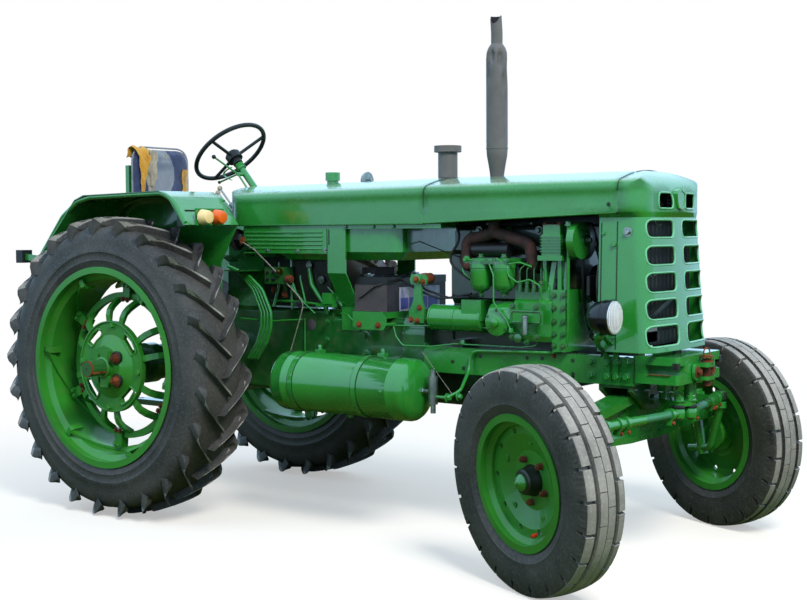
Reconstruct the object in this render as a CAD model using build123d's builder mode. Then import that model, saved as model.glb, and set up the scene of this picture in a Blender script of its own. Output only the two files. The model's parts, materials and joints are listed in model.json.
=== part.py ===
"""A farm tractor: chassis, engine, sheet metal, steering linkage and four wheels.

Millimetres. +X is forward, +Y is to the tractor's left and +Z is up, with z = 0 on the ground.
The origin lies on the ground, midway between the tail lamps and the front of the front tyres.
"""

from build123d import *
from math import asin, cos, radians, sin, sqrt
import os

os.makedirs("parts", exist_ok=True)

# ---------------------------------------------------------------- driving dimensions
wheelbase = 2540
tail_lamp_reach = 850            # from the rear axle back to the tail lamps
fit_gap = 0.3                    # between curved faces that meet
moving_gap = 6                   # between pieces that move past one another

# rear wheels
rear_tyre_radius = 762
rear_tyre_half_width = 158
rear_rim_flange_radius = 508
rear_bead_radius = 484
rear_rim_half_width = 150
rear_half_track = 712
rim_steel = 8
rear_disc_radius = 232
rear_disc_face = 60              # from the wheel's mid-plane out to the inner face of its disc
spoke_ring_radius = 358
spoke_ring_width = 34
spoke_ring_face = -4             # from the wheel's mid-plane out to the outer face of the ring
axle_shaft_radius = 40
axle_shaft_reach = 240           # from the wheel's mid-plane out to the end of the shaft

# front wheels and steering
front_tyre_radius = 457
front_tyre_half_width = 100
front_rim_flange_radius = 276
front_bead_radius = 254
front_rim_half_width = 82
kingpin_half_track = 700
wheel_offset = 112               # from the kingpin out to the wheel's mid-plane
kingpin_radius = 20
caster = 9                       # degrees, the kingpin's top leans back
camber = 0.8                     # degrees, the wheel's top leans out
steer_at_rest = -23              # degrees, the wheels are parked turned to the right
steering_arm_length = 170
steering_arm_inset = 13          # degrees, the arm points in from straight ahead
rod_height = 662                 # of the track rods above the ground
eye_half_height = 19             # of the eyes at the rods' ends
arm_clearance = 12               # from a steering arm's pad up to the rod's eye

# chassis
rail_half_width = 216
rail_top = 900
rail_bottom = 778
rail_steel = 10
housing_half_width = 172
gearbox_top = 1050
clutch_housing_top = 1020

# sheet metal
cover_half_width = 300
sheet = 4
lip = 22
cover_low = 1472                 # lower edge of the covers at the steering wheel end
cover_top = 1683

front_reach = front_tyre_radius + wheel_offset * sin(radians(-steer_at_rest))
rear_axle_x = (tail_lamp_reach - wheelbase - front_reach) / 2
front_axle_x = rear_axle_x + wheelbase

sides = [("right", -1), ("left", 1)]


def fore(distance):
    """The x of a place that lies this far ahead of the rear axle."""
    return rear_axle_x + distance


def fore_of_front(distance):
    """The x of a place that lies this far ahead of the front axle."""
    return front_axle_x + distance


def wheel_profile_plane(centre, outward):
    """A plane through a wheel's axis: local x runs outward along it, local y runs up."""
    return Plane(origin=centre, x_dir=outward, z_dir=outward.cross(Vector(0, 0, 1)))


def wheel_face_plane(centre, outward, offset=0):
    """A plane square to a wheel's axis, local z pointing outward."""
    forward = Vector(0, 0, 1).cross(outward)
    return Plane(origin=centre + outward * offset, x_dir=forward, z_dir=outward)


# ---------------------------------------------------------------- rear wheels
# Each is a steel rim with a spoked centre, a tyre and the shaft that turns with them.
for side_name, side in sides:
    outward = Vector(0, side, 0)
    centre = Vector(rear_axle_x, side * rear_half_track, rear_tyre_radius)
    axis = Axis(centre, outward)
    profile = wheel_profile_plane(centre, outward)

    well_radius = rear_bead_radius - 29
    seat_width = rear_rim_half_width - 38
    well_width = seat_width - 17
    flange = 6
    with BuildPart() as rear_rim:
        with BuildSketch(profile):
            with BuildLine():
                Polyline(
                    (-rear_rim_half_width - flange, rear_rim_flange_radius),
                    (-rear_rim_half_width, rear_rim_flange_radius),
                    (-rear_rim_half_width, rear_bead_radius),
                    (-seat_width, rear_bead_radius),
                    (-well_width, well_radius),
                    (well_width, well_radius),
                    (seat_width, rear_bead_radius),
                    (rear_rim_half_width, rear_bead_radius),
                    (rear_rim_half_width, rear_rim_flange_radius),
                    (rear_rim_half_width + flange, rear_rim_flange_radius),
                    (rear_rim_half_width + flange, rear_bead_radius - rim_steel),
                    (seat_width + flange, rear_bead_radius - rim_steel),
                    (well_width + flange, well_radius - rim_steel),
                    (-well_width - flange, well_radius - rim_steel),
                    (-seat_width - flange, rear_bead_radius - rim_steel),
                    (-rear_rim_half_width - flange, rear_bead_radius - rim_steel),
                    close=True,
                )
            make_face()
        revolve(axis=axis)
        # the ring that carries the rim, with six lugs reaching out to the rim's well
        ring_thickness = 26
        lug_angle = 24
        ring_back = wheel_face_plane(centre, outward, spoke_ring_face - ring_thickness)
        with BuildSketch(ring_back):
            Circle(spoke_ring_radius + spoke_ring_width / 2)
            Circle(spoke_ring_radius - spoke_ring_width / 2, mode=Mode.SUBTRACT)
        extrude(amount=ring_thickness)
        with BuildSketch(ring_back):
            lug_inner = spoke_ring_radius
            lug_outer = well_radius - rim_steel / 2
            with PolarLocations((lug_inner + lug_outer) / 2, 6, start_angle=lug_angle):
                Rectangle(lug_outer - lug_inner, 44)
        extrude(amount=ring_thickness - 6)
        # the cast disc with four windows
        disc_thickness = 22
        disc_outer = rear_disc_face + disc_thickness
        with BuildSketch(wheel_face_plane(centre, outward, rear_disc_face)):
            Circle(rear_disc_radius)
            with PolarLocations(rear_disc_radius - 45, 4, start_angle=40):
                Polygon((-21, -49), (21, -62), (21, 62), (-21, 49), mode=Mode.SUBTRACT)
        extrude(amount=disc_thickness)
        # domed hub with the two halves of its clamp, bored for the axle shaft
        hub_inner = 25
        hub_face = disc_outer + 36
        hub_outer = disc_outer + 56
        with BuildSketch(profile):
            Polygon(
                (hub_inner, axle_shaft_radius / 2),
                (hub_face, axle_shaft_radius / 2),
                (hub_face, 104),
                (hub_face - 8, 112),
                (disc_outer, rear_disc_radius - 70),
                (rear_disc_face, rear_disc_radius - 70),
                (rear_disc_face, 80),
                (hub_inner, 80),
                align=None,
            )
        revolve(axis=axis)
        with BuildSketch(wheel_face_plane(centre, outward, rear_disc_face)):
            with Locations((8, -8)):
                Rectangle(56, 184)
            with Locations((-52, -8)):
                Rectangle(36, 150)
            Circle(axle_shaft_radius + 14)
        extrude(amount=hub_outer - rear_disc_face)
        with BuildSketch(wheel_face_plane(centre, outward, hub_inner)):
            Circle(axle_shaft_radius + fit_gap)
        extrude(amount=hub_outer - hub_inner, mode=Mode.SUBTRACT)
        # six pairs of spokes bowing from the disc's edge in to the ring
        spoke_width = 30
        for pair in range(6):
            for lean in (-11.5, 11.5):
                angle = lug_angle + pair * 60 + lean
                face = wheel_face_plane(centre, outward)
                radial = face.x_dir * cos(radians(angle)) + face.y_dir * sin(radians(angle))
                tangent = outward.cross(radial)
                spoke_plane = Plane(origin=centre, x_dir=radial, z_dir=tangent)
                drop = 1 if spoke_plane.y_dir.dot(outward) > 0 else -1
                with BuildSketch(spoke_plane):
                    with BuildLine():
                        Polyline(
                            (rear_disc_radius - 22, drop * (rear_disc_face + 16)),
                            (rear_disc_radius + 30, drop * (rear_disc_face + 17)),
                            (rear_disc_radius + 60, drop * (rear_disc_face + 8)),
                            (spoke_ring_radius - 40, drop * (rear_disc_face - 14)),
                            (spoke_ring_radius - 22, drop * (spoke_ring_face + 22)),
                            (spoke_ring_radius - 6, drop * (spoke_ring_face - 2)),
                            (spoke_ring_radius - 6, drop * (spoke_ring_face - 20)),
                            (spoke_ring_radius - 26, drop * (spoke_ring_face - 16)),
                            (spoke_ring_radius - 42, drop * (spoke_ring_face + 10)),
                            (spoke_ring_radius - 60, drop * (rear_disc_face - 28)),
                            (rear_disc_radius + 44, drop * (rear_disc_face - 8)),
                            (rear_disc_radius + 6, drop * (rear_disc_face + 1)),
                            (rear_disc_radius - 22, drop * (rear_disc_face + 1)),
                            close=True,
                        )
                    make_face()
                extrude(amount=spoke_width / 2, both=True)
    rear_rim.part.label = side_name + "_rear_rim"
    export_step(rear_rim.part, "parts/" + side_name + "_rear_rim.step")

    bead = rear_bead_radius + fit_gap
    wall = rear_rim_half_width - fit_gap
    with BuildPart() as rear_tyre:
        with BuildSketch(profile):
            with BuildLine():
                Line((wall - 26, bead), (wall, bead))
                Line((wall, bead), (wall, rear_rim_flange_radius + 4))
                ThreePointArc(
                    (wall, rear_rim_flange_radius + 4),
                    (rear_tyre_half_width, rear_rim_flange_radius + 106),
                    (wall, rear_tyre_radius - 52),
                )
                Line((wall, rear_tyre_radius - 52), (wall - 4, rear_tyre_radius - 22))
                ThreePointArc(
                    (wall - 4, rear_tyre_radius - 22),
                    (0, rear_tyre_radius),
                    (4 - wall, rear_tyre_radius - 22),
                )
                Line((4 - wall, rear_tyre_radius - 22), (-wall, rear_tyre_radius - 52))
                ThreePointArc(
                    (-wall, rear_tyre_radius - 52),
                    (-rear_tyre_half_width, rear_rim_flange_radius + 106),
                    (-wall, rear_rim_flange_radius + 4),
                )
                Line((-wall, rear_rim_flange_radius + 4), (-wall, bead))
                Line((-wall, bead), (26 - wall, bead))
                ThreePointArc(
                    (26 - wall, bead),
                    (16 - rear_tyre_half_width, rear_rim_flange_radius + 100),
                    (22 - wall, rear_tyre_radius - 66),
                )
                ThreePointArc(
                    (22 - wall, rear_tyre_radius - 66),
                    (0, rear_tyre_radius - 52),
                    (wall - 22, rear_tyre_radius - 66),
                )
                ThreePointArc(
                    (wall - 22, rear_tyre_radius - 66),
                    (rear_tyre_half_width - 16, rear_rim_flange_radius + 100),
                    (wall - 26, bead),
                )
            make_face()
        revolve(axis=axis)
    rear_tyre.part.label = side_name + "_rear_tyre"
    export_step(rear_tyre.part, "parts/" + side_name + "_rear_tyre.step")

    shaft_inner = 300 - rear_half_track
    with BuildPart() as axle_shaft:
        with BuildSketch(wheel_face_plane(centre, outward, shaft_inner)):
            Circle(axle_shaft_radius)
        extrude(amount=axle_shaft_reach - shaft_inner)
        chamfer(axle_shaft.faces().sort_by(Axis.Y)[-1 if side > 0 else 0].edges(), 4)
    axle_shaft.part.label = side_name + "_axle_shaft"
    export_step(axle_shaft.part, "parts/" + side_name + "_axle_shaft.step")

# ---------------------------------------------------------------- front wheel geometry
kingpin_up = Vector(-sin(radians(caster)), 0, cos(radians(caster)))
straight_ahead = Vector(cos(radians(caster)), 0, sin(radians(caster)))


def steered(direction):
    """A direction turned with the front wheels, from straight ahead to how they are parked."""
    return direction.rotate(Axis((0, 0, 0), kingpin_up), steer_at_rest)


def front_outward(side):
    """The direction of a front wheel's spindle as parked, pointing away from the tractor."""
    straight = Vector(0, side * cos(radians(camber)), -sin(radians(camber)))
    return steered(straight)


def kingpin_height(side):
    """Height of the spindle's root that lets the tyre rest on the ground."""
    return front_tyre_radius - wheel_offset * front_outward(side).Z


axle_height = (kingpin_height(1) + kingpin_height(-1)) / 2
axle_rock = asin((kingpin_height(1) - kingpin_height(-1)) / (2 * kingpin_half_track))
pivot_height = 700               # of the pin that the front axle hangs from and rocks on
pivot_in_axle = pivot_height - axle_height
axle_plane = Plane(
    origin=(
        front_axle_x,
        pivot_in_axle * sin(axle_rock),
        pivot_height - pivot_in_axle * cos(axle_rock),
    ),
    x_dir=(0, cos(axle_rock), sin(axle_rock)),
    z_dir=(1, 0, 0),
)

sleeve_low = 80                  # the axle's sleeve above the spindle, along the kingpin
sleeve_high = 205
sleeve_radius = 38
hub_bore_radius = 22

for side_name, side in sides:
    outward = front_outward(side)
    kingpin = axle_plane.from_local_coords(Vector(side * kingpin_half_track, 0, 0))
    centre = kingpin + outward * wheel_offset
    axis = Axis(centre, outward)
    profile = wheel_profile_plane(centre, outward)

    well = front_bead_radius - 22
    seat = front_rim_half_width - 26
    narrow = seat - 14
    flange = 6
    with BuildPart() as front_rim:
        with BuildSketch(profile):
            with BuildLine():
                Polyline(
                    (-front_rim_half_width - flange, front_rim_flange_radius),
                    (-front_rim_half_width, front_rim_flange_radius),
                    (-front_rim_half_width, front_bead_radius),
                    (-seat, front_bead_radius),
                    (-narrow, well),
                    (narrow, well),
                    (seat, front_bead_radius),
                    (front_rim_half_width, front_bead_radius),
                    (front_rim_half_width, front_rim_flange_radius),
                    (front_rim_half_width + flange, front_rim_flange_radius),
                    (front_rim_half_width + flange, front_bead_radius - rim_steel),
                    (seat + flange, front_bead_radius - rim_steel),
                    (narrow + flange, well - rim_steel),
                    (-narrow - flange, well - rim_steel),
                    (-seat - flange, front_bead_radius - rim_steel),
                    (-front_rim_half_width - flange, front_bead_radius - rim_steel),
                    close=True,
                )
            make_face()
            # dished disc from the well in to the hub
            with BuildLine():
                Polyline(
                    (26, well - rim_steel / 2),
                    (34, well - rim_steel / 2),
                    (34, 190),
                    (6, 120),
                    (6, 60),
                    (-2, 60),
                    (-2, 122),
                    (26, 192),
                    close=True,
                )
            make_face()
            # hub barrel with its cap end and inner drum
            with BuildLine():
                Polyline(
                    (-64, hub_bore_radius + 1),
                    (-64, 82),
                    (-46, 82),
                    (-46, 60),
                    (-10, 60),
                    (-10, 96),
                    (-2, 96),
                    (-2, 60),
                    (20, 56),
                    (52, 46),
                    (52, 30),
                    (58, 30),
                    (58, 0),
                    (50, 0),
                    (50, hub_bore_radius + 1),
                    close=True,
                )
            make_face()
        revolve(axis=axis)
        hole_radius = 12
        with BuildSketch(wheel_face_plane(centre, outward)):
            with PolarLocations(204, 10):
                Circle(hole_radius)
        extrude(amount=40, mode=Mode.SUBTRACT)
    front_rim.part.label = side_name + "_front_rim"
    export_step(front_rim.part, "parts/" + side_name + "_front_rim.step")

    # the crown is a zone of a sphere about the wheel's centre, so it rests at any lean
    bead = front_bead_radius + fit_gap
    wall = front_rim_half_width - fit_gap
    tread = 84
    tread_edge = sqrt(front_tyre_radius**2 - tread**2)
    with BuildPart() as front_tyre:
        with BuildSketch(profile):
            with BuildLine():
                Line((wall - 20, bead), (wall, bead))
                Line((wall, bead), (wall, front_rim_flange_radius + 3))
                ThreePointArc(
                    (wall, front_rim_flange_radius + 3),
                    (front_tyre_half_width, front_rim_flange_radius + 68),
                    (tread + 8, tread_edge - 30),
                )
                Line((tread + 8, tread_edge - 30), (tread, tread_edge))
                ThreePointArc((tread, tread_edge), (0, front_tyre_radius), (-tread, tread_edge))
                Line((-tread, tread_edge), (-tread - 8, tread_edge - 30))
                ThreePointArc(
                    (-tread - 8, tread_edge - 30),
                    (-front_tyre_half_width, front_rim_flange_radius + 68),
                    (-wall, front_rim_flange_radius + 3),
                )
                Line((-wall, front_rim_flange_radius + 3), (-wall, bead))
                Line((-wall, bead), (20 - wall, bead))
                ThreePointArc(
                    (20 - wall, bead),
                    (12 - front_tyre_half_width, front_rim_flange_radius + 64),
                    (8 - tread, tread_edge - 32),
                )
                ThreePointArc(
                    (8 - tread, tread_edge - 32),
                    (0, front_tyre_radius - 34),
                    (tread - 8, tread_edge - 32),
                )
                ThreePointArc(
                    (tread - 8, tread_edge - 32),
                    (front_tyre_half_width - 12, front_rim_flange_radius + 64),
                    (wall - 20, bead),
                )
            make_face()
        revolve(axis=axis)
    front_tyre.part.label = side_name + "_front_tyre"
    export_step(front_tyre.part, "parts/" + side_name + "_front_tyre.step")

    # the knuckle: spindle, body and kingpin, with the bent steering arm below it
    knuckle_plane = Plane(origin=kingpin, x_dir=steered(straight_ahead), z_dir=kingpin_up)
    with BuildPart() as knuckle:
        with BuildSketch(knuckle_plane.offset(-92)):
            Circle(36)
        extrude(amount=92 + sleeve_low - moving_gap)
        with BuildSketch(knuckle_plane):
            Circle(kingpin_radius)
        extrude(amount=sleeve_high + moving_gap)
        with BuildSketch(knuckle_plane.offset(sleeve_high + 1)):
            Circle(30)
        extrude(amount=14)
        with BuildSketch(wheel_face_plane(kingpin, outward)):
            Circle(hub_bore_radius)
        extrude(amount=wheel_offset + 40)
        # the arm's shank lies fore and aft under the spindle, then rises to the rod
        arm_tip = knuckle_plane.from_local_coords(
            Vector(
                steering_arm_length * cos(radians(steering_arm_inset)),
                -side * steering_arm_length * sin(radians(steering_arm_inset)),
                0,
            )
        )
        pad_top = rod_height - eye_half_height - arm_clearance
        shank_rear = knuckle_plane.from_local_coords(Vector(-85, -side * 12, -62))
        shank_bend = knuckle_plane.from_local_coords(Vector(62, -side * 18, -62))
        arm_end = Vector(arm_tip.X, arm_tip.Y, pad_top - 16)
        with BuildLine() as arm_path:
            FilletPolyline(shank_rear, shank_bend, arm_end, radius=45)
        with BuildSketch(Plane(origin=shank_rear, z_dir=shank_bend - shank_rear)):
            Circle(19)
        sweep(path=arm_path.line)
        with BuildSketch(Plane.XY.offset(pad_top - 30)):
            with Locations((arm_tip.X, arm_tip.Y)):
                Circle(25)
        extrude(amount=30)
    knuckle.part.label = side_name + "_knuckle"
    export_step(knuckle.part, "parts/" + side_name + "_knuckle.step")

# ---------------------------------------------------------------- steering linkage
arm_pivot = Vector(fore_of_front(140), 0, 0)
centre_arm_length = 132
centre_arm_angle = -29.5         # degrees, as parked
ball_spacing = 60
ball_plate_top = rod_height + 50
ball_plate_thickness = 20
arm_direction = Vector(1, 0, 0).rotate(Axis.Z, centre_arm_angle)
arm_across = Vector(0, 1, 0).rotate(Axis.Z, centre_arm_angle)
arm_end = arm_pivot + arm_direction * centre_arm_length
balls = {side: arm_end + arm_across * (side * ball_spacing / 2) for _, side in sides}
pivot_shaft_radius = 16

with BuildPart() as centre_steering_arm:
    with BuildSketch(Plane.XY.offset(ball_plate_top - ball_plate_thickness)):
        with Locations((arm_pivot.X, arm_pivot.Y)):
            Circle(34)
        for ball in balls.values():
            with Locations((ball.X, ball.Y)):
                Circle(24)
        make_hull()
    extrude(amount=ball_plate_thickness)
    with BuildSketch(Plane.XY.offset(ball_plate_top)):
        with Locations((arm_pivot.X, arm_pivot.Y)):
            Circle(32)
    extrude(amount=24)
    for ball in balls.values():
        with BuildSketch(Plane.XY.offset(rod_height - 16)):
            with Locations((ball.X, ball.Y)):
                Circle(10)
        extrude(amount=ball_plate_top - rod_height + 16)
    with BuildSketch(Plane.XY.offset(ball_plate_top - ball_plate_thickness)):
        with Locations((arm_pivot.X, arm_pivot.Y)):
            Circle(pivot_shaft_radius + 0.1)
    extrude(amount=ball_plate_thickness + 24, mode=Mode.SUBTRACT)
centre_steering_arm.part.label = "centre_steering_arm"
export_step(centre_steering_arm.part, "parts/centre_steering_arm.step")

rod_radius = 17
for side_name, side in sides:
    kingpin = axle_plane.from_local_coords(Vector(side * kingpin_half_track, 0, 0))
    knuckle_plane = Plane(origin=kingpin, x_dir=steered(straight_ahead), z_dir=kingpin_up)
    tip = knuckle_plane.from_local_coords(
        Vector(
            steering_arm_length * cos(radians(steering_arm_inset)),
            -side * steering_arm_length * sin(radians(steering_arm_inset)),
            0,
        )
    )
    inner = Vector(balls[side].X, balls[side].Y, rod_height)
    outer = Vector(tip.X, tip.Y, rod_height)
    along = (outer - inner).normalized()
    with BuildPart() as track_rod:
        with BuildSketch(Plane(origin=inner + along * 18, z_dir=along)):
            Circle(rod_radius)
        extrude(amount=(outer - inner).length - 36)
        for eye in (inner, outer):
            with BuildSketch(Plane.XY.offset(rod_height - eye_half_height)):
                with Locations((eye.X, eye.Y)):
                    Circle(25)
            extrude(amount=2 * eye_half_height)
        with BuildSketch(Plane.XY.offset(rod_height - eye_half_height)):
            with Locations((inner.X, inner.Y)):
                Circle(10 + 0.1)
        extrude(amount=2 * eye_half_height, mode=Mode.SUBTRACT)
    track_rod.part.label = side_name + "_track_rod"
    export_step(track_rod.part, "parts/" + side_name + "_track_rod.step")

# ---------------------------------------------------------------- front axle
pivot_pin_radius = 24
beam_half_depth = 48

with BuildPart() as front_axle_beam:
    with BuildSketch(axle_plane.offset(-beam_half_depth)):
        with BuildLine():
            Polyline(
                (-kingpin_half_track, sleeve_low + 12),
                (-150, 62),
                (150, 62),
                (kingpin_half_track, sleeve_low + 12),
                (kingpin_half_track, sleeve_high - 14),
                (170, pivot_in_axle + 26),
                (-170, pivot_in_axle + 26),
                (-kingpin_half_track, sleeve_high - 14),
                close=True,
            )
        make_face()
    extrude(amount=2 * beam_half_depth)
    # the long pockets in both faces leave an I-section
    for face_offset in (-beam_half_depth, beam_half_depth - 34):
        with BuildSketch(axle_plane.offset(face_offset)):
            for reach in (-1, 1):
                with BuildLine():
                    Polyline(
                        (reach * 100, 84),
                        (reach * 560, 118),
                        (reach * 560, 168),
                        (reach * 100, pivot_in_axle - 6),
                        close=True,
                    )
                make_face()
        extrude(amount=34, mode=Mode.SUBTRACT)
    # boss for the pivot pin
    with BuildSketch(axle_plane.offset(-beam_half_depth - 8)):
        with Locations((0, pivot_in_axle)):
            Circle(52)
    extrude(amount=2 * beam_half_depth + 16)
    with BuildSketch(axle_plane.offset(-beam_half_depth - 8)):
        with Locations((0, pivot_in_axle)):
            Circle(pivot_pin_radius + fit_gap)
    extrude(amount=2 * beam_half_depth + 16, mode=Mode.SUBTRACT)
    for side_name, side in sides:
        kingpin = axle_plane.from_local_coords(Vector(side * kingpin_half_track, 0, 0))
        sleeve_plane = Plane(origin=kingpin, x_dir=straight_ahead, z_dir=kingpin_up)
        with BuildSketch(sleeve_plane.offset(sleeve_low)):
            Circle(sleeve_radius)
        extrude(amount=sleeve_high - sleeve_low)
        with BuildSketch(sleeve_plane.offset(sleeve_low - 20)):
            Circle(62)
        extrude(amount=20, mode=Mode.SUBTRACT)
        with BuildSketch(sleeve_plane.offset(sleeve_low)):
            Circle(kingpin_radius + 0.1)
        extrude(amount=sleeve_high - sleeve_low, mode=Mode.SUBTRACT)
        with BuildSketch(sleeve_plane.offset(sleeve_high)):
            Circle(62)
        extrude(amount=40, mode=Mode.SUBTRACT)
front_axle_beam.part.label = "front_axle_beam"
export_step(front_axle_beam.part, "parts/front_axle_beam.step")

# ---------------------------------------------------------------- front casting
casting_rear = fore_of_front(90)
casting_front = fore_of_front(295)
casting_top = 910
casting_bottom = 793
tow_pin_x = fore_of_front(325)
tow_pin_radius = 17

with BuildPart() as front_casting:
    with BuildSketch(Plane.XY.offset(casting_bottom)):
        with Locations(((casting_rear + casting_front) / 2, 0)):
            Rectangle(casting_front - casting_rear, 2 * rail_half_width)
    extrude(amount=casting_top - casting_bottom)
    chamfer(front_casting.faces().sort_by(Axis.X)[-1].edges().filter_by(Axis.Z), 12)
    # slots that fork the two front corners
    for side_name, side in sides:
        with BuildSketch(Plane.XY.offset(835)):
            with Locations((casting_front - 70, side * (rail_half_width - 25))):
                Rectangle(160, 70)
        extrude(amount=38, mode=Mode.SUBTRACT)
    # ears that carry the tow pin
    for ear_low in (802, 858):
        with BuildSketch(Plane.XY.offset(ear_low)):
            with Locations((tow_pin_x - 12, 0)):
                RectangleRounded(74, 84, 18)
        extrude(amount=16)
        with BuildSketch(Plane.XY.offset(ear_low)):
            with Locations((tow_pin_x, 0)):
                Circle(tow_pin_radius + fit_gap)
        extrude(amount=16, mode=Mode.SUBTRACT)
    # the stout post below the front edge
    with BuildSketch(Plane.XY.offset(ball_plate_top + moving_gap)):
        with Locations((fore_of_front(250), 0)):
            Circle(26)
    extrude(amount=casting_bottom - ball_plate_top - moving_gap)
    # boss and shaft that the centre steering arm turns on
    with BuildSketch(Plane.XY.offset(ball_plate_top + 24 + moving_gap)):
        with Locations((arm_pivot.X, 0)):
            Circle(40)
    extrude(amount=casting_bottom - ball_plate_top - 24 - moving_gap)
    with BuildSketch(Plane.XY.offset(ball_plate_top - ball_plate_thickness - 9)):
        with Locations((arm_pivot.X, 0)):
            Circle(pivot_shaft_radius)
    extrude(amount=casting_bottom - ball_plate_top + ball_plate_thickness + 9)
    # collar that keeps the arm on its shaft
    with BuildSketch(Plane.XY.offset(ball_plate_top - ball_plate_thickness - 9)):
        with Locations((arm_pivot.X, 0)):
            Circle(24)
    extrude(amount=8)
front_casting.part.label = "front_casting"
export_step(front_casting.part, "parts/front_casting.step")

with BuildPart() as tow_pin:
    with BuildSketch(Plane.XY.offset(776)):
        with Locations((tow_pin_x, 0)):
            Circle(tow_pin_radius)
    extrude(amount=116)
    with BuildSketch(Plane.XY.offset(874 + fit_gap)):
        with Locations((tow_pin_x, 0)):
            Circle(26)
    extrude(amount=9)
tow_pin.part.label = "tow_pin"
export_step(tow_pin.part, "parts/tow_pin.step")

# hanger plates in front of and behind the axle, with the pin through them
hanger_steel = 22
hanger_front = front_axle_x + beam_half_depth + 10
hanger_rear = front_axle_x - beam_half_depth - 10 - hanger_steel
hanger_top = rail_bottom
with BuildPart() as axle_hanger:
    for hanger_x in (hanger_rear, hanger_front):
        with BuildSketch(Plane.YZ.offset(hanger_x)):
            with BuildLine():
                Polyline(
                    (-rail_half_width + 12, hanger_top),
                    (-rail_half_width + 12, hanger_top - 26),
                    (-46, pivot_height - 44),
                    (46, pivot_height - 44),
                    (rail_half_width - 12, hanger_top - 26),
                    (rail_half_width - 12, hanger_top),
                    close=True,
                )
            make_face()
        extrude(amount=hanger_steel)
    with BuildSketch(Plane.XY.offset(hanger_top - 14)):
        with Locations(((hanger_rear + hanger_front + hanger_steel) / 2, 0)):
            Rectangle(hanger_front - hanger_rear + hanger_steel, 2 * rail_half_width - 24)
    extrude(amount=14)
    with BuildSketch(Plane.YZ.offset(hanger_rear - 10)):
        with Locations((0, pivot_height)):
            Circle(pivot_pin_radius)
    extrude(amount=hanger_front - hanger_rear + hanger_steel + 20)
axle_hanger.part.label = "axle_hanger"
export_step(axle_hanger.part, "parts/axle_hanger.step")

# ---------------------------------------------------------------- frame rails
rail_rear = fore(1540)
rail_flange = 56
rail_holes = [
    # distance ahead of the rear axle, height, radius
    (1704, 833, 9),
    (1858, 868, 6),
    (2107, 871, 8),
    (2185, 873, 8),
    (2339, 872, 9),
    (2340, 800, 8),
]
with BuildPart() as frame_rails:
    for side_name, side in sides:
        with BuildSketch(Plane.YZ.offset(rail_rear)):
            with Locations((side * (rail_half_width - rail_flange / 2), (rail_top + rail_bottom) / 2)):
                Rectangle(rail_flange, rail_top - rail_bottom)
            inner_offset = rail_half_width - rail_steel - rail_flange / 2
            with Locations((side * inner_offset, (rail_top + rail_bottom) / 2)):
                Rectangle(rail_flange, rail_top - rail_bottom - 2 * rail_steel, mode=Mode.SUBTRACT)
        extrude(amount=casting_rear - rail_rear)
        for hole_x, hole_z, hole_radius in rail_holes:
            with BuildSketch(Plane.XZ.offset(-side * rail_half_width)):
                with Locations((fore(hole_x), hole_z)):
                    Circle(hole_radius)
            extrude(amount=side * rail_steel, mode=Mode.SUBTRACT)
frame_rails.part.label = "frame_rails"
export_step(frame_rails.part, "parts/frame_rails.step")

# ---------------------------------------------------------------- engine
block_rear = fore(1660)
block_front = fore(2322)
block_half_width = rail_half_width - rail_flange - 2
block_bottom = 792
block_top = 1440
rail_inner = rail_half_width - rail_flange

with BuildPart() as engine_block:
    with BuildSketch(Plane.YZ.offset(block_rear)):
        with BuildLine():
            Polyline(
                (-block_half_width + 20, block_bottom),
                (block_half_width - 20, block_bottom),
                (block_half_width - 20, 1100),
                (block_half_width, 1130),
                (block_half_width, 1330),
                (block_half_width - 30, 1350),
                (block_half_width - 30, block_top),
                (-block_half_width + 30, block_top),
                (-block_half_width + 30, 1350),
                (-block_half_width, 1330),
                (-block_half_width, 1130),
                (-block_half_width + 20, 1100),
                close=True,
            )
        make_face()
    extrude(amount=block_front - block_rear)
    # flywheel end, down to the bell housing
    with BuildSketch(Plane.YZ.offset(rail_rear)):
        with BuildLine():
            Polyline(
                (8 - block_half_width, block_bottom),
                (block_half_width - 8, block_bottom),
                (block_half_width - 8, 1050),
                (block_half_width - 48, 1085),
                (48 - block_half_width, 1085),
                (8 - block_half_width, 1050),
                close=True,
            )
        make_face()
    extrude(amount=block_rear - rail_rear)
    # timing case across the front
    with BuildSketch(Plane.YZ.offset(fore(2258))):
        with Locations((0, 1045)):
            Rectangle(2 * 252, 270)
    extrude(amount=64)
    # cross plates that carry the engine on the rails
    for foot_x in (fore(1700), fore(2262)):
        with BuildSketch(Plane.YZ.offset(foot_x)):
            with Locations((0, rail_top + 18)):
                Rectangle(2 * rail_half_width - 8, 36)
        extrude(amount=56)
engine_block.part.label = "engine_block"
export_step(engine_block.part, "parts/engine_block.step")

with BuildPart() as oil_sump:
    with BuildSketch(Plane.XZ.offset(20 - block_half_width)):
        with BuildLine():
            Polyline(
                (rail_rear, block_bottom),
                (rail_rear, 622),
                (fore(1762), 622),
                (fore(1850), 690),
                (fore(1990), 730),
                (fore(2300), 742),
                (fore(2300), block_bottom),
                close=True,
            )
        make_face()
    extrude(amount=2 * block_half_width - 40)
oil_sump.part.label = "oil_sump"
export_step(oil_sump.part, "parts/oil_sump.step")

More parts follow.
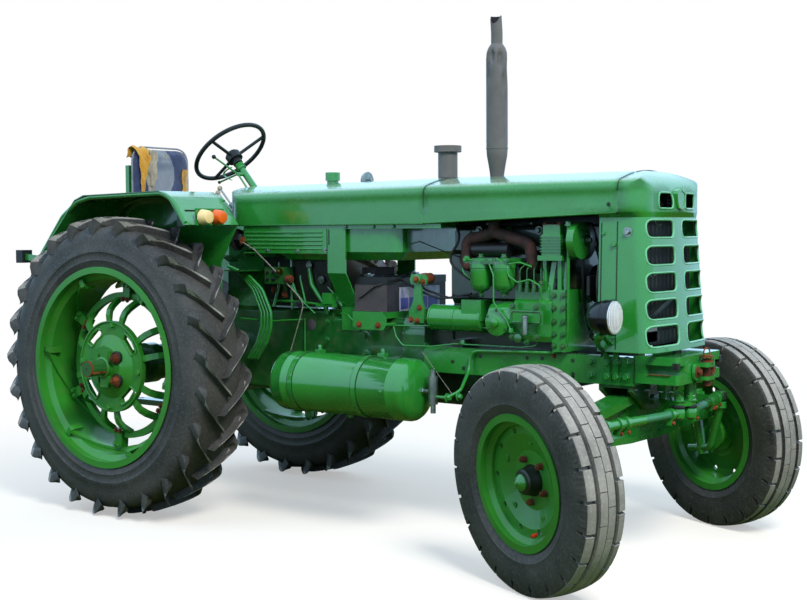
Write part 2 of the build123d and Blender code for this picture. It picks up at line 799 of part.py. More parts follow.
manifold_y = -block_half_width - 42
manifold_pipe = 27
stack_x = fore(1812)
stack_foot = 1560
with BuildPart() as exhaust_manifold:
    with BuildLine() as collector_path:
        FilletPolyline(
            (fore(1776), manifold_y, 1282),
            (fore(1776), manifold_y, 1400),
            (fore(1862), manifold_y, 1412),
            (fore(1925), manifold_y, 1432),
            (fore(2010), manifold_y, 1408),
            (fore(2110), manifold_y, 1382),
            (fore(2132), manifold_y, 1282),
            radius=[40, 60, 60, 60, 40],
        )
    with BuildSketch(Plane(origin=collector_path.line @ 0, z_dir=collector_path.line % 0)):
        Circle(manifold_pipe)
    sweep(path=collector_path.line)
    # an elbow and a stub at each end, in to the block
    for port_x in (fore(1776), fore(2132)):
        with Locations((port_x, manifold_y, 1282)):
            Sphere(manifold_pipe)
        with BuildSketch(Plane.XZ.offset(block_half_width)):
            with Locations((port_x, 1282)):
                Circle(manifold_pipe)
        extrude(amount=-manifold_y - block_half_width)
    with BuildLine() as riser_path:
        FilletPolyline(
            (fore(1925), manifold_y, 1425),
            (fore(1925), manifold_y, stack_foot - 60),
            (stack_x, 0, stack_foot - 60),
            (stack_x, 0, stack_foot),
            radius=40,
        )
    with BuildSketch(Plane(origin=riser_path.line @ 0, z_dir=riser_path.line % 0)):
        Circle(manifold_pipe)
    sweep(path=riser_path.line)
exhaust_manifold.part.label = "exhaust_manifold"
export_step(exhaust_manifold.part, "parts/exhaust_manifold.step")

filter_y = -268
with BuildPart() as fuel_filters:
    for filter_x in (fore(1897), fore(2019)):
        with BuildSketch(Plane.XZ.offset(-filter_y)):
            with BuildLine():
                Polyline(
                    (filter_x, 1164),
                    (filter_x + 30, 1172),
                    (filter_x + 48, 1196),
                    (filter_x + 48, 1272),
                    (filter_x + 52, 1276),
                    (filter_x + 52, 1290),
                    (filter_x, 1290),
                    close=True,
                )
            make_face()
        revolve(axis=Axis((filter_x, filter_y, 0), (0, 0, 1)))
    # shared head bolted to the block
    with BuildSketch(Plane.XY.offset(1290)):
        with Locations((fore(1958), (filter_y - 20 - block_half_width) / 2)):
            Rectangle(200, abs(filter_y - 20 + block_half_width))
    extrude(amount=26)
fuel_filters.part.label = "fuel_filters"
export_step(fuel_filters.part, "parts/fuel_filters.step")

pump_y = -218
with BuildPart() as injection_pump:
    with BuildSketch(Plane.YZ.offset(fore(2066))):
        with BuildLine():
            Polyline(
                (-block_half_width + 20, 950),
                (pump_y - 34, 950),
                (pump_y - 44, 975),
                (pump_y - 44, 1120),
                (pump_y - 30, 1135),
                (pump_y - 30, 1178),
                (pump_y + 26, 1178),
                (-block_half_width, 1130),
                (-block_half_width + 20, 1100),
                close=True,
            )
        make_face()
    extrude(amount=fore(2258) - fore(2066))
    # governor drum at its rear end
    with BuildSketch(Plane.YZ.offset(fore(1946))):
        with Locations((pump_y, 1046)):
            Circle(76)
    extrude(amount=120)
    with BuildSketch(Plane.YZ.offset(fore(1946))):
        with Locations((-(block_half_width - 20) - 10, 1046)):
            Rectangle(20, 100)
    extrude(amount=120)
injection_pump.part.label = "injection_pump"
export_step(injection_pump.part, "parts/injection_pump.step")

starter_y = -block_half_width - 58
with BuildPart() as starter_motor:
    with BuildSketch(Plane.YZ.offset(fore(1600))):
        with Locations((starter_y, 1036)):
            Circle(60)
    extrude(amount=290)
    with BuildSketch(Plane.YZ.offset(fore(1790))):
        with Locations((starter_y, 1078)):
            Rectangle(108, 96)
    extrude(amount=106)
    with BuildSketch(Plane.YZ.offset(fore(1600))):
        with Locations((starter_y + 46, 1036)):
            Rectangle(40, 70)
    extrude(amount=60)
starter_motor.part.label = "starter_motor"
export_step(starter_motor.part, "parts/starter_motor.step")

compressor_y = -block_half_width - 60
pulley_z = 1394
with BuildPart() as air_compressor:
    with BuildSketch(Plane.XY.offset(1308)):
        with Locations((fore(2258), compressor_y)):
            Rectangle(122, 118)
    extrude(amount=22)
    with BuildSketch(Plane.XY.offset(1330)):
        with Locations((fore(2258), compressor_y)):
            Rectangle(94, 96)
    extrude(amount=90)
    with BuildSketch(Plane.XY.offset(1420)):
        with Locations((fore(2258), compressor_y)):
            Rectangle(84, 88)
    extrude(amount=44)
    # two legs down to the timing case
    for leg_x in (2216, 2290):
        with BuildSketch(Plane.XY.offset(1180)):
            with Locations((fore(leg_x), compressor_y)):
                Rectangle(18, 60)
        extrude(amount=128)
    # shaft and belt pulley at its front
    with BuildSketch(Plane.YZ.offset(fore(2300))):
        with Locations((compressor_y, pulley_z)):
            Circle(16)
    extrude(amount=56)
    with BuildSketch(Plane.YZ.offset(fore(2350))):
        with Locations((compressor_y, pulley_z)):
            Circle(80)
    extrude(amount=34)
air_compressor.part.label = "air_compressor"
export_step(air_compressor.part, "parts/air_compressor.step")

fan_z = 1200
with BuildPart() as cooling_fan:
    with BuildSketch(Plane.YZ.offset(block_front)):
        with Locations((0, fan_z)):
            Circle(40)
    extrude(amount=118)
    with BuildSketch(Plane.YZ.offset(block_front + 20)):
        with Locations((0, fan_z)):
            Circle(86)
    extrude(amount=36)
    with BuildSketch(Plane.YZ.offset(block_front + 84)):
        with Locations((0, fan_z)):
            Circle(70)
            with PolarLocations(140, 6):
                Rectangle(150, 84)
    extrude(amount=14)
cooling_fan.part.label = "cooling_fan"
export_step(cooling_fan.part, "parts/cooling_fan.step")

# ---------------------------------------------------------------- line of the steering column
console_top = 1450
pedestal = 50
column_rake = 48.3               # degrees up from level, leaning back
column_radius = 18
wheel_dish = 46                  # from the hub's middle up to the steering wheel's rim
column_direction = Vector(-cos(radians(column_rake)), 0, sin(radians(column_rake)))
column_top = Vector(fore(84), 0, 1877) - column_direction * wheel_dish
foot_height = console_top + pedestal + column_radius * cos(radians(column_rake)) + fit_gap
column_length = (column_top.Z - foot_height) / sin(radians(column_rake))
column_foot = column_top - column_direction * column_length

# ---------------------------------------------------------------- sheet metal covers
cover_shoulder = 262             # half width where the sides turn in to the crown
engine_cover_rear = fore(1600)
engine_cover_front = fore_of_front(56)
tank_cover_rear = fore(444)
cowl_rear = fore_of_front(-40)
cowl_bottom = 926
cowl_front = fore_of_front(222)


def cover_section(x, low, top, steel=sheet):
    """A cover cut across at x: crown, rounded shoulders, sides and lower lips."""
    outer = cover_half_width
    inner = outer - steel
    shoulder_z = top - 40
    turn_z = top - 92
    with BuildLine() as outline:
        Polyline((-outer + lip, low), (-outer, low), (-outer, turn_z))
        ThreePointArc((-outer, turn_z), (8 - outer, turn_z + 34), (-cover_shoulder, shoulder_z))
        ThreePointArc((-cover_shoulder, shoulder_z), (0, top), (cover_shoulder, shoulder_z))
        ThreePointArc((cover_shoulder, shoulder_z), (outer - 8, turn_z + 34), (outer, turn_z))
        Polyline((outer, turn_z), (outer, low), (outer - lip, low), (outer - lip, low + steel))
        Polyline((outer - lip, low + steel), (inner, low + steel), (inner, turn_z))
        ThreePointArc(
            (inner, turn_z),
            (inner - 8, turn_z + 32),
            (cover_shoulder - steel / 2, shoulder_z - steel),
        )
        ThreePointArc(
            (cover_shoulder - steel / 2, shoulder_z - steel),
            (0, top - steel),
            (steel / 2 - cover_shoulder, shoulder_z - steel),
        )
        ThreePointArc(
            (steel / 2 - cover_shoulder, shoulder_z - steel),
            (8 - inner, turn_z + 32),
            (-inner, turn_z),
        )
        Polyline((-inner, turn_z), (-inner, low + steel), (-outer + lip, low + steel))
        Line((-outer + lip, low + steel), (-outer + lip, low))
    with BuildSketch(Plane.YZ.offset(x)) as section:
        make_face(outline.line.edges())
    return section.sketch


def below_crown(x, top, inset, low):
    """The outline of a cover cut across at x, filled in down to the height low."""
    outer = cover_half_width - inset
    shoulder = cover_shoulder - inset / 2
    shoulder_z = top - 40 - inset
    turn_z = top - 92
    with BuildLine() as outline:
        Polyline((outer, turn_z), (outer, low), (-outer, low), (-outer, turn_z))
        ThreePointArc((-outer, turn_z), (8 - outer, turn_z + 34 - inset / 2), (-shoulder, shoulder_z))
        ThreePointArc((-shoulder, shoulder_z), (0, top - inset), (shoulder, shoulder_z))
        ThreePointArc((shoulder, shoulder_z), (outer - 8, turn_z + 34 - inset / 2), (outer, turn_z))
    with BuildSketch(Plane.YZ.offset(x)) as section:
        make_face(outline.line.edges())
    return section.sketch


dash_face = fore(304)
dash_corner = 136


def dash_solid(inset):
    """The space the dash encloses: flat across the back with large rounded corners."""
    half = cover_half_width - inset
    face = dash_face + inset
    corner = dash_corner - inset
    diagonal = corner * (1 - cos(radians(45)))
    section = below_crown(dash_face - 10, cover_top, inset, cover_low)
    with BuildPart() as solid:
        with BuildSketch(Plane.XY.offset(cover_low - 1)):
            with BuildLine():
                Line((tank_cover_rear, -half), (face + corner, -half))
                ThreePointArc(
                    (face + corner, -half),
                    (face + diagonal, -half + diagonal),
                    (face, -half + corner),
                )
                Line((face, -half + corner), (face, half - corner))
                ThreePointArc(
                    (face, half - corner),
                    (face + diagonal, half - diagonal),
                    (face + corner, half),
                )
                Polyline((face + corner, half), (tank_cover_rear, half), (tank_cover_rear, -half))
            make_face()
        extrude(amount=cover_top - cover_low + 20)
        extrude(section, amount=tank_cover_rear - dash_face + 20, mode=Mode.INTERSECT)
    return solid.part


seam_low = cover_low + 3
seam_top = cover_top + 10
nose_low = 1512
nose_top = 1696
precleaner_x = fore(1531)
filler_x = fore(810)
stem_radius = 31
cover_sections = [
    cover_section(tank_cover_rear, cover_low, cover_top),
    cover_section(engine_cover_rear, seam_low, seam_top),
    cover_section(engine_cover_front, nose_low, nose_top),
]
dash_skin = dash_solid(0)
dash_hollow = dash_solid(sheet)
with BuildPart() as tank_cover:
    loft(sections=cover_sections[:2])
    # the dash closes the rear end, bulging back round the steering column
    add(dash_skin)
    add(dash_hollow, mode=Mode.SUBTRACT)
    with BuildSketch(Plane(origin=column_foot, z_dir=column_direction)):
        Circle(column_radius + moving_gap)
    extrude(amount=column_length, mode=Mode.SUBTRACT)
    for hole_x in (filler_x, precleaner_x):
        with BuildSketch(Plane.XY.offset(cover_top - 40)):
            with Locations((hole_x, 0)):
                Circle(stem_radius + fit_gap)
        extrude(amount=80, mode=Mode.SUBTRACT)
tank_cover.part.label = "tank_cover"
export_step(tank_cover.part, "parts/tank_cover.step")

stack_collar_radius = 42
with BuildPart() as engine_cover:
    loft(sections=cover_sections[1:])
    with BuildSketch(Plane.XY.offset(seam_top - 40)):
        with Locations((stack_x, 0)):
            Circle(stack_collar_radius + fit_gap)
    extrude(amount=80, mode=Mode.SUBTRACT)
engine_cover.part.label = "engine_cover"
export_step(engine_cover.part, "parts/engine_cover.step")


brow_low = 1492                  # the cowl widens from here up to the brow
brow_high = nose_low + 2
brow_front = fore_of_front(198)
brow_radius = 160                # of the nose seen from the side
cowl_lean = 36                   # how much further back the cowl's face is under the brow


def cowl_plan(z, front, half, bow, corner, inset):
    """The cowl's outline seen from above at height z, its front gently bowed."""
    half -= inset
    front -= inset
    corner -= inset
    face = front - bow
    start = face - corner
    rear = cowl_rear - 5 * inset
    diagonal = corner * sin(radians(45))
    with BuildLine() as outline:
        Polyline((start, half), (rear, half), (rear, -half), (start, -half))
        ThreePointArc(
            (start, -half),
            (start + diagonal, diagonal - half + corner - 2 * diagonal),
            (face, corner - half),
        )
        ThreePointArc((face, corner - half), (front, 0), (face, half - corner))
        ThreePointArc(
            (face, half - corner),
            (start + diagonal, half - corner + diagonal),
            (start, half),
        )
    with BuildSketch(Plane.XY.offset(z)) as plan:
        make_face(outline.line.edges())
    return plan.sketch


def cowl_solid(inset):
    """The space the nose cowl fills, its skin moved inward by the inset."""
    under_brow = cowl_plan(brow_low, cowl_front - cowl_lean, cover_half_width - 24, 12, 66, inset)
    at_brow = cowl_plan(brow_high, brow_front, cover_half_width, 22, 90, inset)
    arc_x = brow_front - brow_radius
    arc_z = nose_top - brow_radius
    radius = brow_radius - inset
    bottom = cowl_plan(cowl_bottom, cowl_front, cover_half_width - 6, 12, 66, inset)
    crown = below_crown(cowl_rear - 40, nose_top, inset, brow_high - 10)
    with BuildPart() as brow:
        extrude(at_brow, amount=nose_top - brow_high + 10)
        extrude(crown, amount=brow_front - cowl_rear + 60, mode=Mode.INTERSECT)
        with BuildSketch(Plane.XZ.offset(-cover_half_width - 10)):
            with BuildLine():
                ThreePointArc(
                    (arc_x, arc_z + radius),
                    (arc_x + radius * sin(radians(45)), arc_z + radius * sin(radians(45))),
                    (arc_x + radius, arc_z),
                )
                Polyline(
                    (arc_x + radius, arc_z),
                    (arc_x + brow_radius + 60, arc_z),
                    (arc_x + brow_radius + 60, nose_top + 40),
                    (arc_x, nose_top + 40),
                    (arc_x, arc_z + radius),
                )
            make_face()
        extrude(amount=2 * cover_half_width + 20, mode=Mode.SUBTRACT)
    with BuildPart() as solid:
        loft(sections=[bottom, under_brow])
        loft(sections=[under_brow, at_brow])
        add(brow.part)
    return solid.part


grille = [
    # height of the opening's middle, its height, its outer edge from the centreline
    (1443, 76, 250),
    (1331, 80, 257),
    (1218, 82, 264),
    (1106, 84, 271),
    (994, 88, 278),
]
grille_bar = 39                  # half the width of the bar between the two columns
cowl_skin = cowl_solid(0)
cowl_hollow = cowl_solid(sheet)
with BuildPart() as nose_cowl:
    add(cowl_skin)
    add(cowl_hollow, mode=Mode.SUBTRACT)
    # above the side panels the cowl starts at the engine cover's front edge
    with BuildSketch(Plane.XZ.offset(-cover_half_width - 10)):
        with Locations(((cowl_rear - 20 + engine_cover_front) / 2, nose_low + 100)):
            Rectangle(engine_cover_front - cowl_rear + 20, 200 + 2 * moving_gap)
    extrude(amount=2 * cover_half_width + 20, mode=Mode.SUBTRACT)
    # two columns of grille openings and a small pair above them
    for middle, height, reach in grille:
        with BuildSketch(Plane.YZ.offset(cowl_front - 120)):
            for column in (-1, 1):
                with Locations((column * (grille_bar + reach) / 2, middle)):
                    RectangleRounded(reach - grille_bar, height, 24)
        extrude(amount=140, mode=Mode.SUBTRACT)
    with BuildSketch(Plane.YZ.offset(cowl_front - 120)):
        for column in (-1, 1):
            with Locations((column * 116, 1562)):
                RectangleRounded(118, 69, 20)
    extrude(amount=140, mode=Mode.SUBTRACT)
nose_cowl.part.label = "nose_cowl"
export_step(nose_cowl.part, "parts/nose_cowl.step")

# ---------------------------------------------------------------- cooling
core_rear = fore_of_front(8)
shroud_depth = 72
with BuildPart() as radiator:
    # core, with header tanks above and below it
    with BuildSketch(Plane.YZ.offset(core_rear)):
        with Locations((0, 1235)):
            Rectangle(510, 470)
    extrude(amount=74)
    for tank_z, tank_height in ((1515, 90), (970, 60)):
        with BuildSketch(Plane.YZ.offset(core_rear - 12)):
            with Locations((0, tank_z)):
                Rectangle(530, tank_height)
        extrude(amount=98)
    # feet on the front casting
    with BuildSketch(Plane.XY.offset(casting_top)):
        with Locations((core_rear + 47, -180), (core_rear + 47, 180)):
            Rectangle(112, 60)
    extrude(amount=32)
    # shroud round the fan
    with BuildSketch(Plane.YZ.offset(core_rear - shroud_depth)):
        with Locations((0, fan_z)):
            Circle(262)
            Circle(252, mode=Mode.SUBTRACT)
    extrude(amount=shroud_depth)
radiator.part.label = "radiator"
export_step(radiator.part, "parts/radiator.step")

# ---------------------------------------------------------------- transmission
gearbox_rear = fore(222)
clutch_rear = fore(956)
bell_rear = fore(1411)
housing_bottom = 620
with BuildPart() as clutch_housing:
    with BuildSketch(Plane.YZ.offset(clutch_rear)):
        with Locations((0, (clutch_housing_top + housing_bottom) / 2)):
            RectangleRounded(2 * housing_half_width, clutch_housing_top - housing_bottom, 30)
    extrude(amount=bell_rear - clutch_rear)
    # bell round the flywheel, with its flange against the engine
    with BuildSketch(Plane.YZ.offset(bell_rear)):
        with Locations((0, 848)):
            RectangleRounded(2 * rail_half_width - 8, 440, 120)
    extrude(amount=rail_rear - bell_rear)
    # cheeks that the frame rails bolt to
    for side_name, side in sides:
        with BuildSketch(Plane.XY.offset(rail_bottom + rail_steel)):
            with Locations((rail_rear + 35, side * (rail_half_width - rail_steel - 22))):
                Rectangle(70, 44)
        extrude(amount=rail_top - rail_bottom - 2 * rail_steel)
clutch_housing.part.label = "clutch_housing"
export_step(clutch_housing.part, "parts/clutch_housing.step")

with BuildPart() as gearbox:
    with BuildSketch(Plane.YZ.offset(gearbox_rear)):
        with Locations((0, (gearbox_top + housing_bottom) / 2)):
            RectangleRounded(2 * housing_half_width + 6, gearbox_top - housing_bottom, 24)
    extrude(amount=clutch_rear - gearbox_rear)
gearbox.part.label = "gearbox"
export_step(gearbox.part, "parts/gearbox.step")

trumpet_reach = 598              # from the centreline to the outer end of the axle housing
shaft_bore = axle_shaft_radius + 1
with BuildPart() as rear_axle_housing:
    with BuildSketch(Plane.YZ.offset(fore(-240))):
        with Locations((0, 830)):
            RectangleRounded(400, 500, 60)
    extrude(amount=gearbox_rear - fore(-240))
    for side_name, side in sides:
        across = Vector(0, side, 0)
        middle = Vector(rear_axle_x, 0, rear_tyre_radius)
        barrel = [
            # from the centreline, length, radius
            (190, 130, 158),
            (320, 190, 92),
            (510, 60, 104),
            (570, trumpet_reach - 570, 76),
        ]
        for start, length, radius in barrel:
            with BuildSketch(wheel_face_plane(middle, across, start)):
                Circle(radius)
            extrude(amount=length)
        with BuildSketch(wheel_face_plane(middle, across, 290)):
            Circle(shaft_bore)
        extrude(amount=trumpet_reach - 290, mode=Mode.SUBTRACT)
    # power take-off, a plain shaft standing out at the back
    with BuildSketch(Plane.YZ.offset(fore(-330))):
        with Locations((0, 690)):
            Circle(17.5)
    extrude(amount=92)
    with BuildSketch(Plane.YZ.offset(fore(-262))):
        with Locations((0, 690)):
            Circle(52)
    extrude(amount=24)
rear_axle_housing.part.label = "rear_axle_housing"
export_step(rear_axle_housing.part, "parts/rear_axle_housing.step")

drawbar_z = 440
drawbar_hole_radius = 16
with BuildPart() as drawbar:
    with BuildSketch(Plane.XY.offset(drawbar_z)):
        with Locations((fore(-310), 0)):
            Rectangle(700, 80)
        with Locations((fore(-650), 0)):
            Circle(46)
        with Locations((fore(-660), 0)):
            Circle(drawbar_hole_radius, mode=Mode.SUBTRACT)
    extrude(amount=32)
    # hangers under the axle housing
    for hanger_x in (fore(-200), fore(10)):
        with BuildSketch(Plane.YZ.offset(hanger_x)):
            with Locations((0, (drawbar_z + 32 + 580) / 2)):
                Rectangle(150, 580 - drawbar_z - 32)
        extrude(amount=26)
drawbar.part.label = "drawbar"
export_step(drawbar.part, "parts/drawbar.step")

# ---------------------------------------------------------------- driver's place
platform_z = 1240
platform_steel = 6
fender_inner = 388
console_rear = fore(225)
console_front = fore(560)
with BuildPart() as steering_console:
    with BuildSketch(Plane.XY.offset(gearbox_top)):
        with Locations(((console_rear + console_front) / 2, 0)):
            Rectangle(console_front - console_rear, 330)
    extrude(amount=console_top - gearbox_top)
    # pedestal of the steering column, behind the dash
    with BuildSketch(Plane.XY.offset(console_top)):
        with Locations((column_foot.X, 0)):
            Rectangle(100, 80)
    extrude(amount=pedestal)
steering_console.part.label = "steering_console"
export_step(steering_console.part, "parts/steering_console.step")

with BuildPart() as platform:
    with BuildSketch(Plane.XY.offset(platform_z)):
        with Locations((fore(110), 0)):
            Rectangle(820, 2 * (fender_inner - fit_gap))
        with Locations(((console_rear + console_front) / 2, 0)):
            Rectangle(console_front - console_rear + 1, 331, mode=Mode.SUBTRACT)
        with Locations((fore(-170), 0)):
            Rectangle(91, 121, mode=Mode.SUBTRACT)
    extrude(amount=platform_steel)
    # brackets down to the axle housing and the gearbox
    for side_name, side in sides:
        with BuildSketch(Plane.YZ.offset(fore(-60))):
            with Locations((side * 150, (platform_z + 1080) / 2)):
                Rectangle(60, platform_z - 1080)
        extrude(amount=120)
platform.part.label = "platform"
export_step(platform.part, "parts/platform.step")

with BuildPart() as steering_column:
    with BuildSketch(Plane(origin=column_foot, z_dir=column_direction)):
        Circle(column_radius)
    extrude(amount=column_length - 60)
    with BuildSketch(Plane(origin=column_foot, z_dir=column_direction).offset(column_length - 84)):
        Circle(25)
    extrude(amount=34)
    # steering shaft
    with BuildSketch(Plane(origin=column_foot, z_dir=column_direction)):
        Circle(9)
    extrude(amount=column_length + 14)
steering_column.part.label = "steering_column"
export_step(steering_column.part, "parts/steering_column.step")

wheel_radius = 209
wheel_tube = 12
hub_plane = Plane(origin=column_top, x_dir=(0, 1, 0), z_dir=column_direction)
with BuildPart() as steering_wheel:
    # hub: a bell over the end of the column
    for start, length, radius in ((-44, 30, 27), (-14, 38, 43), (24, 12, 32)):
        with BuildSketch(hub_plane.offset(start)):
            Circle(radius)
        extrude(amount=length)
    with BuildSketch(hub_plane.offset(-44)):
        Circle(9.1)
    extrude(amount=62, mode=Mode.SUBTRACT)
    rim_centre = hub_plane.from_local_coords(Vector(0, 0, wheel_dish))
    with BuildSketch(Plane(origin=rim_centre, x_dir=(0, 1, 0), z_dir=hub_plane.y_dir)):
        with Locations((wheel_radius, 0)):
            Circle(wheel_tube)
    revolve(axis=Axis(rim_centre, column_direction))
    for spoke_angle in (80, 200, 320):
        spoke_out = hub_plane.from_local_coords(
            Vector(
                wheel_radius * cos(radians(spoke_angle)),
                wheel_radius * sin(radians(spoke_angle)),
                wheel_dish,
            )
        )
        spoke_in = hub_plane.from_local_coords(
            Vector(
                30 * cos(radians(spoke_angle)),
                30 * sin(radians(spoke_angle)),
                10,
            )
        )
        with BuildSketch(Plane(origin=spoke_in, z_dir=spoke_out - spoke_in)):
            Circle(9)
        extrude(amount=(spoke_out - spoke_in).length)
steering_wheel.part.label = "steering_wheel"
export_step(steering_wheel.part, "parts/steering_wheel.step")

throttle_pivot = (188, -52, 1752)
levers = [
    # foot x, foot y, foot z, knob x, knob y, knob z, knob radius
    (238, -72, 1500, 83, -84, 1677, 14),
    (238, -96, 1500, 88, -104, 1652, 14),
    (*throttle_pivot, 111, -155, 1843, 12),
    (*throttle_pivot, 53, -56, 1711, 9),
    (*throttle_pivot, 288, -56, 1640, 8),
]
boss_z = 1504
with BuildPart() as control_levers:
    for foot_x, foot_y, foot_z, knob_x, knob_y, knob_z, knob_radius in levers:
        foot = Vector(fore(foot_x), foot_y, foot_z)
        knob = Vector(fore(knob_x), knob_y, knob_z)
        with BuildSketch(Plane(origin=foot, z_dir=knob - foot)):
            Circle(6)
        extrude(amount=(knob - foot).length)
        with Locations(knob):
            Sphere(knob_radius)
    # pivot of the hand throttle, against the side of the steering column
    with BuildSketch(Plane.XZ.offset(column_radius + fit_gap)):
        with Locations((fore(throttle_pivot[0]), throttle_pivot[2])):
            Circle(11)
    extrude(amount=40)
    # boss that the gear levers turn in, standing out of the dash
    with BuildSketch(Plane.YZ.offset(fore(210))):
        with Locations((-84, boss_z)):
            Circle(34)
    extrude(amount=dash_face - fit_gap - fore(210))
control_levers.part.label = "control_levers"
export_step(control_levers.part, "parts/control_levers.step")

with BuildPart() as pedals:
    for side_name, side in sides:
        with BuildSketch(Plane.XZ.offset(-side * 165)):
            with Locations((fore(400), 1330)):
                Circle(18)
        extrude(amount=-side * 70)
        with BuildSketch(Plane.XZ.offset(-side * 212)):
            with BuildLine():
                Polyline(
                    (fore(412), 1322),
                    (fore(300), 1286),
                    (fore(296), 1300),
                    (fore(404), 1340),
                    close=True,
                )
            make_face()
        extrude(amount=-side * 16)
        with BuildSketch(Plane.XZ.offset(-side * 190)):
            with BuildLine():
                Polyline(
                    (fore(310), 1284),
                    (fore(268), 1310),
                    (fore(272), 1318),
                    (fore(314), 1292),
                    close=True,
                )
            make_face()
        extrude(amount=-side * 70)
pedals.part.label = "pedals"
export_step(pedals.part, "parts/pedals.step")

seat_rear = fore(-514)
seat_front = fore(-64)
seat_height = 1500
seat_half_width = 215
seat_back_top = 1925
with BuildPart() as seat_frame:
    # post on the axle housing, pan and back supports
    with BuildSketch(Plane.XY.offset(1080)):
        with Locations((fore(-170), 0)):
            Rectangle(90, 120)
    extrude(amount=seat_height - 12 - 1080)
    with BuildSketch(Plane.XY.offset(seat_height - 12)):
        with Locations(((seat_rear + seat_front) / 2 - 15, 0)):
            Rectangle(seat_front - seat_rear + 30, 2 * seat_half_width)
    extrude(amount=12)
    with BuildSketch(Plane.XY.offset(seat_height - 12)):
        with Locations((seat_rear - 14, -seat_half_width + 30), (seat_rear - 14, seat_half_width - 30)):
            Rectangle(28, 28)
    extrude(amount=330)
seat_frame.part.label = "seat_frame"
export_step(seat_frame.part, "parts/seat_frame.step")

with BuildPart() as seat_cushion:
    with BuildSketch(Plane.XY.offset(seat_height + fit_gap)):
        with Locations(((seat_rear + 90 + seat_front) / 2, 0)):
            RectangleRounded(seat_front - seat_rear - 90, 2 * seat_half_width - 10, 40)
    extrude(amount=95)
    fillet(seat_cushion.faces().sort_by(Axis.Z)[-1].edges(), 24)
seat_cushion.part.label = "seat_cushion"
export_step(seat_cushion.part, "parts/seat_cushion.step")

with BuildPart() as seat_back:
    with BuildSketch(Plane.YZ.offset(seat_rear + fit_gap)):
        with Locations((0, (seat_height + 12 + seat_back_top) / 2)):
            RectangleRounded(2 * seat_half_width, seat_back_top - seat_height - 12, 110)
    extrude(amount=84)
    fillet(seat_back.faces().sort_by(Axis.X)[-1].edges(), 24)
seat_back.part.label = "seat_back"
export_step(seat_back.part, "parts/seat_back.step")

# ---------------------------------------------------------------- fenders
fender_outer = 765
fender_edge = [
    # distance ahead of the rear axle, height: the fender's bends, from rear to front
    (-655, 1254),
    (-300, 1610),
    (-230, 1634),
    (335, 1644),
    (400, 1616),
    (512, 1476),
]
with BuildPart() as fenders:
    for side_name, side in sides:
        with BuildSketch(Plane.XZ.offset(-side * fender_inner)):
            with BuildLine():
                Polyline(*[(fore(x), z) for x, z in fender_edge])
                Polyline(
                    *[(fore(x), z) for x, z in fender_edge[-1:]],
                    (fore(506), 1472),
                    *[(fore(x - (5 if x > 0 else -5) * 0.8), z - 5) for x, z in fender_edge[-2::-1][:-1]],
                    (fore(-650), 1250),
                    *[(fore(x), z) for x, z in fender_edge[:1]],
                )
            make_face()
        extrude(amount=-side * (fender_outer - fender_inner))
        # inner wall from the crown down to the platform
        with BuildSketch(Plane.XZ.offset(-side * fender_inner)):
            with BuildLine():
                Polyline(
                    (fore(-648), 1254),
                    (fore(-300), 1606),
                    (fore(-230), 1630),
                    (fore(335), 1640),
                    (fore(398), 1612),
                    (fore(508), 1474),
                    (fore(392), 1290),
                    (fore(392), 1130),
                    (fore(-300), 1130),
                    close=True,
                )
            make_face()
        extrude(amount=-side * 5)
fenders.part.label = "fenders"
export_step(fenders.part, "parts/fenders.step")

lamp_radius = 38
lamp_plate_x = fore(fender_edge[-1][0]) + fit_gap
tail_arm_low = 1290
with BuildPart() as fender_lamps:
    for side_name, side in sides:
        # front pair on their plate
        with BuildSketch(Plane.XZ.offset(-side * 500)):
            with BuildLine():
                Polyline(
                    (lamp_plate_x, 1474),
                    (lamp_plate_x + 6, 1474),
                    (lamp_plate_x + 6, 1556),
                    (lamp_plate_x, 1556),
                    close=True,
                )
            make_face()
        extrude(amount=-side * 194)
        for lamp_y in (650, 557):
            with BuildSketch(Plane.YZ.offset(lamp_plate_x)):
                with Locations((side * lamp_y, 1513)):
                    Circle(lamp_radius)
            extrude(amount=54)
        # tail lamp on its arm behind the fender
        with BuildSketch(Plane.YZ.offset(fore(-tail_lamp_reach))):
            with Locations((side * 690, 1312)):
                RectangleRounded(62, 72, 8)
        extrude(amount=58)
        fender_slope = (fender_edge[1][0] - fender_edge[0][0]) / (fender_edge[1][1] - fender_edge[0][1])
        arm_reach = fore(fender_edge[0][0]) + fender_slope * (tail_arm_low - fender_edge[0][1]) - 0.6
        with BuildSketch(Plane.XZ.offset(-side * 690)):
            with BuildLine():
                Polyline(
                    (fore(50 - tail_lamp_reach), tail_arm_low),
                    (arm_reach, tail_arm_low),
                    (arm_reach + 36 * fender_slope, tail_arm_low + 36),
                    (fore(50 - tail_lamp_reach), tail_arm_low + 36),
                    close=True,
                )
            make_face()
        extrude(amount=2.5, both=True)
fender_lamps.part.label = "fender_lamps"
export_step(fender_lamps.part, "parts/fender_lamps.step")

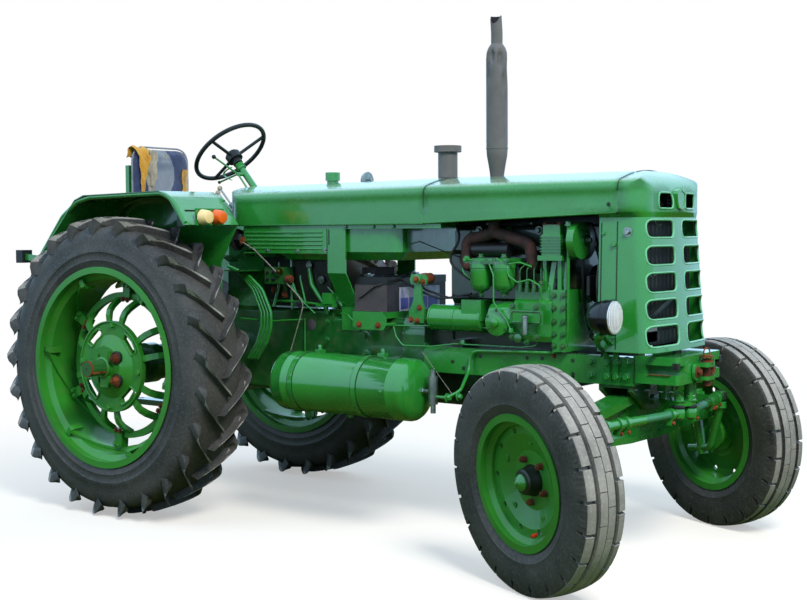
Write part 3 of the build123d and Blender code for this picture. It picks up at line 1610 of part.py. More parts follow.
# ---------------------------------------------------------------- fuel tank and its supports
hoop_half_width = cover_half_width - 12
hoop_steel = 8
hoop_rear = fore(1012)
hoop_width = 112
rail_z = cover_low - 20
with BuildPart() as tank_supports:
    for side_name, side in sides:
        with BuildSketch(Plane.YZ.offset(hoop_rear)):
            with BuildLine():
                Polyline(
                    (side * hoop_half_width, rail_z),
                    (side * hoop_half_width, 1236),
                    (side * 182, 1066),
                    (side * 182, clutch_housing_top),
                    (side * (182 - hoop_steel), clutch_housing_top),
                    (side * (182 - hoop_steel), 1069),
                    (side * (hoop_half_width - hoop_steel), 1239),
                    (side * (hoop_half_width - hoop_steel), rail_z),
                    close=True,
                )
            make_face()
        extrude(amount=hoop_width)
        # foot bolted to the housing's side
        with BuildSketch(Plane.YZ.offset(hoop_rear)):
            with Locations((side * (housing_half_width + 5), 985)):
                Rectangle(10, 70)
            with Locations((side * (housing_half_width + 5), 1030)):
                Rectangle(10, 60)
        extrude(amount=hoop_width)
        # the rail that the covers stand on
        with BuildSketch(Plane.YZ.offset(fore(452))):
            with Locations((side * (cover_half_width - lip), cover_low - 10)):
                Rectangle(20, 20)
        extrude(amount=fore(1690) - fore(452))
tank_supports.part.label = "tank_supports"
export_step(tank_supports.part, "parts/tank_supports.step")

with BuildPart() as fuel_tank:
    with BuildSketch(Plane.XY.offset(1300)):
        with Locations((fore(1040), 0)):
            RectangleRounded(800, 2 * (cover_half_width - lip - 10 - fit_gap), 60)
    extrude(amount=330)
    chamfer(fuel_tank.faces().sort_by(Axis.Z)[0].edges(), 40)
    # neck and cap
    with BuildSketch(Plane.XY.offset(1630)):
        with Locations((filler_x, 0)):
            Circle(stem_radius - 1)
    extrude(amount=70)
    with BuildSketch(Plane.XY.offset(1700)):
        with Locations((filler_x, 0)):
            Circle(38)
    extrude(amount=42)
fuel_tank.part.label = "fuel_tank"
export_step(fuel_tank.part, "parts/fuel_tank.step")

with BuildPart() as side_panels:
    for side_name, side in sides:
        with BuildSketch(Plane.XZ.offset(-side * (cover_half_width - lip + 10))):
            with BuildLine():
                Polyline(
                    (fore(452), rail_z),
                    (fore(1006), rail_z),
                    (fore(1006), 1330),
                    (fore(566), 1330),
                    (fore(500), 1372),
                    (fore(452), 1400),
                    close=True,
                )
            make_face()
        extrude(amount=side * 5)
side_panels.part.label = "side_panels"
export_step(side_panels.part, "parts/side_panels.step")

# ---------------------------------------------------------------- battery
battery_rear = fore(1130)
battery_depth = 195
battery_right = -222
battery_left = 272
with BuildPart() as battery_tray:
    with BuildSketch(Plane.XY.offset(clutch_housing_top)):
        with Locations((battery_rear + battery_depth / 2, (battery_left + battery_right) / 2)):
            Rectangle(battery_depth + 10, battery_left - battery_right + 10)
    extrude(amount=30)
    with BuildSketch(Plane.XY.offset(clutch_housing_top + 6)):
        with Locations((battery_rear + battery_depth / 2, (battery_left + battery_right) / 2)):
            Rectangle(battery_depth + 2, battery_left - battery_right + 2)
    extrude(amount=24, mode=Mode.SUBTRACT)
battery_tray.part.label = "battery_tray"
export_step(battery_tray.part, "parts/battery_tray.step")

with BuildPart() as battery:
    with BuildSketch(Plane.XY.offset(clutch_housing_top + 6)):
        with Locations((battery_rear + battery_depth / 2, (battery_left + battery_right) / 2)):
            Rectangle(battery_depth, battery_left - battery_right)
    extrude(amount=190)
battery.part.label = "battery"
export_step(battery.part, "parts/battery.step")

# ---------------------------------------------------------------- compressed air
air_tank_radius = 146
air_tank_y = -400
air_tank_z = 712
air_tank_rear = fore(808)
air_tank_front = fore(1672)
dome = 62                        # depth of the domed ends
dome_sphere = (air_tank_radius**2 + dome**2) / (2 * dome)
dome_half_angle = asin(air_tank_radius / dome_sphere) / 2
dome_mid_depth = dome_sphere * (1 - cos(dome_half_angle))
dome_mid_radius = dome_sphere * sin(dome_half_angle)
with BuildPart() as air_tank:
    with BuildSketch(Plane.XZ.offset(-air_tank_y)):
        with BuildLine():
            Polyline(
                (air_tank_rear, air_tank_z),
                (air_tank_front, air_tank_z),
            )
            ThreePointArc(
                (air_tank_front, air_tank_z),
                (air_tank_front - dome_mid_depth, air_tank_z + dome_mid_radius),
                (air_tank_front - dome, air_tank_z + air_tank_radius),
            )
            Line(
                (air_tank_front - dome, air_tank_z + air_tank_radius),
                (air_tank_rear + dome, air_tank_z + air_tank_radius),
            )
            ThreePointArc(
                (air_tank_rear + dome, air_tank_z + air_tank_radius),
                (air_tank_rear + dome_mid_depth, air_tank_z + dome_mid_radius),
                (air_tank_rear, air_tank_z),
            )
        make_face()
    revolve(axis=Axis((air_tank_rear, air_tank_y, air_tank_z), (1, 0, 0)))
air_tank.part.label = "air_tank"
export_step(air_tank.part, "parts/air_tank.step")

strap_steel = 3
strap_width = 22
with BuildPart() as air_tank_straps:
    for strap_x in (fore(925), fore(1332)):
        with BuildSketch(Plane.YZ.offset(strap_x)):
            with Locations((air_tank_y, air_tank_z)):
                Circle(air_tank_radius + fit_gap + strap_steel)
                Circle(air_tank_radius + fit_gap, mode=Mode.SUBTRACT)
        extrude(amount=strap_width)
        # bracket on the housing's side
        with BuildSketch(Plane.YZ.offset(strap_x - 14)):
            with BuildLine():
                Polyline(
                    (-housing_half_width - 3, air_tank_z + 150),
                    (-housing_half_width - 3, air_tank_z - 70),
                    (air_tank_y + air_tank_radius + 6, air_tank_z - 70),
                    (air_tank_y + air_tank_radius + 6, air_tank_z - 10),
                    (air_tank_y + air_tank_radius + 2, air_tank_z),
                    (air_tank_y + air_tank_radius + 6, air_tank_z + 30),
                    (air_tank_y + air_tank_radius - 20, air_tank_z + 106),
                    (air_tank_y + air_tank_radius - 40, air_tank_z + 120),
                    (air_tank_y + air_tank_radius - 40, air_tank_z + 150),
                    close=True,
                )
            make_face()
        extrude(amount=50)
        with BuildSketch(Plane.YZ.offset(strap_x - 14)):
            with Locations((air_tank_y, air_tank_z)):
                Circle(air_tank_radius + fit_gap)
        extrude(amount=50, mode=Mode.SUBTRACT)
air_tank_straps.part.label = "air_tank_straps"
export_step(air_tank_straps.part, "parts/air_tank_straps.step")

regulator_x = fore(1722)
with BuildPart() as air_regulator:
    with BuildSketch(Plane.XY.offset(655)):
        with Locations((regulator_x, air_tank_y)):
            Circle(22)
    extrude(amount=128)
    with BuildSketch(Plane.XY.offset(783)):
        with Locations((regulator_x, air_tank_y)):
            Circle(13)
    extrude(amount=30)
    with BuildSketch(Plane.XY.offset(614)):
        with Locations((regulator_x, air_tank_y)):
            Circle(12)
    extrude(amount=41)
    with BuildSketch(Plane.YZ.offset(air_tank_front)):
        with Locations((air_tank_y, air_tank_z)):
            Circle(10)
    extrude(amount=regulator_x - air_tank_front)
air_regulator.part.label = "air_regulator"
export_step(air_regulator.part, "parts/air_regulator.step")

# ---------------------------------------------------------------- exhaust stack and pre-cleaner
with BuildPart() as exhaust_stack:
    with BuildSketch(Plane.XZ):
        with BuildLine():
            Polyline(
                (stack_x, stack_foot),
                (stack_x + 29, stack_foot),
                (stack_x + 29, 1660),
                (stack_x + 40, 1690),
                (stack_x + 40, 1712),
                (stack_x + 57, 1790),
                (stack_x + 57, 2230),
                (stack_x + 31, 2280),
                (stack_x + 31, 2440),
                (stack_x, 2440),
                close=True,
            )
        make_face()
    revolve(axis=Axis((stack_x, 0, 0), (0, 0, 1)))
    # mouth cut on a slant
    with BuildSketch(Plane.XY.offset(2380)):
        with Locations((stack_x, 0)):
            Circle(27)
    extrude(amount=90, mode=Mode.SUBTRACT)
exhaust_stack.part.label = "exhaust_stack"
export_step(exhaust_stack.part, "parts/exhaust_stack.step")

precleaner_seat = 1694
with BuildPart() as air_precleaner:
    with BuildSketch(Plane.XY.offset(1600)):
        with Locations((precleaner_x, 0)):
            Circle(stem_radius)
    extrude(amount=precleaner_seat - 1600)
    with BuildSketch(Plane.XY.offset(precleaner_seat)):
        with Locations((precleaner_x, 0)):
            Circle(47)
    extrude(amount=124)
    with BuildSketch(Plane.XY.offset(precleaner_seat + 124)):
        with Locations((precleaner_x, 0)):
            Circle(66)
    extrude(amount=30)
air_precleaner.part.label = "air_precleaner"
export_step(air_precleaner.part, "parts/air_precleaner.step")

# ---------------------------------------------------------------- headlamp
headlamp_x = fore_of_front(60)
headlamp_y = -cover_half_width - 130
headlamp_z = 1082
headlamp_radius = 75
with BuildPart() as headlamp:
    with BuildSketch(Plane.XY.offset(headlamp_z)):
        with BuildLine():
            Line((headlamp_x - 66, headlamp_y), (headlamp_x + 62, headlamp_y))
            Line(
                (headlamp_x + 62, headlamp_y),
                (headlamp_x + 52, headlamp_y - headlamp_radius),
            )
            Line(
                (headlamp_x + 52, headlamp_y - headlamp_radius),
                (headlamp_x + 18, headlamp_y - headlamp_radius),
            )
            ThreePointArc(
                (headlamp_x + 18, headlamp_y - headlamp_radius),
                (headlamp_x - 40, headlamp_y - 50),
                (headlamp_x - 66, headlamp_y),
            )
        make_face()
    revolve(axis=Axis((headlamp_x, headlamp_y, headlamp_z), (1, 0, 0)))
    # bracket down to the frame rail
    with BuildSketch(Plane.YZ.offset(headlamp_x - 22)):
        with BuildLine():
            Polyline(
                (-rail_half_width - fit_gap, 800),
                (-rail_half_width - 9, 800),
                (-rail_half_width - 9, 898),
                (headlamp_y + 90, 916),
                (headlamp_y - 4, 985),
                (headlamp_y - 4, 1030),
                (headlamp_y + 10, 1030),
                (headlamp_y + 10, 993),
                (headlamp_y + 96, 928),
                (-rail_half_width - fit_gap, 910),
                close=True,
            )
        make_face()
    extrude(amount=44)
headlamp.part.label = "headlamp"
export_step(headlamp.part, "parts/headlamp.step")
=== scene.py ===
"""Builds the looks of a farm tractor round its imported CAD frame.

Sizes are in metres, apart from the tables that mm() reads. +X is forward, +Y is to the
tractor's left and +Z is up, as in the frame.
"""

import json

import bpy
import numpy as np
from mathutils import Matrix, Vector


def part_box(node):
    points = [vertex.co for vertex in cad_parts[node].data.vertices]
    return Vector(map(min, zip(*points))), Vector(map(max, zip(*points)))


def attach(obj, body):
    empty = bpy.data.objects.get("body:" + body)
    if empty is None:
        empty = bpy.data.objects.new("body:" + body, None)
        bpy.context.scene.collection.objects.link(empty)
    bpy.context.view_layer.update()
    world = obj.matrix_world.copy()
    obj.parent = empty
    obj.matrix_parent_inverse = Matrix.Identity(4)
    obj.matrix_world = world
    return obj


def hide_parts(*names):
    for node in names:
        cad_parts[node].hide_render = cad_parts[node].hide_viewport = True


bl_info = {
    "name": "Farm tractor",
    "version": (1, 0, 0),
    "blender": (4, 5, 0),
    "location": "View3D > Sidebar > Tractor",
    "description": "Tyres, sheet metal, engine fittings, seat and stage for a farm tractor",
    "category": "Object",
}

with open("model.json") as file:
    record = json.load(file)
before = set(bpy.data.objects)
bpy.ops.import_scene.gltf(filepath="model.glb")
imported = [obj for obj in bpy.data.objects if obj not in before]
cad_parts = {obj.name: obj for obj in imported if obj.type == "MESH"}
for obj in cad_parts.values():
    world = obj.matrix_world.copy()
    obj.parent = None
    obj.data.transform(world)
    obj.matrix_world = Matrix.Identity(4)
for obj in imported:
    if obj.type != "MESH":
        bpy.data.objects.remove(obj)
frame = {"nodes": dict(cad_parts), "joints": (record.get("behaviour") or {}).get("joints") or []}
nodes = frame["nodes"]
joints = {joint["name"]: joint for joint in frame["joints"]}
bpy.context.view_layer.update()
rear_axle = joints["right_rear_wheel_spin"]["pos_m"][0]
sides = (("right", -1), ("left", 1))
UP = np.array((0.0, 0.0, 1.0))
FORWARD = np.array((1.0, 0.0, 0.0))
LEFT = np.array((0.0, 1.0, 0.0))


def fore(distance):
    """The x of a place that lies this far ahead of the rear axle."""
    return rear_axle + distance


def spot(distance, across, height):
    """A place given by its distance ahead of the rear axle, its y and its height."""
    return np.array((fore(distance), across, height))


def mm(*rows):
    """Rows of numbers given in millimetres, as an array in metres."""
    return np.array(rows) / 1000


front_axle = fore(2.54)

# ---------------------------------------------------------------- shapes


def unit(vectors):
    """Vectors divided by their lengths, row by row."""
    vectors = np.asarray(vectors, float)
    return vectors / np.maximum(np.linalg.norm(vectors, axis=-1, keepdims=True), 1e-12)


def frame_of(axis, hint=UP):
    """Three unit vectors, the last along axis and the first as near hint as it can be."""
    axis = unit(axis)
    hint = np.asarray(hint, float)
    if abs(axis @ hint) > 0.97 * np.linalg.norm(hint):
        hint = FORWARD if abs(axis @ FORWARD) < 0.9 else LEFT
    first = unit(hint - (hint @ axis) * axis)
    return first, np.cross(axis, first), axis


def grid_faces(rows, columns, close_rows=False, close_columns=True, flip=False):
    """Quads of a rows by columns grid of points, wrapped round where a direction closes."""
    row = np.arange(rows if close_rows else rows - 1)
    column = np.arange(columns if close_columns else columns - 1)
    i, j = np.meshgrid(row, column, indexing="ij")
    here = i * columns + j
    right = i * columns + (j + 1) % columns
    below = (i + 1) % rows * columns + j
    across = (i + 1) % rows * columns + (j + 1) % columns
    quads = np.stack((here, right, across, below), -1).reshape(-1, 4)
    return quads[:, ::-1] if flip else quads


class Shell:
    """Points and faces gathered from many surfaces, which become one mesh object."""

    def __init__(self):
        self.points, self.corners, self.sizes, self.marks, self.count = [], [], [], [], 0

    def add(self, points, *groups, mark=0):
        """Adds one surface. Each group holds faces of one size; mark is the material's number."""
        points = np.asarray(points, float).reshape(-1, 3)
        self.points.append(points)
        for group in groups:
            self.add_faces(np.atleast_2d(group) + self.count, mark)
        self.count += len(points)
        return self

    def add_faces(self, group, mark=0):
        """Adds faces of one size, by the numbers of points that are there already."""
        self.corners.append(group.ravel())
        self.sizes.append(np.full(len(group), group.shape[1]))
        self.marks.append(np.full(len(group), mark))

    def make(self, name, materials, body, replaces=(), crease=32):
        """One object from everything added, smooth but for edges sharper than crease degrees."""
        points, sizes = np.concatenate(self.points), np.concatenate(self.sizes)
        corners = np.concatenate(self.corners)
        mesh = bpy.data.meshes.new(name)
        mesh.vertices.add(len(points))
        mesh.loops.add(len(corners))
        mesh.polygons.add(len(sizes))
        mesh.vertices.foreach_set("co", points.astype(np.float32).ravel())
        mesh.loops.foreach_set("vertex_index", corners.astype(np.int32))
        mesh.polygons.foreach_set("loop_start", (np.cumsum(sizes) - sizes).astype(np.int32))
        for material in materials:
            mesh.materials.append(material)
        mesh.polygons.foreach_set("material_index", np.concatenate(self.marks).astype(np.int32))
        mesh.polygons.foreach_set("use_smooth", np.ones(len(sizes), bool))
        mesh.update(calc_edges=True)
        mesh.set_sharp_from_angle(angle=np.radians(crease))
        piece = bpy.data.objects.new(name, mesh)
        bpy.context.scene.collection.objects.link(piece)
        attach(piece, body)
        if replaces:
            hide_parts(*replaces)
        return piece


def circles(profile, centre, axis, steps):
    """One circle of points round the axis for each (radius, height) of a profile."""
    first, second, along = frame_of(axis)
    angle = np.arange(steps) * 2 * np.pi / steps
    ring = np.cos(angle)[:, None] * first + np.sin(angle)[:, None] * second
    return np.asarray(centre, float) + profile[:, None, 0:1] * ring + profile[:, None, 1:2] * along


def turned(shell, profile, centre, axis, steps=32, mark=0):
    """A turned shape: each (radius, height) of the profile is carried round the axis in a circle.

    The profile runs from one end of the axis to the other, and its ends are closed with discs."""
    profile = np.asarray(profile, float)
    points = circles(profile, centre, axis, steps)
    rising = profile[-1, 1] >= profile[0, 1]
    low = np.arange(steps)[:: -1 if rising else 1]
    high = (len(profile) - 1) * steps + np.arange(steps)[:: 1 if rising else -1]
    sheet = grid_faces(len(profile), steps, flip=not rising)
    return shell.add(points, sheet, low, high, mark=mark)


def ring_of(shell, profile, centre, axis, steps=96, mark=0):
    """A ring: a closed (radius, height) outline, given anticlockwise, carried round the axis."""
    profile = np.asarray(profile, float)
    points = circles(profile, centre, axis, steps)
    return shell.add(points, grid_faces(len(profile), steps, close_rows=True), mark=mark)


def rounded(corners, radius, steps=5):
    """A path through the corners whose bends are arcs of the given radius, shortened to fit."""
    corners = np.asarray(corners, float)
    path = [corners[0]]
    for before, corner, after in zip(corners[:-2], corners[1:-1], corners[2:]):
        back, ahead = unit(before - corner), unit(after - corner)
        half = np.arccos(np.clip(back @ ahead, -1, 1)) / 2
        if half > np.radians(88):
            path.append(corner)
            continue
        room = 0.48 * min(np.linalg.norm(before - corner), np.linalg.norm(after - corner))
        reach = min(radius / np.tan(half), room)
        start, end = corner + back * reach, corner + ahead * reach
        share = np.linspace(0, 1, steps + 1)[:, None]
        path.extend((1 - share) ** 2 * start + 2 * share * (1 - share) * corner + share**2 * end)
    path.append(corners[-1])
    return np.array(path)


def swept(shell, path, outline, mark=0, up=None, closed=False):
    """An outline carried along a path. Each section is square to the path's mean direction there.

    outline holds (across, upward) offsets, anticlockwise seen from the path's end. up keeps the
    section level; without it the section turns as little as it can from one point to the next."""
    path, outline = np.asarray(path, float), np.asarray(outline, float)
    if closed:
        run = np.roll(path, -1, 0) - np.roll(path, 1, 0)
    else:
        run = np.gradient(path, axis=0)
    run = unit(run)
    if up is None:
        normals = [frame_of(run[0])[0]]
        for direction in run[1:]:
            last = normals[-1]
            normals.append(unit(last - (last @ direction) * direction))
        normals = np.array(normals)
    else:
        level = np.broadcast_to(np.asarray(up, float), run.shape)
        normals = unit(level - np.sum(level * run, 1, keepdims=True) * run)
    across = np.cross(run, normals)
    points = (
        path[:, None]
        - outline[None, :, 0:1] * across[:, None]
        + outline[None, :, 1:2] * normals[:, None]
    )
    count = len(outline)
    ends = [] if closed else [
        np.arange(count)[::-1],
        (len(path) - 1) * count + np.arange(count),
    ]
    return shell.add(points, grid_faces(len(path), count, close_rows=closed), *ends, mark=mark)


def disc_outline(radius, sides=10):
    """Points of a circle, anticlockwise."""
    angle = np.arange(sides) * 2 * np.pi / sides
    return np.stack((np.cos(angle), np.sin(angle)), 1) * radius


def bar_outline(width, height):
    """Corners of a rectangle, anticlockwise from its lower left one."""
    return np.array(((-1, -1), (1, -1), (1, 1), (-1, 1))) * (width / 2, height / 2)


def pipe(shell, corners, radius, bend=0.03, mark=0, sides=10):
    """A round pipe through the corners, with bends of the given radius."""
    return swept(shell, rounded(corners, bend), disc_outline(radius, sides), mark)


def plate(shell, outline, origin, across, upward, thickness, mark=0):
    """A flat plate: an outline of (across, upward) points, thickened towards their cross product."""
    outline = np.asarray(outline, float)
    across, upward = np.asarray(across, float), np.asarray(upward, float)
    through = unit(np.cross(across, upward)) * thickness
    near = np.asarray(origin, float) + outline[:, 0:1] * across + outline[:, 1:2] * upward
    count = len(outline)
    turn = np.roll(outline, -1, 0)
    step = -1 if np.sum(outline[:, 0] * turn[:, 1] - turn[:, 0] * outline[:, 1]) < 0 else 1
    here = np.arange(count)
    after = (here + 1) % count
    walls = np.stack((here, after, count + after, count + here), 1)[:, ::step]
    points = np.concatenate((near, near + through))
    return shell.add(points, here[::-step], (count + here)[::step], walls, mark=mark)


def block(shell, low, high, mark=0):
    """A box between two corners."""
    low, high = np.minimum(low, high), np.maximum(low, high)
    size = high - low
    outline = ((0, 0), (size[0], 0), (size[0], size[1]), (0, size[1]))
    return plate(shell, outline, low, FORWARD, LEFT, size[2], mark)


def bolt_head(shell, place, axis, size=0.017, height=None, mark=0, washer=True):
    """A hexagon head with a chamfered top, on a washer. size is across its flats."""
    height = height or 0.62 * size
    first, second, along = frame_of(axis)
    place = np.asarray(place, float)
    if washer:
        thin = 0.12 * size
        turned(shell, ((0.95 * size, -0.001), (0.95 * size, thin)), place, axis, 14, mark)
        place = place + along * thin
    corner = size / np.sqrt(3)
    # heads stand at other angles at other places, as spanners leave them
    angle = np.arange(6) * np.pi / 3 + np.abs(place[0] * 40) % 1
    ring = np.cos(angle)[:, None] * first + np.sin(angle)[:, None] * second
    levels = ((corner, 0), (corner, 0.82 * height), (0.84 * corner, height))
    points = np.concatenate([place + radius * ring + rise * along for radius, rise in levels])
    side = np.arange(6)
    return shell.add(points, grid_faces(3, 6), side[::-1], 12 + side, mark=mark)


def bolts(shell, way, size, mark, *places, height=None):
    """Bolt heads of one size, all facing one way, at (distance, y, height) places."""
    for place in places:
        bolt_head(shell, spot(*place), way, size, height, mark)


def discs(shell, profile, way, steps, mark, *places):
    """Copies of one turned shape at (distance, y, height) places."""
    for place in places:
        turned(shell, profile, spot(*place), way, steps, mark)


def slab(shell, mark, low, high):
    """A box between two (distance, y, height) corners."""
    block(shell, spot(*low), spot(*high), mark)


def bar(shell, outline, mark, start, end, up=None):
    """An outline carried along the line between two (distance, y, height) places."""
    swept(shell, (spot(*start), spot(*end)), outline, mark, up=up)


# ---------------------------------------------------------------- finishes


def colour(hex_value):
    """A linear colour, fully opaque, from an sRGB hex value such as 2a7a34."""
    parts = np.array([int(hex_value[i : i + 2], 16) for i in (0, 2, 4)]) / 255
    linear = np.where(parts <= 0.04045, parts / 12.92, ((parts + 0.055) / 1.055) ** 2.4)
    return (*linear.tolist(), 1.0)


def feed(socket, value):
    """Links a socket to another node's output, or gives it a value of its own."""
    if isinstance(value, bpy.types.NodeSocket):
        socket.id_data.links.new(value, socket)
    else:
        socket.default_value = value


def node(tree, kind, links=None, **settings):
    """Adds a node with its settings. links joins its sockets to other nodes' or gives values."""
    made = tree.nodes.new("ShaderNode" + kind)
    for name, value in settings.items():
        setattr(made, name, value)
    for socket, value in (links or {}).items():
        feed(made.inputs[socket], value)
    return made


def ramp(tree, factor, *stops):
    """A colour ramp through (position, colour) stops."""
    made = node(tree, "ValToRGB", {"Fac": factor})
    elements = made.color_ramp.elements
    while len(elements) < len(stops):
        elements.new(0.5)
    for element, (position, value) in zip(elements, stops):
        element.position = position
        element.color = value
    return made.outputs["Color"]


def grey(level):
    """A grey of that level for a mask ramp."""
    return (level, level, level, 1)


def noise(tree, size, detail=3.0, roughness=0.55):
    """Noise whose blotches are about size metres across."""
    place = node(tree, "TexCoord").outputs["Object"]
    links = {"Vector": place, "Scale": 0.5 / size, "Detail": detail, "Roughness": roughness}
    return node(tree, "TexNoise", links).outputs["Fac"]


def mask(tree, factor, low, high, first=0.0, last=1.0):
    """A grey that goes from one level to another while the factor rises from low to high."""
    return ramp(tree, factor, (low, grey(first)), (high, grey(last)))


def mixed(tree, factor, first, second, blend="MIX"):
    """Two colours mixed by a factor."""
    links = {0: factor, 6: first, 7: second}
    return node(tree, "Mix", links, data_type="RGBA", blend_type=blend).outputs[2]


def new_finish(name):
    """An empty material with its shader and output, and the tree they sit in."""
    material = bpy.data.materials.new(name)
    material.use_nodes = True
    tree = material.node_tree
    return material, tree, tree.nodes["Principled BSDF"]


def relief(tree, height, distance, strength=0.5, fold=None):
    """A bump from a height, distance metres deep, over creases rounded to the fold's radius."""
    links = {"Height": height, "Distance": distance, "Strength": strength}
    if fold is not None:
        links["Normal"] = node(tree, "Bevel", {"Radius": fold}, samples=8).outputs["Normal"]
    return node(tree, "Bump", links).outputs["Normal"]


def set_values(shader, **values):
    """Sets or links a shader's own sockets, whose names are given with _ for a space."""
    for name, value in values.items():
        feed(shader.inputs[name.replace("_", " ")], value)


def edge_wear(tree, width):
    """A mask near convex and concave edges: how far the rounded normal leaves the flat one."""
    round_off = node(tree, "Bevel", {"Radius": width}, samples=4).outputs["Normal"]
    flat = node(tree, "NewGeometry").outputs["Normal"]
    links = {0: round_off, 1: flat}
    return node(tree, "VectorMath", links, operation="DOT_PRODUCT").outputs["Value"]


# heights between which the covers' brow bends over from side to top
BROW = (1.508, 1.53)


def painted_steel(name, body, shade, sun, chips=0.5, gloss=0.3, dirt=0.35, coat=1.0, fold=0.0):
    """Enamel on steel or iron: a brushed-on coat with runs, sun-faded and dusty patches, and
    chips at the edges that show brown rust. Enamel is a dielectric, glossy under a thin dust.

    With a fold, the sheet is painted paler, near white, where it faces up, as a painted reflection
    of the bright sky, and its creases above the brow are rounded to the fold's radius."""
    material, tree, shader = new_finish(name)
    broad = noise(tree, 0.35, 3)
    fine = noise(tree, 0.03, 5, 0.65)
    paint = mixed(tree, mask(tree, broad, 0.32, 0.68), colour(body), colour(shade))
    faded = mask(tree, noise(tree, 0.2, 3), 0.52, 0.8, last=0.4)
    paint = mixed(tree, faded, paint, colour(sun))
    dust = mask(tree, fine, 0.5, 0.78, last=dirt)
    paint = mixed(tree, dust, paint, colour("6d6a4c"))
    radius = None
    if fold:
        normal = node(tree, "NewGeometry").outputs["Normal"]
        upward = node(tree, "SeparateXYZ", {0: normal}).outputs["Z"]
        # painted reflection: faces that look up are painted near white, standing for the bright sky mirrored
        # in them
        paint = mixed(tree, mask(tree, upward, 0.6, 0.95, last=0.3), paint, colour("d9ece4"))
        place = node(tree, "TexCoord").outputs["Object"]
        height = node(tree, "SeparateXYZ", {0: place}).outputs["Z"]
        links = {0: height, 1: BROW[0], 2: BROW[1], 3: 0.003, 4: fold}
        radius = node(tree, "MapRange", links).outputs[0]
    edge = mask(tree, edge_wear(tree, 0.004), 0.80, 0.96, 1, 0)
    broken = mask(tree, noise(tree, 0.018, 6, 0.7), 0.56 - 0.1 * chips, 0.66, last=chips)
    speck = mask(tree, noise(tree, 0.012, 2), 0.76, 0.79, last=0.8 * chips)
    chip = mixed(tree, 1.0, mixed(tree, 1.0, edge, broken, "MULTIPLY"), speck, "LIGHTEN")
    rust = mixed(tree, fine, colour("3a1d10"), colour("7a4424"))
    rough = mask(tree, fine, 0.3, 0.75, gloss, gloss + 0.22)
    normal = relief(tree, mixed(tree, 0.35, noise(tree, 0.05, 2), chip), 0.001, 0.18, radius)
    set_values(shader, Base_Color=mixed(tree, chip, paint, rust), Normal=normal, IOR=1.5,
               Roughness=mixed(tree, chip, rough, grey(0.85)), Coat_Normal=normal, Coat_Weight=coat,
               Coat_Roughness=0.07)
    return material


def worn_rubber(name, dark, pale, dust):
    """Weathered tyre rubber: carbon-black rubber gone grey, smoother where the ground polishes it,
    with dried mud dust in its pores."""
    material, tree, shader = new_finish(name)
    broad = mask(tree, noise(tree, 0.16, 4, 0.6), 0.36, 0.66)
    base = mixed(tree, broad, colour(dark), colour(pale))
    speckle = mask(tree, noise(tree, 0.006, 4, 0.7), 0.5, 0.72, last=0.6)
    fine = noise(tree, 0.004, 3, 0.6)
    set_values(shader, Base_Color=mixed(tree, speckle, base, colour(dust)), Normal=relief(tree, fine, 0.0008),
               Roughness=mask(tree, fine, 0.3, 0.7, 0.5, 0.75), IOR=1.52, Specular_IOR_Level=0.5)
    return material


def plain_metal(name, body, tarnish, rough=0.4, grain=0.01, bump=0.0006, spots=None):
    """Bare metal under a thin tarnish: cast or turned, with stains where oil or water sat."""
    material, tree, shader = new_finish(name)
    stain = mask(tree, noise(tree, grain * 4, 4, 0.65), 0.38, 0.66)
    base = mixed(tree, stain, colour(body), colour(tarnish))
    if spots:
        base = mixed(tree, mask(tree, noise(tree, grain, 3, 0.6), 0.58, 0.68, last=0.9), base, colour(spots))
    fine = noise(tree, grain, 4, 0.6)
    set_values(shader, Base_Color=base, Normal=relief(tree, fine, bump, 0.4), Metallic=1.0,
               Roughness=mask(tree, fine, 0.3, 0.72, rough - 0.1, rough + 0.18))
    return material


def rusted_iron(name, dark, warm):
    """Iron that heat and weather have rusted: a dry, matt brown crust, not metallic any more."""
    material, tree, shader = new_finish(name)
    grain = 0.012
    crust = mask(tree, noise(tree, grain * 3, 5, 0.7), 0.34, 0.68)
    set_values(shader, Base_Color=mixed(tree, crust, colour(dark), colour(warm)), Roughness=0.82, IOR=1.5,
               Normal=relief(tree, noise(tree, grain, 5, 0.7), 0.0015, 0.6))
    return material


def smooth_coat(name, body, shade, rough=0.4, patch=0.05, bump=0.0004):
    """A plain coat or moulded plastic, slightly uneven in colour, with a fine moulded grain."""
    material, tree, shader = new_finish(name)
    blotch = mask(tree, noise(tree, patch, 4, 0.6), 0.34, 0.7)
    fine = noise(tree, 0.004, 3)
    set_values(shader, Base_Color=mixed(tree, blotch, colour(body), colour(shade)), IOR=1.47,
               Roughness=mask(tree, fine, 0.3, 0.7, rough, min(rough + 0.15, 1)),
               Normal=relief(tree, fine, bump, 0.4))
    return material


def lens(name, tint, rough=0.08, through=0.55):
    """A lamp's cover: clear or tinted glass or acrylic over a bright reflector."""
    material, tree, shader = new_finish(name)
    haze = mask(tree, noise(tree, 0.02, 4), 0.4, 0.75, rough, rough + 0.15)
    set_values(shader, Base_Color=colour(tint), Roughness=haze, IOR=1.49, Transmission_Weight=through)
    return material


def woven_cloth(name, body, shade, thread=0.004):
    """Woven cloth: two thread directions over and under each other, faded and stained unevenly, with painted
    shade where the weave dips between threads.

    The threads are drawn coarser than real ones so that they show."""
    material, tree, shader = new_finish(name)
    links = {"Vector": node(tree, "TexCoord").outputs["Object"], "Scale": 0.314 / thread,
             "Distortion": 0.6, "Detail": 1.0}
    bands = [node(tree, "TexWave", links, bands_direction=axis).outputs["Fac"] for axis in ("X", "Z")]
    weave = mixed(tree, 0.5, *bands)
    fade = mask(tree, noise(tree, 0.05, 5, 0.65), 0.36, 0.66)
    base = mixed(tree, fade, colour(body), colour(shade))
    # painted shade: the colour darkens towards near black where the weave is low, between the threads
    toned = mixed(tree, mask(tree, weave, 0.2, 0.8, 0.28, 0), base, colour("17171b"))
    set_values(shader, Base_Color=toned, Normal=relief(tree, weave, 0.0008), Roughness=0.9,
               Sheen_Weight=0.5, Sheen_Roughness=0.5, IOR=1.45)
    return material


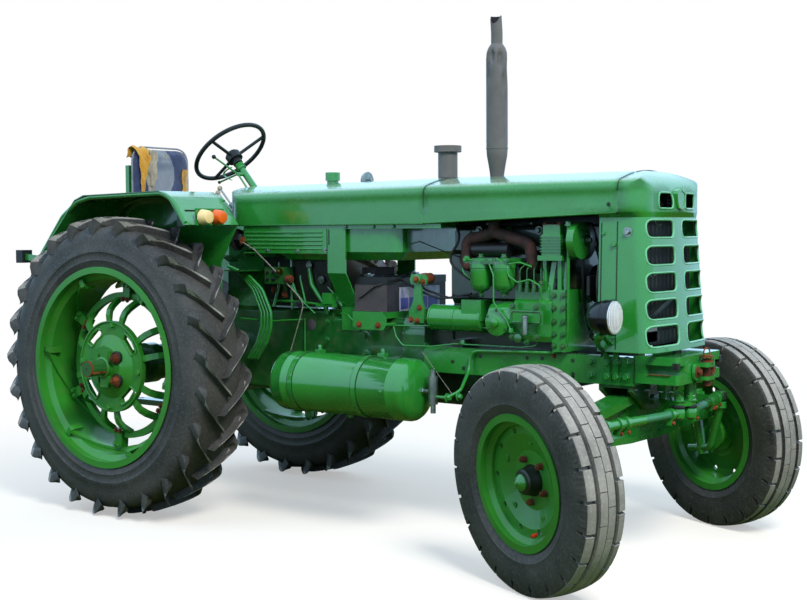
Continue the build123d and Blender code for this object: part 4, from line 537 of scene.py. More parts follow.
def finned(name):
    """A radiator's core: thin upright fins, painted brighter at their edges as a highlight and painted black
    between as shade.
    """
    material, tree, shader = new_finish(name)
    place = node(tree, "TexCoord").outputs["Object"]
    links = {"Vector": place, "Scale": 8.0, "Distortion": 0.4, "Detail": 1.0}
    fins = node(tree, "TexWave", links, bands_direction="Y").outputs["Fac"]
    links = {"Vector": place, "Scale": 4.0, "Distortion": 0.0}
    tubes = node(tree, "TexWave", links, bands_direction="Z").outputs["Fac"]
    # painted light: fin edges lighter, and near black in the gaps between fins and between tubes as painted
    # shade
    light = mixed(tree, 1.0, mask(tree, fins, 0.4, 0.9), mask(tree, tubes, 0.1, 0.5, 0.3), "MULTIPLY")
    set_values(shader, Base_Color=mixed(tree, light, colour("08080a"), colour("34332f")), Roughness=0.6,
               IOR=1.5, Normal=relief(tree, fins, 0.002, 0.6))
    return material


finishes = {}


def make_finishes(paint):
    """Every finish of the tractor, by its plain name."""
    body, shade, sun = paint
    finishes.update(
        green=painted_steel("Green enamel on steel", body, shade, sun, 0.3, 0.15, 0.06),
        sheet_green=painted_steel("Green enamel on pressed sheet", body, shade, sun,
                                  0.3, 0.15, 0.06, 1.0, 0.06),
        # painted highlight: pale green on the rolled edges of grille and vents, standing for glints of light
        # on them
        edge_green=painted_steel("Green enamel rubbed pale on edges", "5fae84", "43985f", "8cc9a8",
                                 0.3, 0.2, 0.05),
        rim_green=painted_steel("Green enamel on rims", "2f8a2a", "267022", "409a3a", 0.7, 0.34, 0.2, 0.3),
        # painted shade: this darker copy of the green enamel, on the low castings and the engine bay's
        # fittings, stands for the shade they sit in
        cast_green=painted_steel("Green enamel on rough castings", "165a20", "103c14", "207334",
                                 0.35, 0.26, 0.35),
        tyre=worn_rubber("Tyre rubber", "2a2929", "464545", "5e5d5c"),
        # tread faces painted pale grey: partly wear, partly a painted highlight of the light on them
        tread=worn_rubber("Tyre tread polished by the ground", "6e6e6e", "979797", "adadad"),
        # painted shade: the engine block and sump are painted near black green, standing for the shade under
        # the hood
        dark_iron=painted_steel("Oily green engine iron", "14260f", "0d150b", "1d3b18", 0.3, 0.35, 0.3),
        bare_steel=plain_metal("Turned steel", "8d8a84", "4a4039", 0.35, spots="5b3620"),
        zinc=plain_metal("Zinc-plated steel", "b9bab4", "8b8d88", 0.3),
        aluminium=plain_metal("Cast aluminium", "b3afa6", "7d7a74", 0.45),
        brass=plain_metal("Brass", "a8863c", "6f5520", 0.3),
        rust=rusted_iron("Rusted bolt steel", "3b1c12", "8a4a28"),
        hot_iron=rusted_iron("Heat-browned cast iron", "221a1b", "4d3230"),
        stack=smooth_coat("Sooty grey paint", "5e5e60", "454547", 0.38, 0.12, 0.0012),
        black=smooth_coat("Black paint", "0f0f11", "1d1e20", 0.3),
        bakelite=smooth_coat("Black moulded plastic", "101011", "1e1e20", 0.32),
        battery=smooth_coat("Battery case polypropylene", "1e1c22", "35313c", 0.5),
        dusty=smooth_coat("Dusty battery side", "4b474b", "3a383c", 0.7),
        label=smooth_coat("Blank battery label", "8f92c4", "c9cbe4", 0.3, 0.02),
        blue=smooth_coat("Blue printed band", "3f46a8", "5358b4", 0.3, 0.02),
        # painted shade: this near black stands for the shade seen inside a hole
        hole=smooth_coat("Dark open hole", "0a0b0a", "121412", 0.9),
        rubber=smooth_coat("Black rubber", "18181a", "2c2c2e", 0.6),
        cable=smooth_coat("Grey wire rope", "83857f", "5d5f5a", 0.45, 0.01),
        # oily black grime; the same near black is also painted shade where it stands for holes, pockets, a
        # slot, a notch and a dark block by the gearbox
        grime=smooth_coat("Oily black grime", "101210", "23271f", 0.28, 0.03, 0.0012),
        slate=smooth_coat("Grey-blue sheet steel", "8fa0b0", "6f7d8a", 0.5, 0.08),
        core=finned("Radiator fins"),
        # painted reflection: a bluish green standing for the sky mirrored on the track rods' thinner part
        slate_steel=smooth_coat("Bluish worn enamel", "3f7d68", "2a7240", 0.25, 0.08, 0.0004),
        shaft=painted_steel("Green enamel rubbed off a shaft", "2a6d30", "1f5426", "3c7f45", 0.95, 0.25, 0.4),
        lamp_shell=smooth_coat("Blue-black lamp shell", "0c0d14", "13151d", 0.14, 0.06, 0.0001),
        knob=smooth_coat("Worn lever knob", "a9a697", "77766a", 0.35, 0.01),
        red=smooth_coat("Red cap", "c8391c", "8f2614", 0.45),
        cream=lens("Cream lamp cover", "efd9a0", 0.2, 0.15),
        orange=lens("Orange lamp cover", "ee6a1c", 0.15, 0.2),
        red_lens=lens("Red lamp cover", "b3261a", 0.15, 0.2),
        # painted reflection: the headlamp glass is mostly opaque pale blue and its pressed ribs near white,
        # standing for the bright sky and glints mirrored in the glass
        glass=lens("Headlamp glass", "c3cfe2", 0.04, 0.35),
        glass_rib=lens("Pressed ribs of the headlamp glass", "f2f4f6", 0.04, 0.2),
        mirror=plain_metal("Lamp reflector", "f0efe8", "d9d4c4", 0.16, 0.05, 0.0),
        ochre=woven_cloth("Ochre cloth", "d8a63c", "b07f24"),
        navy=woven_cloth("Navy cloth", "27345c", "3d4c76"),
        grey_blue=woven_cloth("Grey-blue cloth", "6c7a92", "8d97a6"),
        pale=woven_cloth("Pale cloth edge", "b9b4a4", "8d897c"),
    )


def coats(names):
    """The finishes of a list of names in one string; a mark is a number in that list."""
    return [finishes[name] for name in names.split()]


# ---------------------------------------------------------------- stage


def make_camera(settings):
    """The camera, at the right front and about shoulder height."""
    data = bpy.data.cameras.new("view")
    data.sensor_width, data.lens = 36.0, settings.lens
    camera = bpy.data.objects.new("view", data)
    bpy.context.scene.collection.objects.link(camera)
    azimuth, pitch, roll = (np.radians(value) for value in settings.aim)
    level = np.cos(pitch)
    ahead = Vector((-np.sin(azimuth) * level, np.cos(azimuth) * level, -np.sin(pitch)))
    right = ahead.cross(Vector(UP)).normalized()
    right = Matrix.Rotation(roll, 3, ahead) @ right
    upward = right.cross(ahead)
    camera.matrix_world = Matrix(
        [(*row, place) for row, place in zip(zip(right, upward, -ahead), settings.place)]
        + [(0, 0, 0, 1)]
    )
    bpy.context.scene.camera = camera


def area_lamp(name, place, target, size, power, tint="ffffff"):
    """A soft square lamp that faces its target."""
    data = bpy.data.lights.new(name, "AREA")
    data.shape, data.size, data.energy, data.color = "SQUARE", size, power, colour(tint)[:3]
    lamp = bpy.data.objects.new(name, data)
    bpy.context.scene.collection.objects.link(lamp)
    way = Vector(target) - Vector(place)
    lamp.matrix_world = Matrix.Translation(place) @ way.to_track_quat("-Z", "Y").to_matrix().to_4x4()
    lamp.visible_glossy = False


def make_world(ground, horizon, zenith):
    """A pale sky that is bright overhead and green-brown below, bluer and brighter where it is
    mirrored, and white to the camera."""
    world = bpy.data.worlds.new("Studio sky")
    bpy.context.scene.world = world
    world.use_nodes = True
    tree = world.node_tree
    tree.nodes.clear()
    direction = node(tree, "TexCoord").outputs["Generated"]
    height = node(tree, "SeparateXYZ", {0: direction}).outputs["Z"]
    share = node(tree, "MapRange", {"Value": height, "From Min": -1.0}).outputs["Result"]

    def sky(edge, low, high, strength):
        """Light that goes from the ground's colour to low at the horizon, and to high overhead."""
        tint = ramp(tree, share, (0.42, colour(ground)), (edge, colour(low)), (0.8, colour(high)))
        return node(tree, "Background", {"Color": tint, "Strength": strength}).outputs[0]

    light, mirrored = sky(0.52, horizon, zenith, 0.8), sky(0.505, "a9d0ee", "b4dcf8", 1.9)
    paths = node(tree, "LightPath").outputs
    mix = node(tree, "MixShader", {0: paths["Is Glossy Ray"], 1: light, 2: mirrored}).outputs[0]
    white = node(tree, "Background", {"Color": (1, 1, 1, 1), "Strength": 1.0}).outputs[0]
    mix = node(tree, "MixShader", {0: paths["Is Camera Ray"], 1: mix, 2: white}).outputs[0]
    node(tree, "OutputWorld", {"Surface": mix})


def make_floor(grass, reach):
    """A floor that is white to the camera apart from the shadow on it, and grass-coloured in what
    the paint reflects. The shadow fades out with the distance from the tractor."""
    material, tree, shader = new_finish("Studio floor over grass light")
    set_values(shader, Base_Color=colour(grass), Roughness=1.0, Specular_IOR_Level=0.0)
    place = node(tree, "NewGeometry").outputs["Position"]
    far = node(tree, "VectorMath", {0: place}, operation="LENGTH").outputs["Value"]
    links = {"Value": far, "From Min": 1.6, "From Max": 4.6, "To Min": 0.42}
    fade = node(tree, "MapRange", links).outputs["Result"]
    chalk = node(tree, "BsdfDiffuse", {"Color": (0.93, 0.92, 0.9, 1)}).outputs[0]
    white = node(tree, "Emission", {"Color": (1, 1, 1, 1), "Strength": 1.0}).outputs[0]
    shadow = node(tree, "MixShader", {0: fade, 1: chalk, 2: white}).outputs[0]
    seen = node(tree, "LightPath").outputs["Is Camera Ray"]
    mix = node(tree, "MixShader", {0: seen, 1: shader.outputs[0], 2: shadow}).outputs[0]
    tree.links.new(mix, tree.nodes["Material Output"].inputs["Surface"])
    mesh = bpy.data.meshes.new("floor")
    corners = [(-reach, -reach, 0), (reach, -reach, 0), (reach, reach, 0), (-reach, reach, 0)]
    mesh.from_pydata(corners, [], [(0, 1, 2, 3)])
    mesh.materials.append(material)
    floor = bpy.data.objects.new("floor", mesh)
    bpy.context.scene.collection.objects.link(floor)
    return floor


def make_stage(settings):
    """Camera, lamps, sky and floor."""
    scene = bpy.context.scene
    scene.view_settings.view_transform = "Standard"
    make_camera(settings)
    middle = (0.2, 0, 0.9)
    area_lamp("sun side", (5.6, -3.4, 6.4), middle, 2.4, settings.key, "fff6e8")
    area_lamp("sky fill", (-3.5, -6.0, 5.0), middle, 5.0, settings.fill, "e6f0ff")
    area_lamp("back rim", (-3.0, 6.5, 4.5), middle, 5.0, settings.fill, "f4f8ff")
    make_world("3c4a22", "cfe0e6", "b9dcf2")
    make_floor("56662c", 16.0)


# ---------------------------------------------------------------- tyres


def wheel_place(name):
    """A wheel's centre and its axis, pointing away from the tractor."""
    joint = joints[name]
    axis = unit(joint["axis"])
    side = -1 if name.startswith("right") else 1
    return np.array(joint["pos_m"]), axis * (1 if axis[1] * side > 0 else -1)


def tractor_lug(shell, centre, axis, turn, side, sizes, mark):
    """One bar of a driving tyre's tread, from the middle of the crown back to the shoulder and
    down the sidewall.

    The bar's middle line runs round the tyre by an angle that grows with its distance from the
    crown's middle; across it the section is a trapezoid with sloping flanks."""
    tyre_radius, half_width, length, height, width = sizes
    share = np.linspace(0, 1, 15)
    reach = (-0.006, half_width * 0.9, half_width, half_width * 1.005)
    across = np.interp(share, (0, 0.7, 0.86, 1), reach)
    depth = np.interp(share, (0, 0.6, 0.78, 0.88, 1), (0.0, 0.006, 0.02, 0.042, 0.078))
    lag = length * (share * 0.7 + 0.3 * share**1.8) * np.interp(share, (0, 0.85, 1), (1, 1, 0.97))
    tall = height * np.interp(share, (0, 0.05, 0.78, 0.92, 1), (0.92, 1, 1.0, 0.7, 0.04))
    wide = width * np.interp(share, (0, 0.06, 0.6, 0.85, 1), (0.78, 0.96, 1.0, 1.0, 0.85))
    lean = np.interp(share, (0, 0.6, 0.8, 1), (0.06, 0.2, 0.95, 1.45))
    first, second, along = frame_of(axis)
    forward = np.sign(np.cross(along, UP) @ FORWARD)
    # half a section, from its foot to the middle of its top, in shares of width and height
    half = ((0.8, -1.2), (0.68, -0.9), (0.54, -0.5), (0.47, -0.2), (0.42, -0.06), (0.33, -0.005), (0.12, 0))
    half = np.array(half)
    profile = np.concatenate((half * (-1, 1), half[::-1]))
    run = np.hypot(np.gradient(lag), np.gradient(across + depth))
    slope = np.gradient(lag) / np.maximum(run, 1e-9)
    level = np.sqrt(np.clip(1 - slope**2, 0, 1))
    points = np.zeros((len(share), len(profile), 3))
    for column, (u, v) in enumerate(profile):
        sideways, rise = u * wide * slope, v * tall
        radius = tyre_radius - depth + rise * np.cos(lean) - sideways * np.sin(lean)
        offset = side * (across - sideways * np.cos(lean) + rise * np.sin(lean))
        angle = turn - forward * (lag - u * wide * level) / tyre_radius
        ring = np.cos(angle)[:, None] * first + np.sin(angle)[:, None] * second
        points[:, column] = centre + radius[:, None] * ring + offset[:, None] * along
    flip = forward * side > 0
    count = len(profile)
    low, high = np.arange(count), (len(share) - 1) * count + np.arange(count)
    ends = (low[::-1], high) if flip else (low, high[::-1])
    quads = grid_faces(len(share), count, flip=not flip)
    column, row = np.arange(len(quads)) % count, np.arange(len(quads)) // count
    # the top of the bar, which the ground polishes and which is painted pale, partly as wear and partly as a
    # painted highlight, up to where it bends down the sidewall
    toned = (column >= 4) & (column <= 8) & (row < 11)
    start = shell.count
    shell.add(points, quads[~toned], *ends)
    shell.add_faces(quads[toned] + start, mark)


def rear_tyre(name, sizes):
    """A driving tyre: a turned carcass with two rows of slanting bars, half a pitch apart."""
    centre, axis = wheel_place(name + "_rear_wheel_spin")
    low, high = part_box(name + "_rear_tyre")
    radius = (high.z - low.z) / 2 - 0.001
    half = (high.y - low.y) / 2
    shell = Shell()
    crown = radius - sizes.lug_height
    flange, bead, wall = 0.513, 0.4845, 0.1497
    outer = [(crown, 0.0), (crown - 0.002, 0.05), (crown - 0.008, 0.1), (crown - 0.022, 0.132)]
    outer += [(crown - 0.05, 0.1465), (crown - 0.085, 0.152), (crown - 0.12, 0.1545), (0.6, half - 0.002)]
    outer += [(0.582, half - 0.0005), (0.578, half - 0.0035), (0.56, half - 0.003), (0.545, 0.154)]
    outer += [(0.541, 0.1555), (0.537, 0.153), (flange + 0.006, wall + 0.001)]
    outer += [(flange - 0.003, wall - 0.004), (bead, wall - 0.004)]
    inner = [(bead, 0.118), (0.54, 0.136), (0.61, 0.138), (0.68, 0.122), (0.706, 0.06), (0.71, 0.0)]
    outline = outer + inner
    mirrored = [(r, -h) for r, h in outline[::-1]]
    ring_of(shell, mirrored[:-1] + outline[:-1], centre, axis, 144, 0)
    count = sizes.rear_lugs
    bar = (radius, 0.151, 0.215, sizes.lug_height, 0.058)
    for side in (-1, 1):
        for index in range(count):
            turn = (index + 0.25 * side) * 2 * np.pi / count
            tractor_lug(shell, centre, axis, turn, side, bar, 1)
    shell.make(name + "_lugged_tyre", coats("tyre tread"), name + "_rear_wheel",
               [name + "_rear_tyre"], 40)


def front_tyre(name, sizes):
    """A steering tyre: two brick-cut ribs round the middle and notched blocks at the shoulders.

    The surface is a grid of angle and outline. Its radius drops in the two wide grooves, in the
    thin middle groove, in the cuts across the ribs and in the notches between shoulder blocks."""
    centre, axis = wheel_place(name + "_front_wheel_spin")
    radius, half = sizes.front_radius, 0.1
    pitch = 2 * np.pi / sizes.front_blocks
    thin, wide = 0.035, 0.115
    events = ((0.0, wide), (0.5, wide), (0.27, thin), (0.73, thin))
    ramps = ((-0.5, 0), (-0.5, 0.012), (0.5, -0.012), (0.5, 0))
    marks = np.array([at + share * span + shift for at, span in events for share, shift in ramps])
    marks = np.unique(np.round(np.concatenate((marks % 1, (0.13, 0.2, 0.38, 0.62, 0.8, 0.88))), 5))
    angle = (np.arange(sizes.front_blocks)[:, None] + marks).ravel() * pitch
    phase = np.tile(marks, sizes.front_blocks)

    def cut(at, span):
        """Is 1 inside a cut of that share of the pitch and 0 outside, with steep walls."""
        away = np.abs((phase - at + 0.5) % 1 - 0.5)
        return np.clip((span / 2 - away) / 0.012, 0, 1)

    def crown(offset):
        """Radius of the crown at an offset from the middle: part of a sphere."""
        return np.sqrt(radius**2 - offset**2)

    groove, shoulder, rib_edge = 0.012, 0.088, 0.0345

    def half_of(side):
        """Rows of (offset, radius, mark) from the middle of the crown out to the bead."""
        rib_cut = 0.010 * cut(0.27 if side < 0 else 0.73, thin)
        notch = cut(0.0 if side < 0 else 0.5, wide)
        tread_rows = (
            (0.0, groove, 0), (0.0012, groove, 0), (0.0016, rib_cut, 1), (0.017, rib_cut, 1),
            (rib_edge, rib_cut, 1), (rib_edge + 0.002, groove, 0), (0.0525, groove, 0),
            (0.0545, 0.021 * notch, 1), (0.07, 0.021 * notch, 1), (0.0825, 0.021 * notch, 1),
            (shoulder, 0.004 + 0.021 * notch, 0),
        )
        rows = [(side * offset, crown(offset) - depth, mark) for offset, depth, mark in tread_rows]
        edge = crown(0.084)
        walls = (
            (0.0915, edge - 0.012, 0.55), (0.0935, edge - 0.024, 0.55), (0.0955, edge - 0.034, 0.25),
            (0.0975, edge - 0.05, 0.0), (half - 0.0008, 0.375, 0), (half - 0.001, 0.34, 0),
            (0.0965, 0.318, 0), (0.0975, 0.314, 0), (0.0955, 0.311, 0), (0.0885, 0.291, 0),
            (0.0828, 0.281, 0), (0.0805, 0.2765, 0), (0.0805, 0.2545, 0),
        )
        ribs = 0.5 + 0.5 * np.cos(phase * 6 * 2 * np.pi)
        rows.extend(
            (side * (offset - share * (0.016 * notch + 0.004 * ribs)), level - 0.024 * share * notch, 0)
            for offset, level, share in walls
        )
        return rows

    inner = ((0.062, 0.2545), (0.085, 0.34), (0.075, 0.41), (0.0, 0.421))
    inner += ((-0.075, 0.41), (-0.085, 0.34), (-0.062, 0.2545))
    order = half_of(-1)[::-1] + half_of(1)[1:] + [(offset, level, 0) for offset, level in inner]
    offsets = np.array([np.broadcast_to(row[0], angle.shape) for row in order])
    radii = np.array([np.broadcast_to(row[1], angle.shape) for row in order])
    first, second, along = frame_of(axis)
    ring = np.cos(angle)[:, None] * first + np.sin(angle)[:, None] * second
    points = centre + radii[..., None] * ring + offsets[..., None] * along
    shell = Shell()
    quads = grid_faces(len(order), len(angle), close_rows=True)
    # these faces get the pale tread finish: partly wear, partly a painted highlight
    worn_and_highlit = np.repeat([row[2] for row in order], len(angle)) == 1
    shell.add(points, quads[~worn_and_highlit])
    shell.add_faces(quads[worn_and_highlit], mark=1)
    shell.make(name + "_ribbed_tyre", coats("tyre tread"), name + "_front_wheel",
               [name + "_front_tyre"], 40)


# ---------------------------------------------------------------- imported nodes

NODE_FINISHES = {
    "sheet_green": "engine_cover tank_cover nose_cowl fenders",
    "green": "tank_supports fuel_tank side_panels air_tank air_tank_straps steering_console "
    "seat_frame front_casting frame_rails battery_tray steering_column left_track_rod "
    "right_track_rod left_knuckle right_knuckle centre_steering_arm front_axle_beam "
    "injection_pump air_compressor fuel_filters starter_motor",
    "cast_green": "clutch_housing gearbox rear_axle_housing axle_hanger drawbar platform pedals",
    "dark_iron": "engine_block oil_sump",
    "rim_green": "left_rear_rim right_rear_rim left_front_rim right_front_rim",
    "hot_iron": "exhaust_manifold",
    "rust": "tow_pin",
    "black": "cooling_fan headlamp",
    "core": "radiator",
    "stack": "exhaust_stack air_precleaner",
    "bakelite": "steering_wheel",
    "battery": "battery",
    "aluminium": "air_regulator",
    "shaft": "left_axle_shaft right_axle_shaft",
    "bare_steel": "control_levers",
    "cream": "fender_lamps",
    "navy": "seat_cushion seat_back",
    "tyre": "left_rear_tyre right_rear_tyre left_front_tyre right_front_tyre",
}


def finish_nodes():
    """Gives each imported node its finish."""
    for finish, names in NODE_FINISHES.items():
        for name in names.split():
            mesh = nodes[name].data
            mesh.materials.clear()
            mesh.materials.append(finishes[finish])


# ---------------------------------------------------------------- wheels' fittings


def on_wheel(place, angle, radius, offset):
    """Points on a wheel, by angle in degrees from forwards, radius and distance outwards."""
    centre, axis = place
    first, second, along = frame_of(axis, FORWARD)
    angle = np.radians(np.asarray(angle, float))[..., None]
    radius, offset = np.asarray(radius, float)[..., None], np.asarray(offset, float)[..., None]
    return centre + radius * (np.cos(angle) * first + np.sin(angle) * second) + offset * along


def rail_and_clamps(shell, place, turn):
    """One slanting rail inside a rear rim, its ears, and the clamp that holds it to the disc's ring.

    The rail's middle line has an angle and an offset that change evenly together."""
    middle, axis = place
    share = np.linspace(-1, 1, 13)
    path = on_wheel(place, turn + 33 * share, 0.437 + 0.004 * share**2, -0.014 - 0.134 * share)
    outwards = unit(path - middle - ((path - middle) @ axis)[:, None] * axis)
    swept(shell, path, bar_outline(0.032, 0.015), 0, up=outwards)
    ear = on_wheel(place, turn - 33, (0.468, 0.43, 0.424, 0.424), (0.124, 0.124, 0.112, 0.058))
    swept(shell, ear, bar_outline(0.012, 0.03), 0, up=np.cross(axis, outwards[0]))
    grip = on_wheel(place, turn, (0.336, 0.428), (0.004, 0.004))
    radial = unit(grip[1] - grip[0])
    for back in (0, 0.036):
        swept(shell, grip - back * axis, bar_outline(0.05, 0.012), 0, up=axis)
    across = np.cross(axis, radial)
    for way in (-1, 1):
        lift = 0.009 * axis
        bolt_head(shell, grip[1] - 0.016 * radial + way * 0.014 * across + lift, axis, 0.017)
        bolt_head(shell, grip[0] + 0.004 * radial + way * 0.016 * across + lift, axis, 0.015, mark=1)


def rear_hub_fittings(shell, place):
    """Two large nuts beside a rear hub, on dark rings painted as the shade of their pockets, and the hub's
    end with its rim, a centre mark painted dark as the shade of its centre hole, key and collar.
    """
    middle, along = place
    first, second, _ = frame_of(along, FORWARD)
    cup = mm((34, -10), (36, 4), (30, 6), (28, 1), (1, 1))
    for upward in (0.05, -0.064):
        seat = middle + 0.08 * first + upward * second + 0.116 * along
        # painted shade: a dark ring standing for the pocket round the nut
        turned(shell, cup, seat, along, 24, 2)
        bolt_head(shell, seat, along, 0.036, 0.026, 1)
        turned(shell, mm((9.5, 20), (9.5, 36), (7, 39)), seat, along, 14, 1)
    end = middle + 0.24 * along
    turned(shell, mm((40.5, -12), (41.2, -6), (39.5, -0.2)), end, along, 40, 1)
    turned(shell, mm((6, -2), (5.5, 0.3)), end, along, 12, 2)
    key = end - 0.1 * along + 0.0395 * unit(-0.45 * second + 0.9 * first)
    swept(shell, (key, key + 0.096 * along), bar_outline(0.012, 0.004), 1, up=first)
    collar = mm((52, -2), (54, 4), (45, 9), (40.8, 7))
    turned(shell, collar, middle + 0.138 * along, along, 36, 0)


def rear_wheel_fittings(name):
    """The slanting rails inside a rear rim, the clamps on its ring, the ribs and bolts of its disc
    and the nuts of its hub."""
    place = wheel_place(name + "_rear_wheel_spin")
    middle, axis = place
    shell = Shell()
    for turn in 24 + 60 * np.arange(6):
        rail_and_clamps(shell, place, turn)
    ring = mm((224, 80), (232, 80), (232, 89), (227, 89.5), (224, 87))
    ring_of(shell, ring, middle, axis)
    # beads round the disc's four windows
    corners = np.array(((0.166, -17), (0.208, -17.5), (0.211, 0), (0.208, 17.5), (0.166, 17), (0.163, 0)))
    for turn in 40 + 90 * np.arange(4):
        outline = on_wheel(place, turn + corners[:, 1], corners[:, 0], np.full(6, 0.083))
        loop = rounded(np.concatenate((outline, outline[:2])), 0.012, 3)
        swept(shell, loop[1:-1], disc_outline(0.006, 6), 0)
        bolt_head(shell, on_wheel(place, turn - 45, 0.211, 0.082), axis, 0.024)
    rear_hub_fittings(shell, place)
    shell.make(name + "_rim_rails_and_bolts", coats("rim_green rust grime"), name + "_rear_wheel")


def front_wheel_fittings(name):
    """The black hub with its green cap, the wheel nuts, the disc's holes as dark discs of painted shade, and
    the valve.
    """
    place = wheel_place(name + "_front_wheel_spin")
    middle, axis = place
    shell = Shell()
    hub = mm((64, 4), (62.5, 16), (57.5, 24), (51.5, 53), (45, 59.5), (36, 61))
    turned(shell, hub, middle, axis, 36, 0)
    cap = mm((34, 58), (34.5, 66), (24, 80), (9, 86), (8, 91), (3, 93))
    turned(shell, cap, middle, axis, 28, 1)
    rim = nodes[name + "_front_rim"]
    # dark discs of painted shade stand for the disc's holes
    for turn in 12 + 72 * np.arange(5):
        found, seat, _, _ = rim.ray_cast(on_wheel(place, turn, 0.164, 0.3), -axis)
        if found:
            turned(shell, mm((14.5, -2), (14.5, 1), (12.5, 1.6)), seat, axis, 24, 1)
            turned(shell, mm((12.5, -1), (12.5, 1.3), (1, 1.4)), seat, axis, 24, 5)
    for turn in 48 + 72 * np.arange(5):
        seat = on_wheel(place, turn, 0.09, 0.006)
        turned(shell, mm((15, -2), (15, 4), (12, 6)), seat, axis, 16, 2)
        bolt_head(shell, seat + 0.004 * axis, axis, 0.023, 0.02, 2, washer=False)
        turned(shell, mm((6, 20), (6, 28), (4, 30)), seat, axis, 10, 2)
    valve = on_wheel(place, -62, (0.208, 0.212), (0.052, 0.082))
    swept(shell, valve, disc_outline(0.0042, 8), 3)
    stem = mm((7.5, -12), (8, 8), (6, 14))
    turned(shell, stem, valve[1], valve[1] - valve[0], 14, 4)
    names = "grime green rust zinc red hole"
    shell.make(name + "_hub_nuts_and_valve", coats(names), name + "_front_wheel")


# ---------------------------------------------------------------- nose

GRILLE = mm(
    # middle height, height of the opening, outer y of the opening
    (1443, 76, 250), (1331, 80, 257), (1218, 82, 264), (1106, 84, 271), (994, 88, 278),
)


def cowl_half(height):
    """Half the cowl's width at a height: it narrows evenly upwards."""
    return 0.294 - 0.018 * (height - 0.926) / 0.566


def cowl_x(across, height):
    """The x of the cowl's outside at a y and height: a bowed face with round corners, leaning back."""
    height = np.clip(height, 0.926, 1.492)
    face = front_axle + 0.222 - 0.036 * (height - 0.926) / 0.566
    flat = cowl_half(height) - 0.066
    away = np.abs(across)
    bow = 0.012 * np.clip(away / flat, 0, 1) ** 2
    corner = np.clip(away - flat, 0, 0.0658)
    return face - bow - (0.066 - np.sqrt(0.066**2 - corner**2))


def nose_x(across, height):
    """The x of the nose above the grille: the further back of a bowed face and a quarter circle."""
    over = np.clip(height - 1.536, 0, 0.1599)
    dome = 0.038 + np.sqrt(0.16**2 - over**2)
    return front_axle + np.minimum(0.198 - 0.018 * (across / 0.2) ** 2, dome)


def edge_roll(shell, corners, surface, radius, mark=0, bend=0.022, lift=0.0):
    """A round bead laid along a closed outline of (y, height) points on a surface."""
    corners = np.asarray(corners, float)
    flat = rounded(np.concatenate((corners, corners[:2])), bend, 6)[1:-1]
    steps = np.linalg.norm(np.roll(flat, -1, 0) - flat, axis=1)
    along = np.concatenate(((0,), np.cumsum(steps)))
    even = np.linspace(0, along[-1], max(24, int(along[-1] / 0.012)), endpoint=False)
    ring = np.vstack((flat, flat[:1]))
    flat = np.stack([np.interp(even, along, ring[:, k]) for k in (0, 1)], 1)
    path = np.column_stack((surface(flat[:, 0], flat[:, 1]) + lift, flat))
    return swept(shell, path, disc_outline(radius, 8), mark, closed=True)


def grille_edges(shell):
    """Rolled edges round the grille's openings, with a dark lip below each, and round the nose's
    vents, with dark bars behind them. The rolled edges are painted pale green as a highlight."""
    for middle, height, reach in GRILLE:
        low, high = middle - height / 2, middle + height / 2
        for side in (-1, 1):
            inner, outer = side * 0.039, side * reach
            corners = ((inner, low), (outer, low), (outer, high), (inner, high))
            edge_roll(shell, corners, cowl_x, 0.005, 6, bend=0.03, lift=-0.0025)
            lip = np.linspace(inner * 1.5, outer * 0.985, 24)
            path = np.column_stack((cowl_x(lip, low) - 0.006, lip, np.full(24, low - 0.001)))
            swept(shell, path, disc_outline(0.0055, 8), 0)
    vent = np.array(mm((-58, -33.5), (58, -33.5), (58, 33.5), (-58, 33.5)))
    for side in (-1, 1):
        edge_roll(shell, vent + (side * 0.116, 1.562), nose_x, 0.0045, 6, 0.018, lift=-0.002)
        block(shell, (front_axle + 0.1, side * 0.064, 1.52), (front_axle + 0.108, side * 0.17, 1.605), 1)
        for low in 1.532 + 0.014 * np.arange(5):
            ends = ((front_axle + 0.112, side * 0.062, low), (front_axle + 0.13, side * 0.17, low + 0.004))
            block(shell, *ends, 2)


def blank_badge(shell):
    """A blank shield on an upright rib of the nose: the same outline in five layers."""
    half = mm((0, -48), (28, -40), (40, -14), (44, 22), (32, 36), (14, 40), (0, 50))
    outline = np.concatenate((half, np.array(half[-2:0:-1]) * (-1, 1)))
    across, heights = outline.T + ((0,), (1.57,))
    count = len(outline)
    rows = [np.column_stack((nose_x(across, heights) - 0.012, across, heights))]
    for share, ahead in mm((1000, 204), (930, 208.5), (760, 208.5), (700, 205.5)):
        rows.append(np.column_stack((np.full(count, front_axle + ahead), outline * share + (0, 1.57))))
    ring = np.arange(count)
    shell.add(np.concatenate(rows), grid_faces(5, count), ring[::-1], 4 * count + ring)


def behind_grille(shell):
    """What shows through the openings: a sheet, a bar, a hose and three loose ends of wire."""
    back_x = front_axle + 0.09
    block(shell, (back_x, -0.235, 0.955), (back_x + 0.004, 0.0, 1.04), 3)
    swept(shell, ((back_x + 0.02, -0.23, 1.02), (back_x + 0.03, 0.21, 1.18)), bar_outline(0.008, 0.02), 1)
    swept(shell, ((back_x + 0.03, 0.24, 0.96), (back_x + 0.03, 0.236, 1.4)), disc_outline(0.014), 4)
    turn = np.linspace(0, 1, 24)
    for across, height in mm((-140, 1474), (120, 1072), (-200, 1256)):
        wire = (back_x + 0.05 + 0.012 * np.sin(turn * 17), across + 0.07 * turn,
                height - 0.014 * turn + 0.006 * np.cos(turn * 21))
        swept(shell, np.stack(wire, 1), disc_outline(0.0013, 5), 5)


def nose_trim():
    """Rolled edges round the grille's openings and the vents, the blank badge and what shows inside."""
    shell = Shell()
    grille_edges(shell)
    blank_badge(shell)
    behind_grille(shell)
    names = "green grime black slate rubber zinc edge_green"
    shell.make("grille_edges_and_blank_badge", coats(names), "chassis")

# ---------------------------------------------------------------- lamps, levers and fender edges


def ball_profile(radius, steps=9):
    """Half a circle from pole to pole, as (radius, height) pairs."""
    angle = np.linspace(-np.pi / 2, np.pi / 2, steps)
    return np.stack((np.maximum(radius * np.cos(angle), 0.0004), radius * np.sin(angle)), 1)


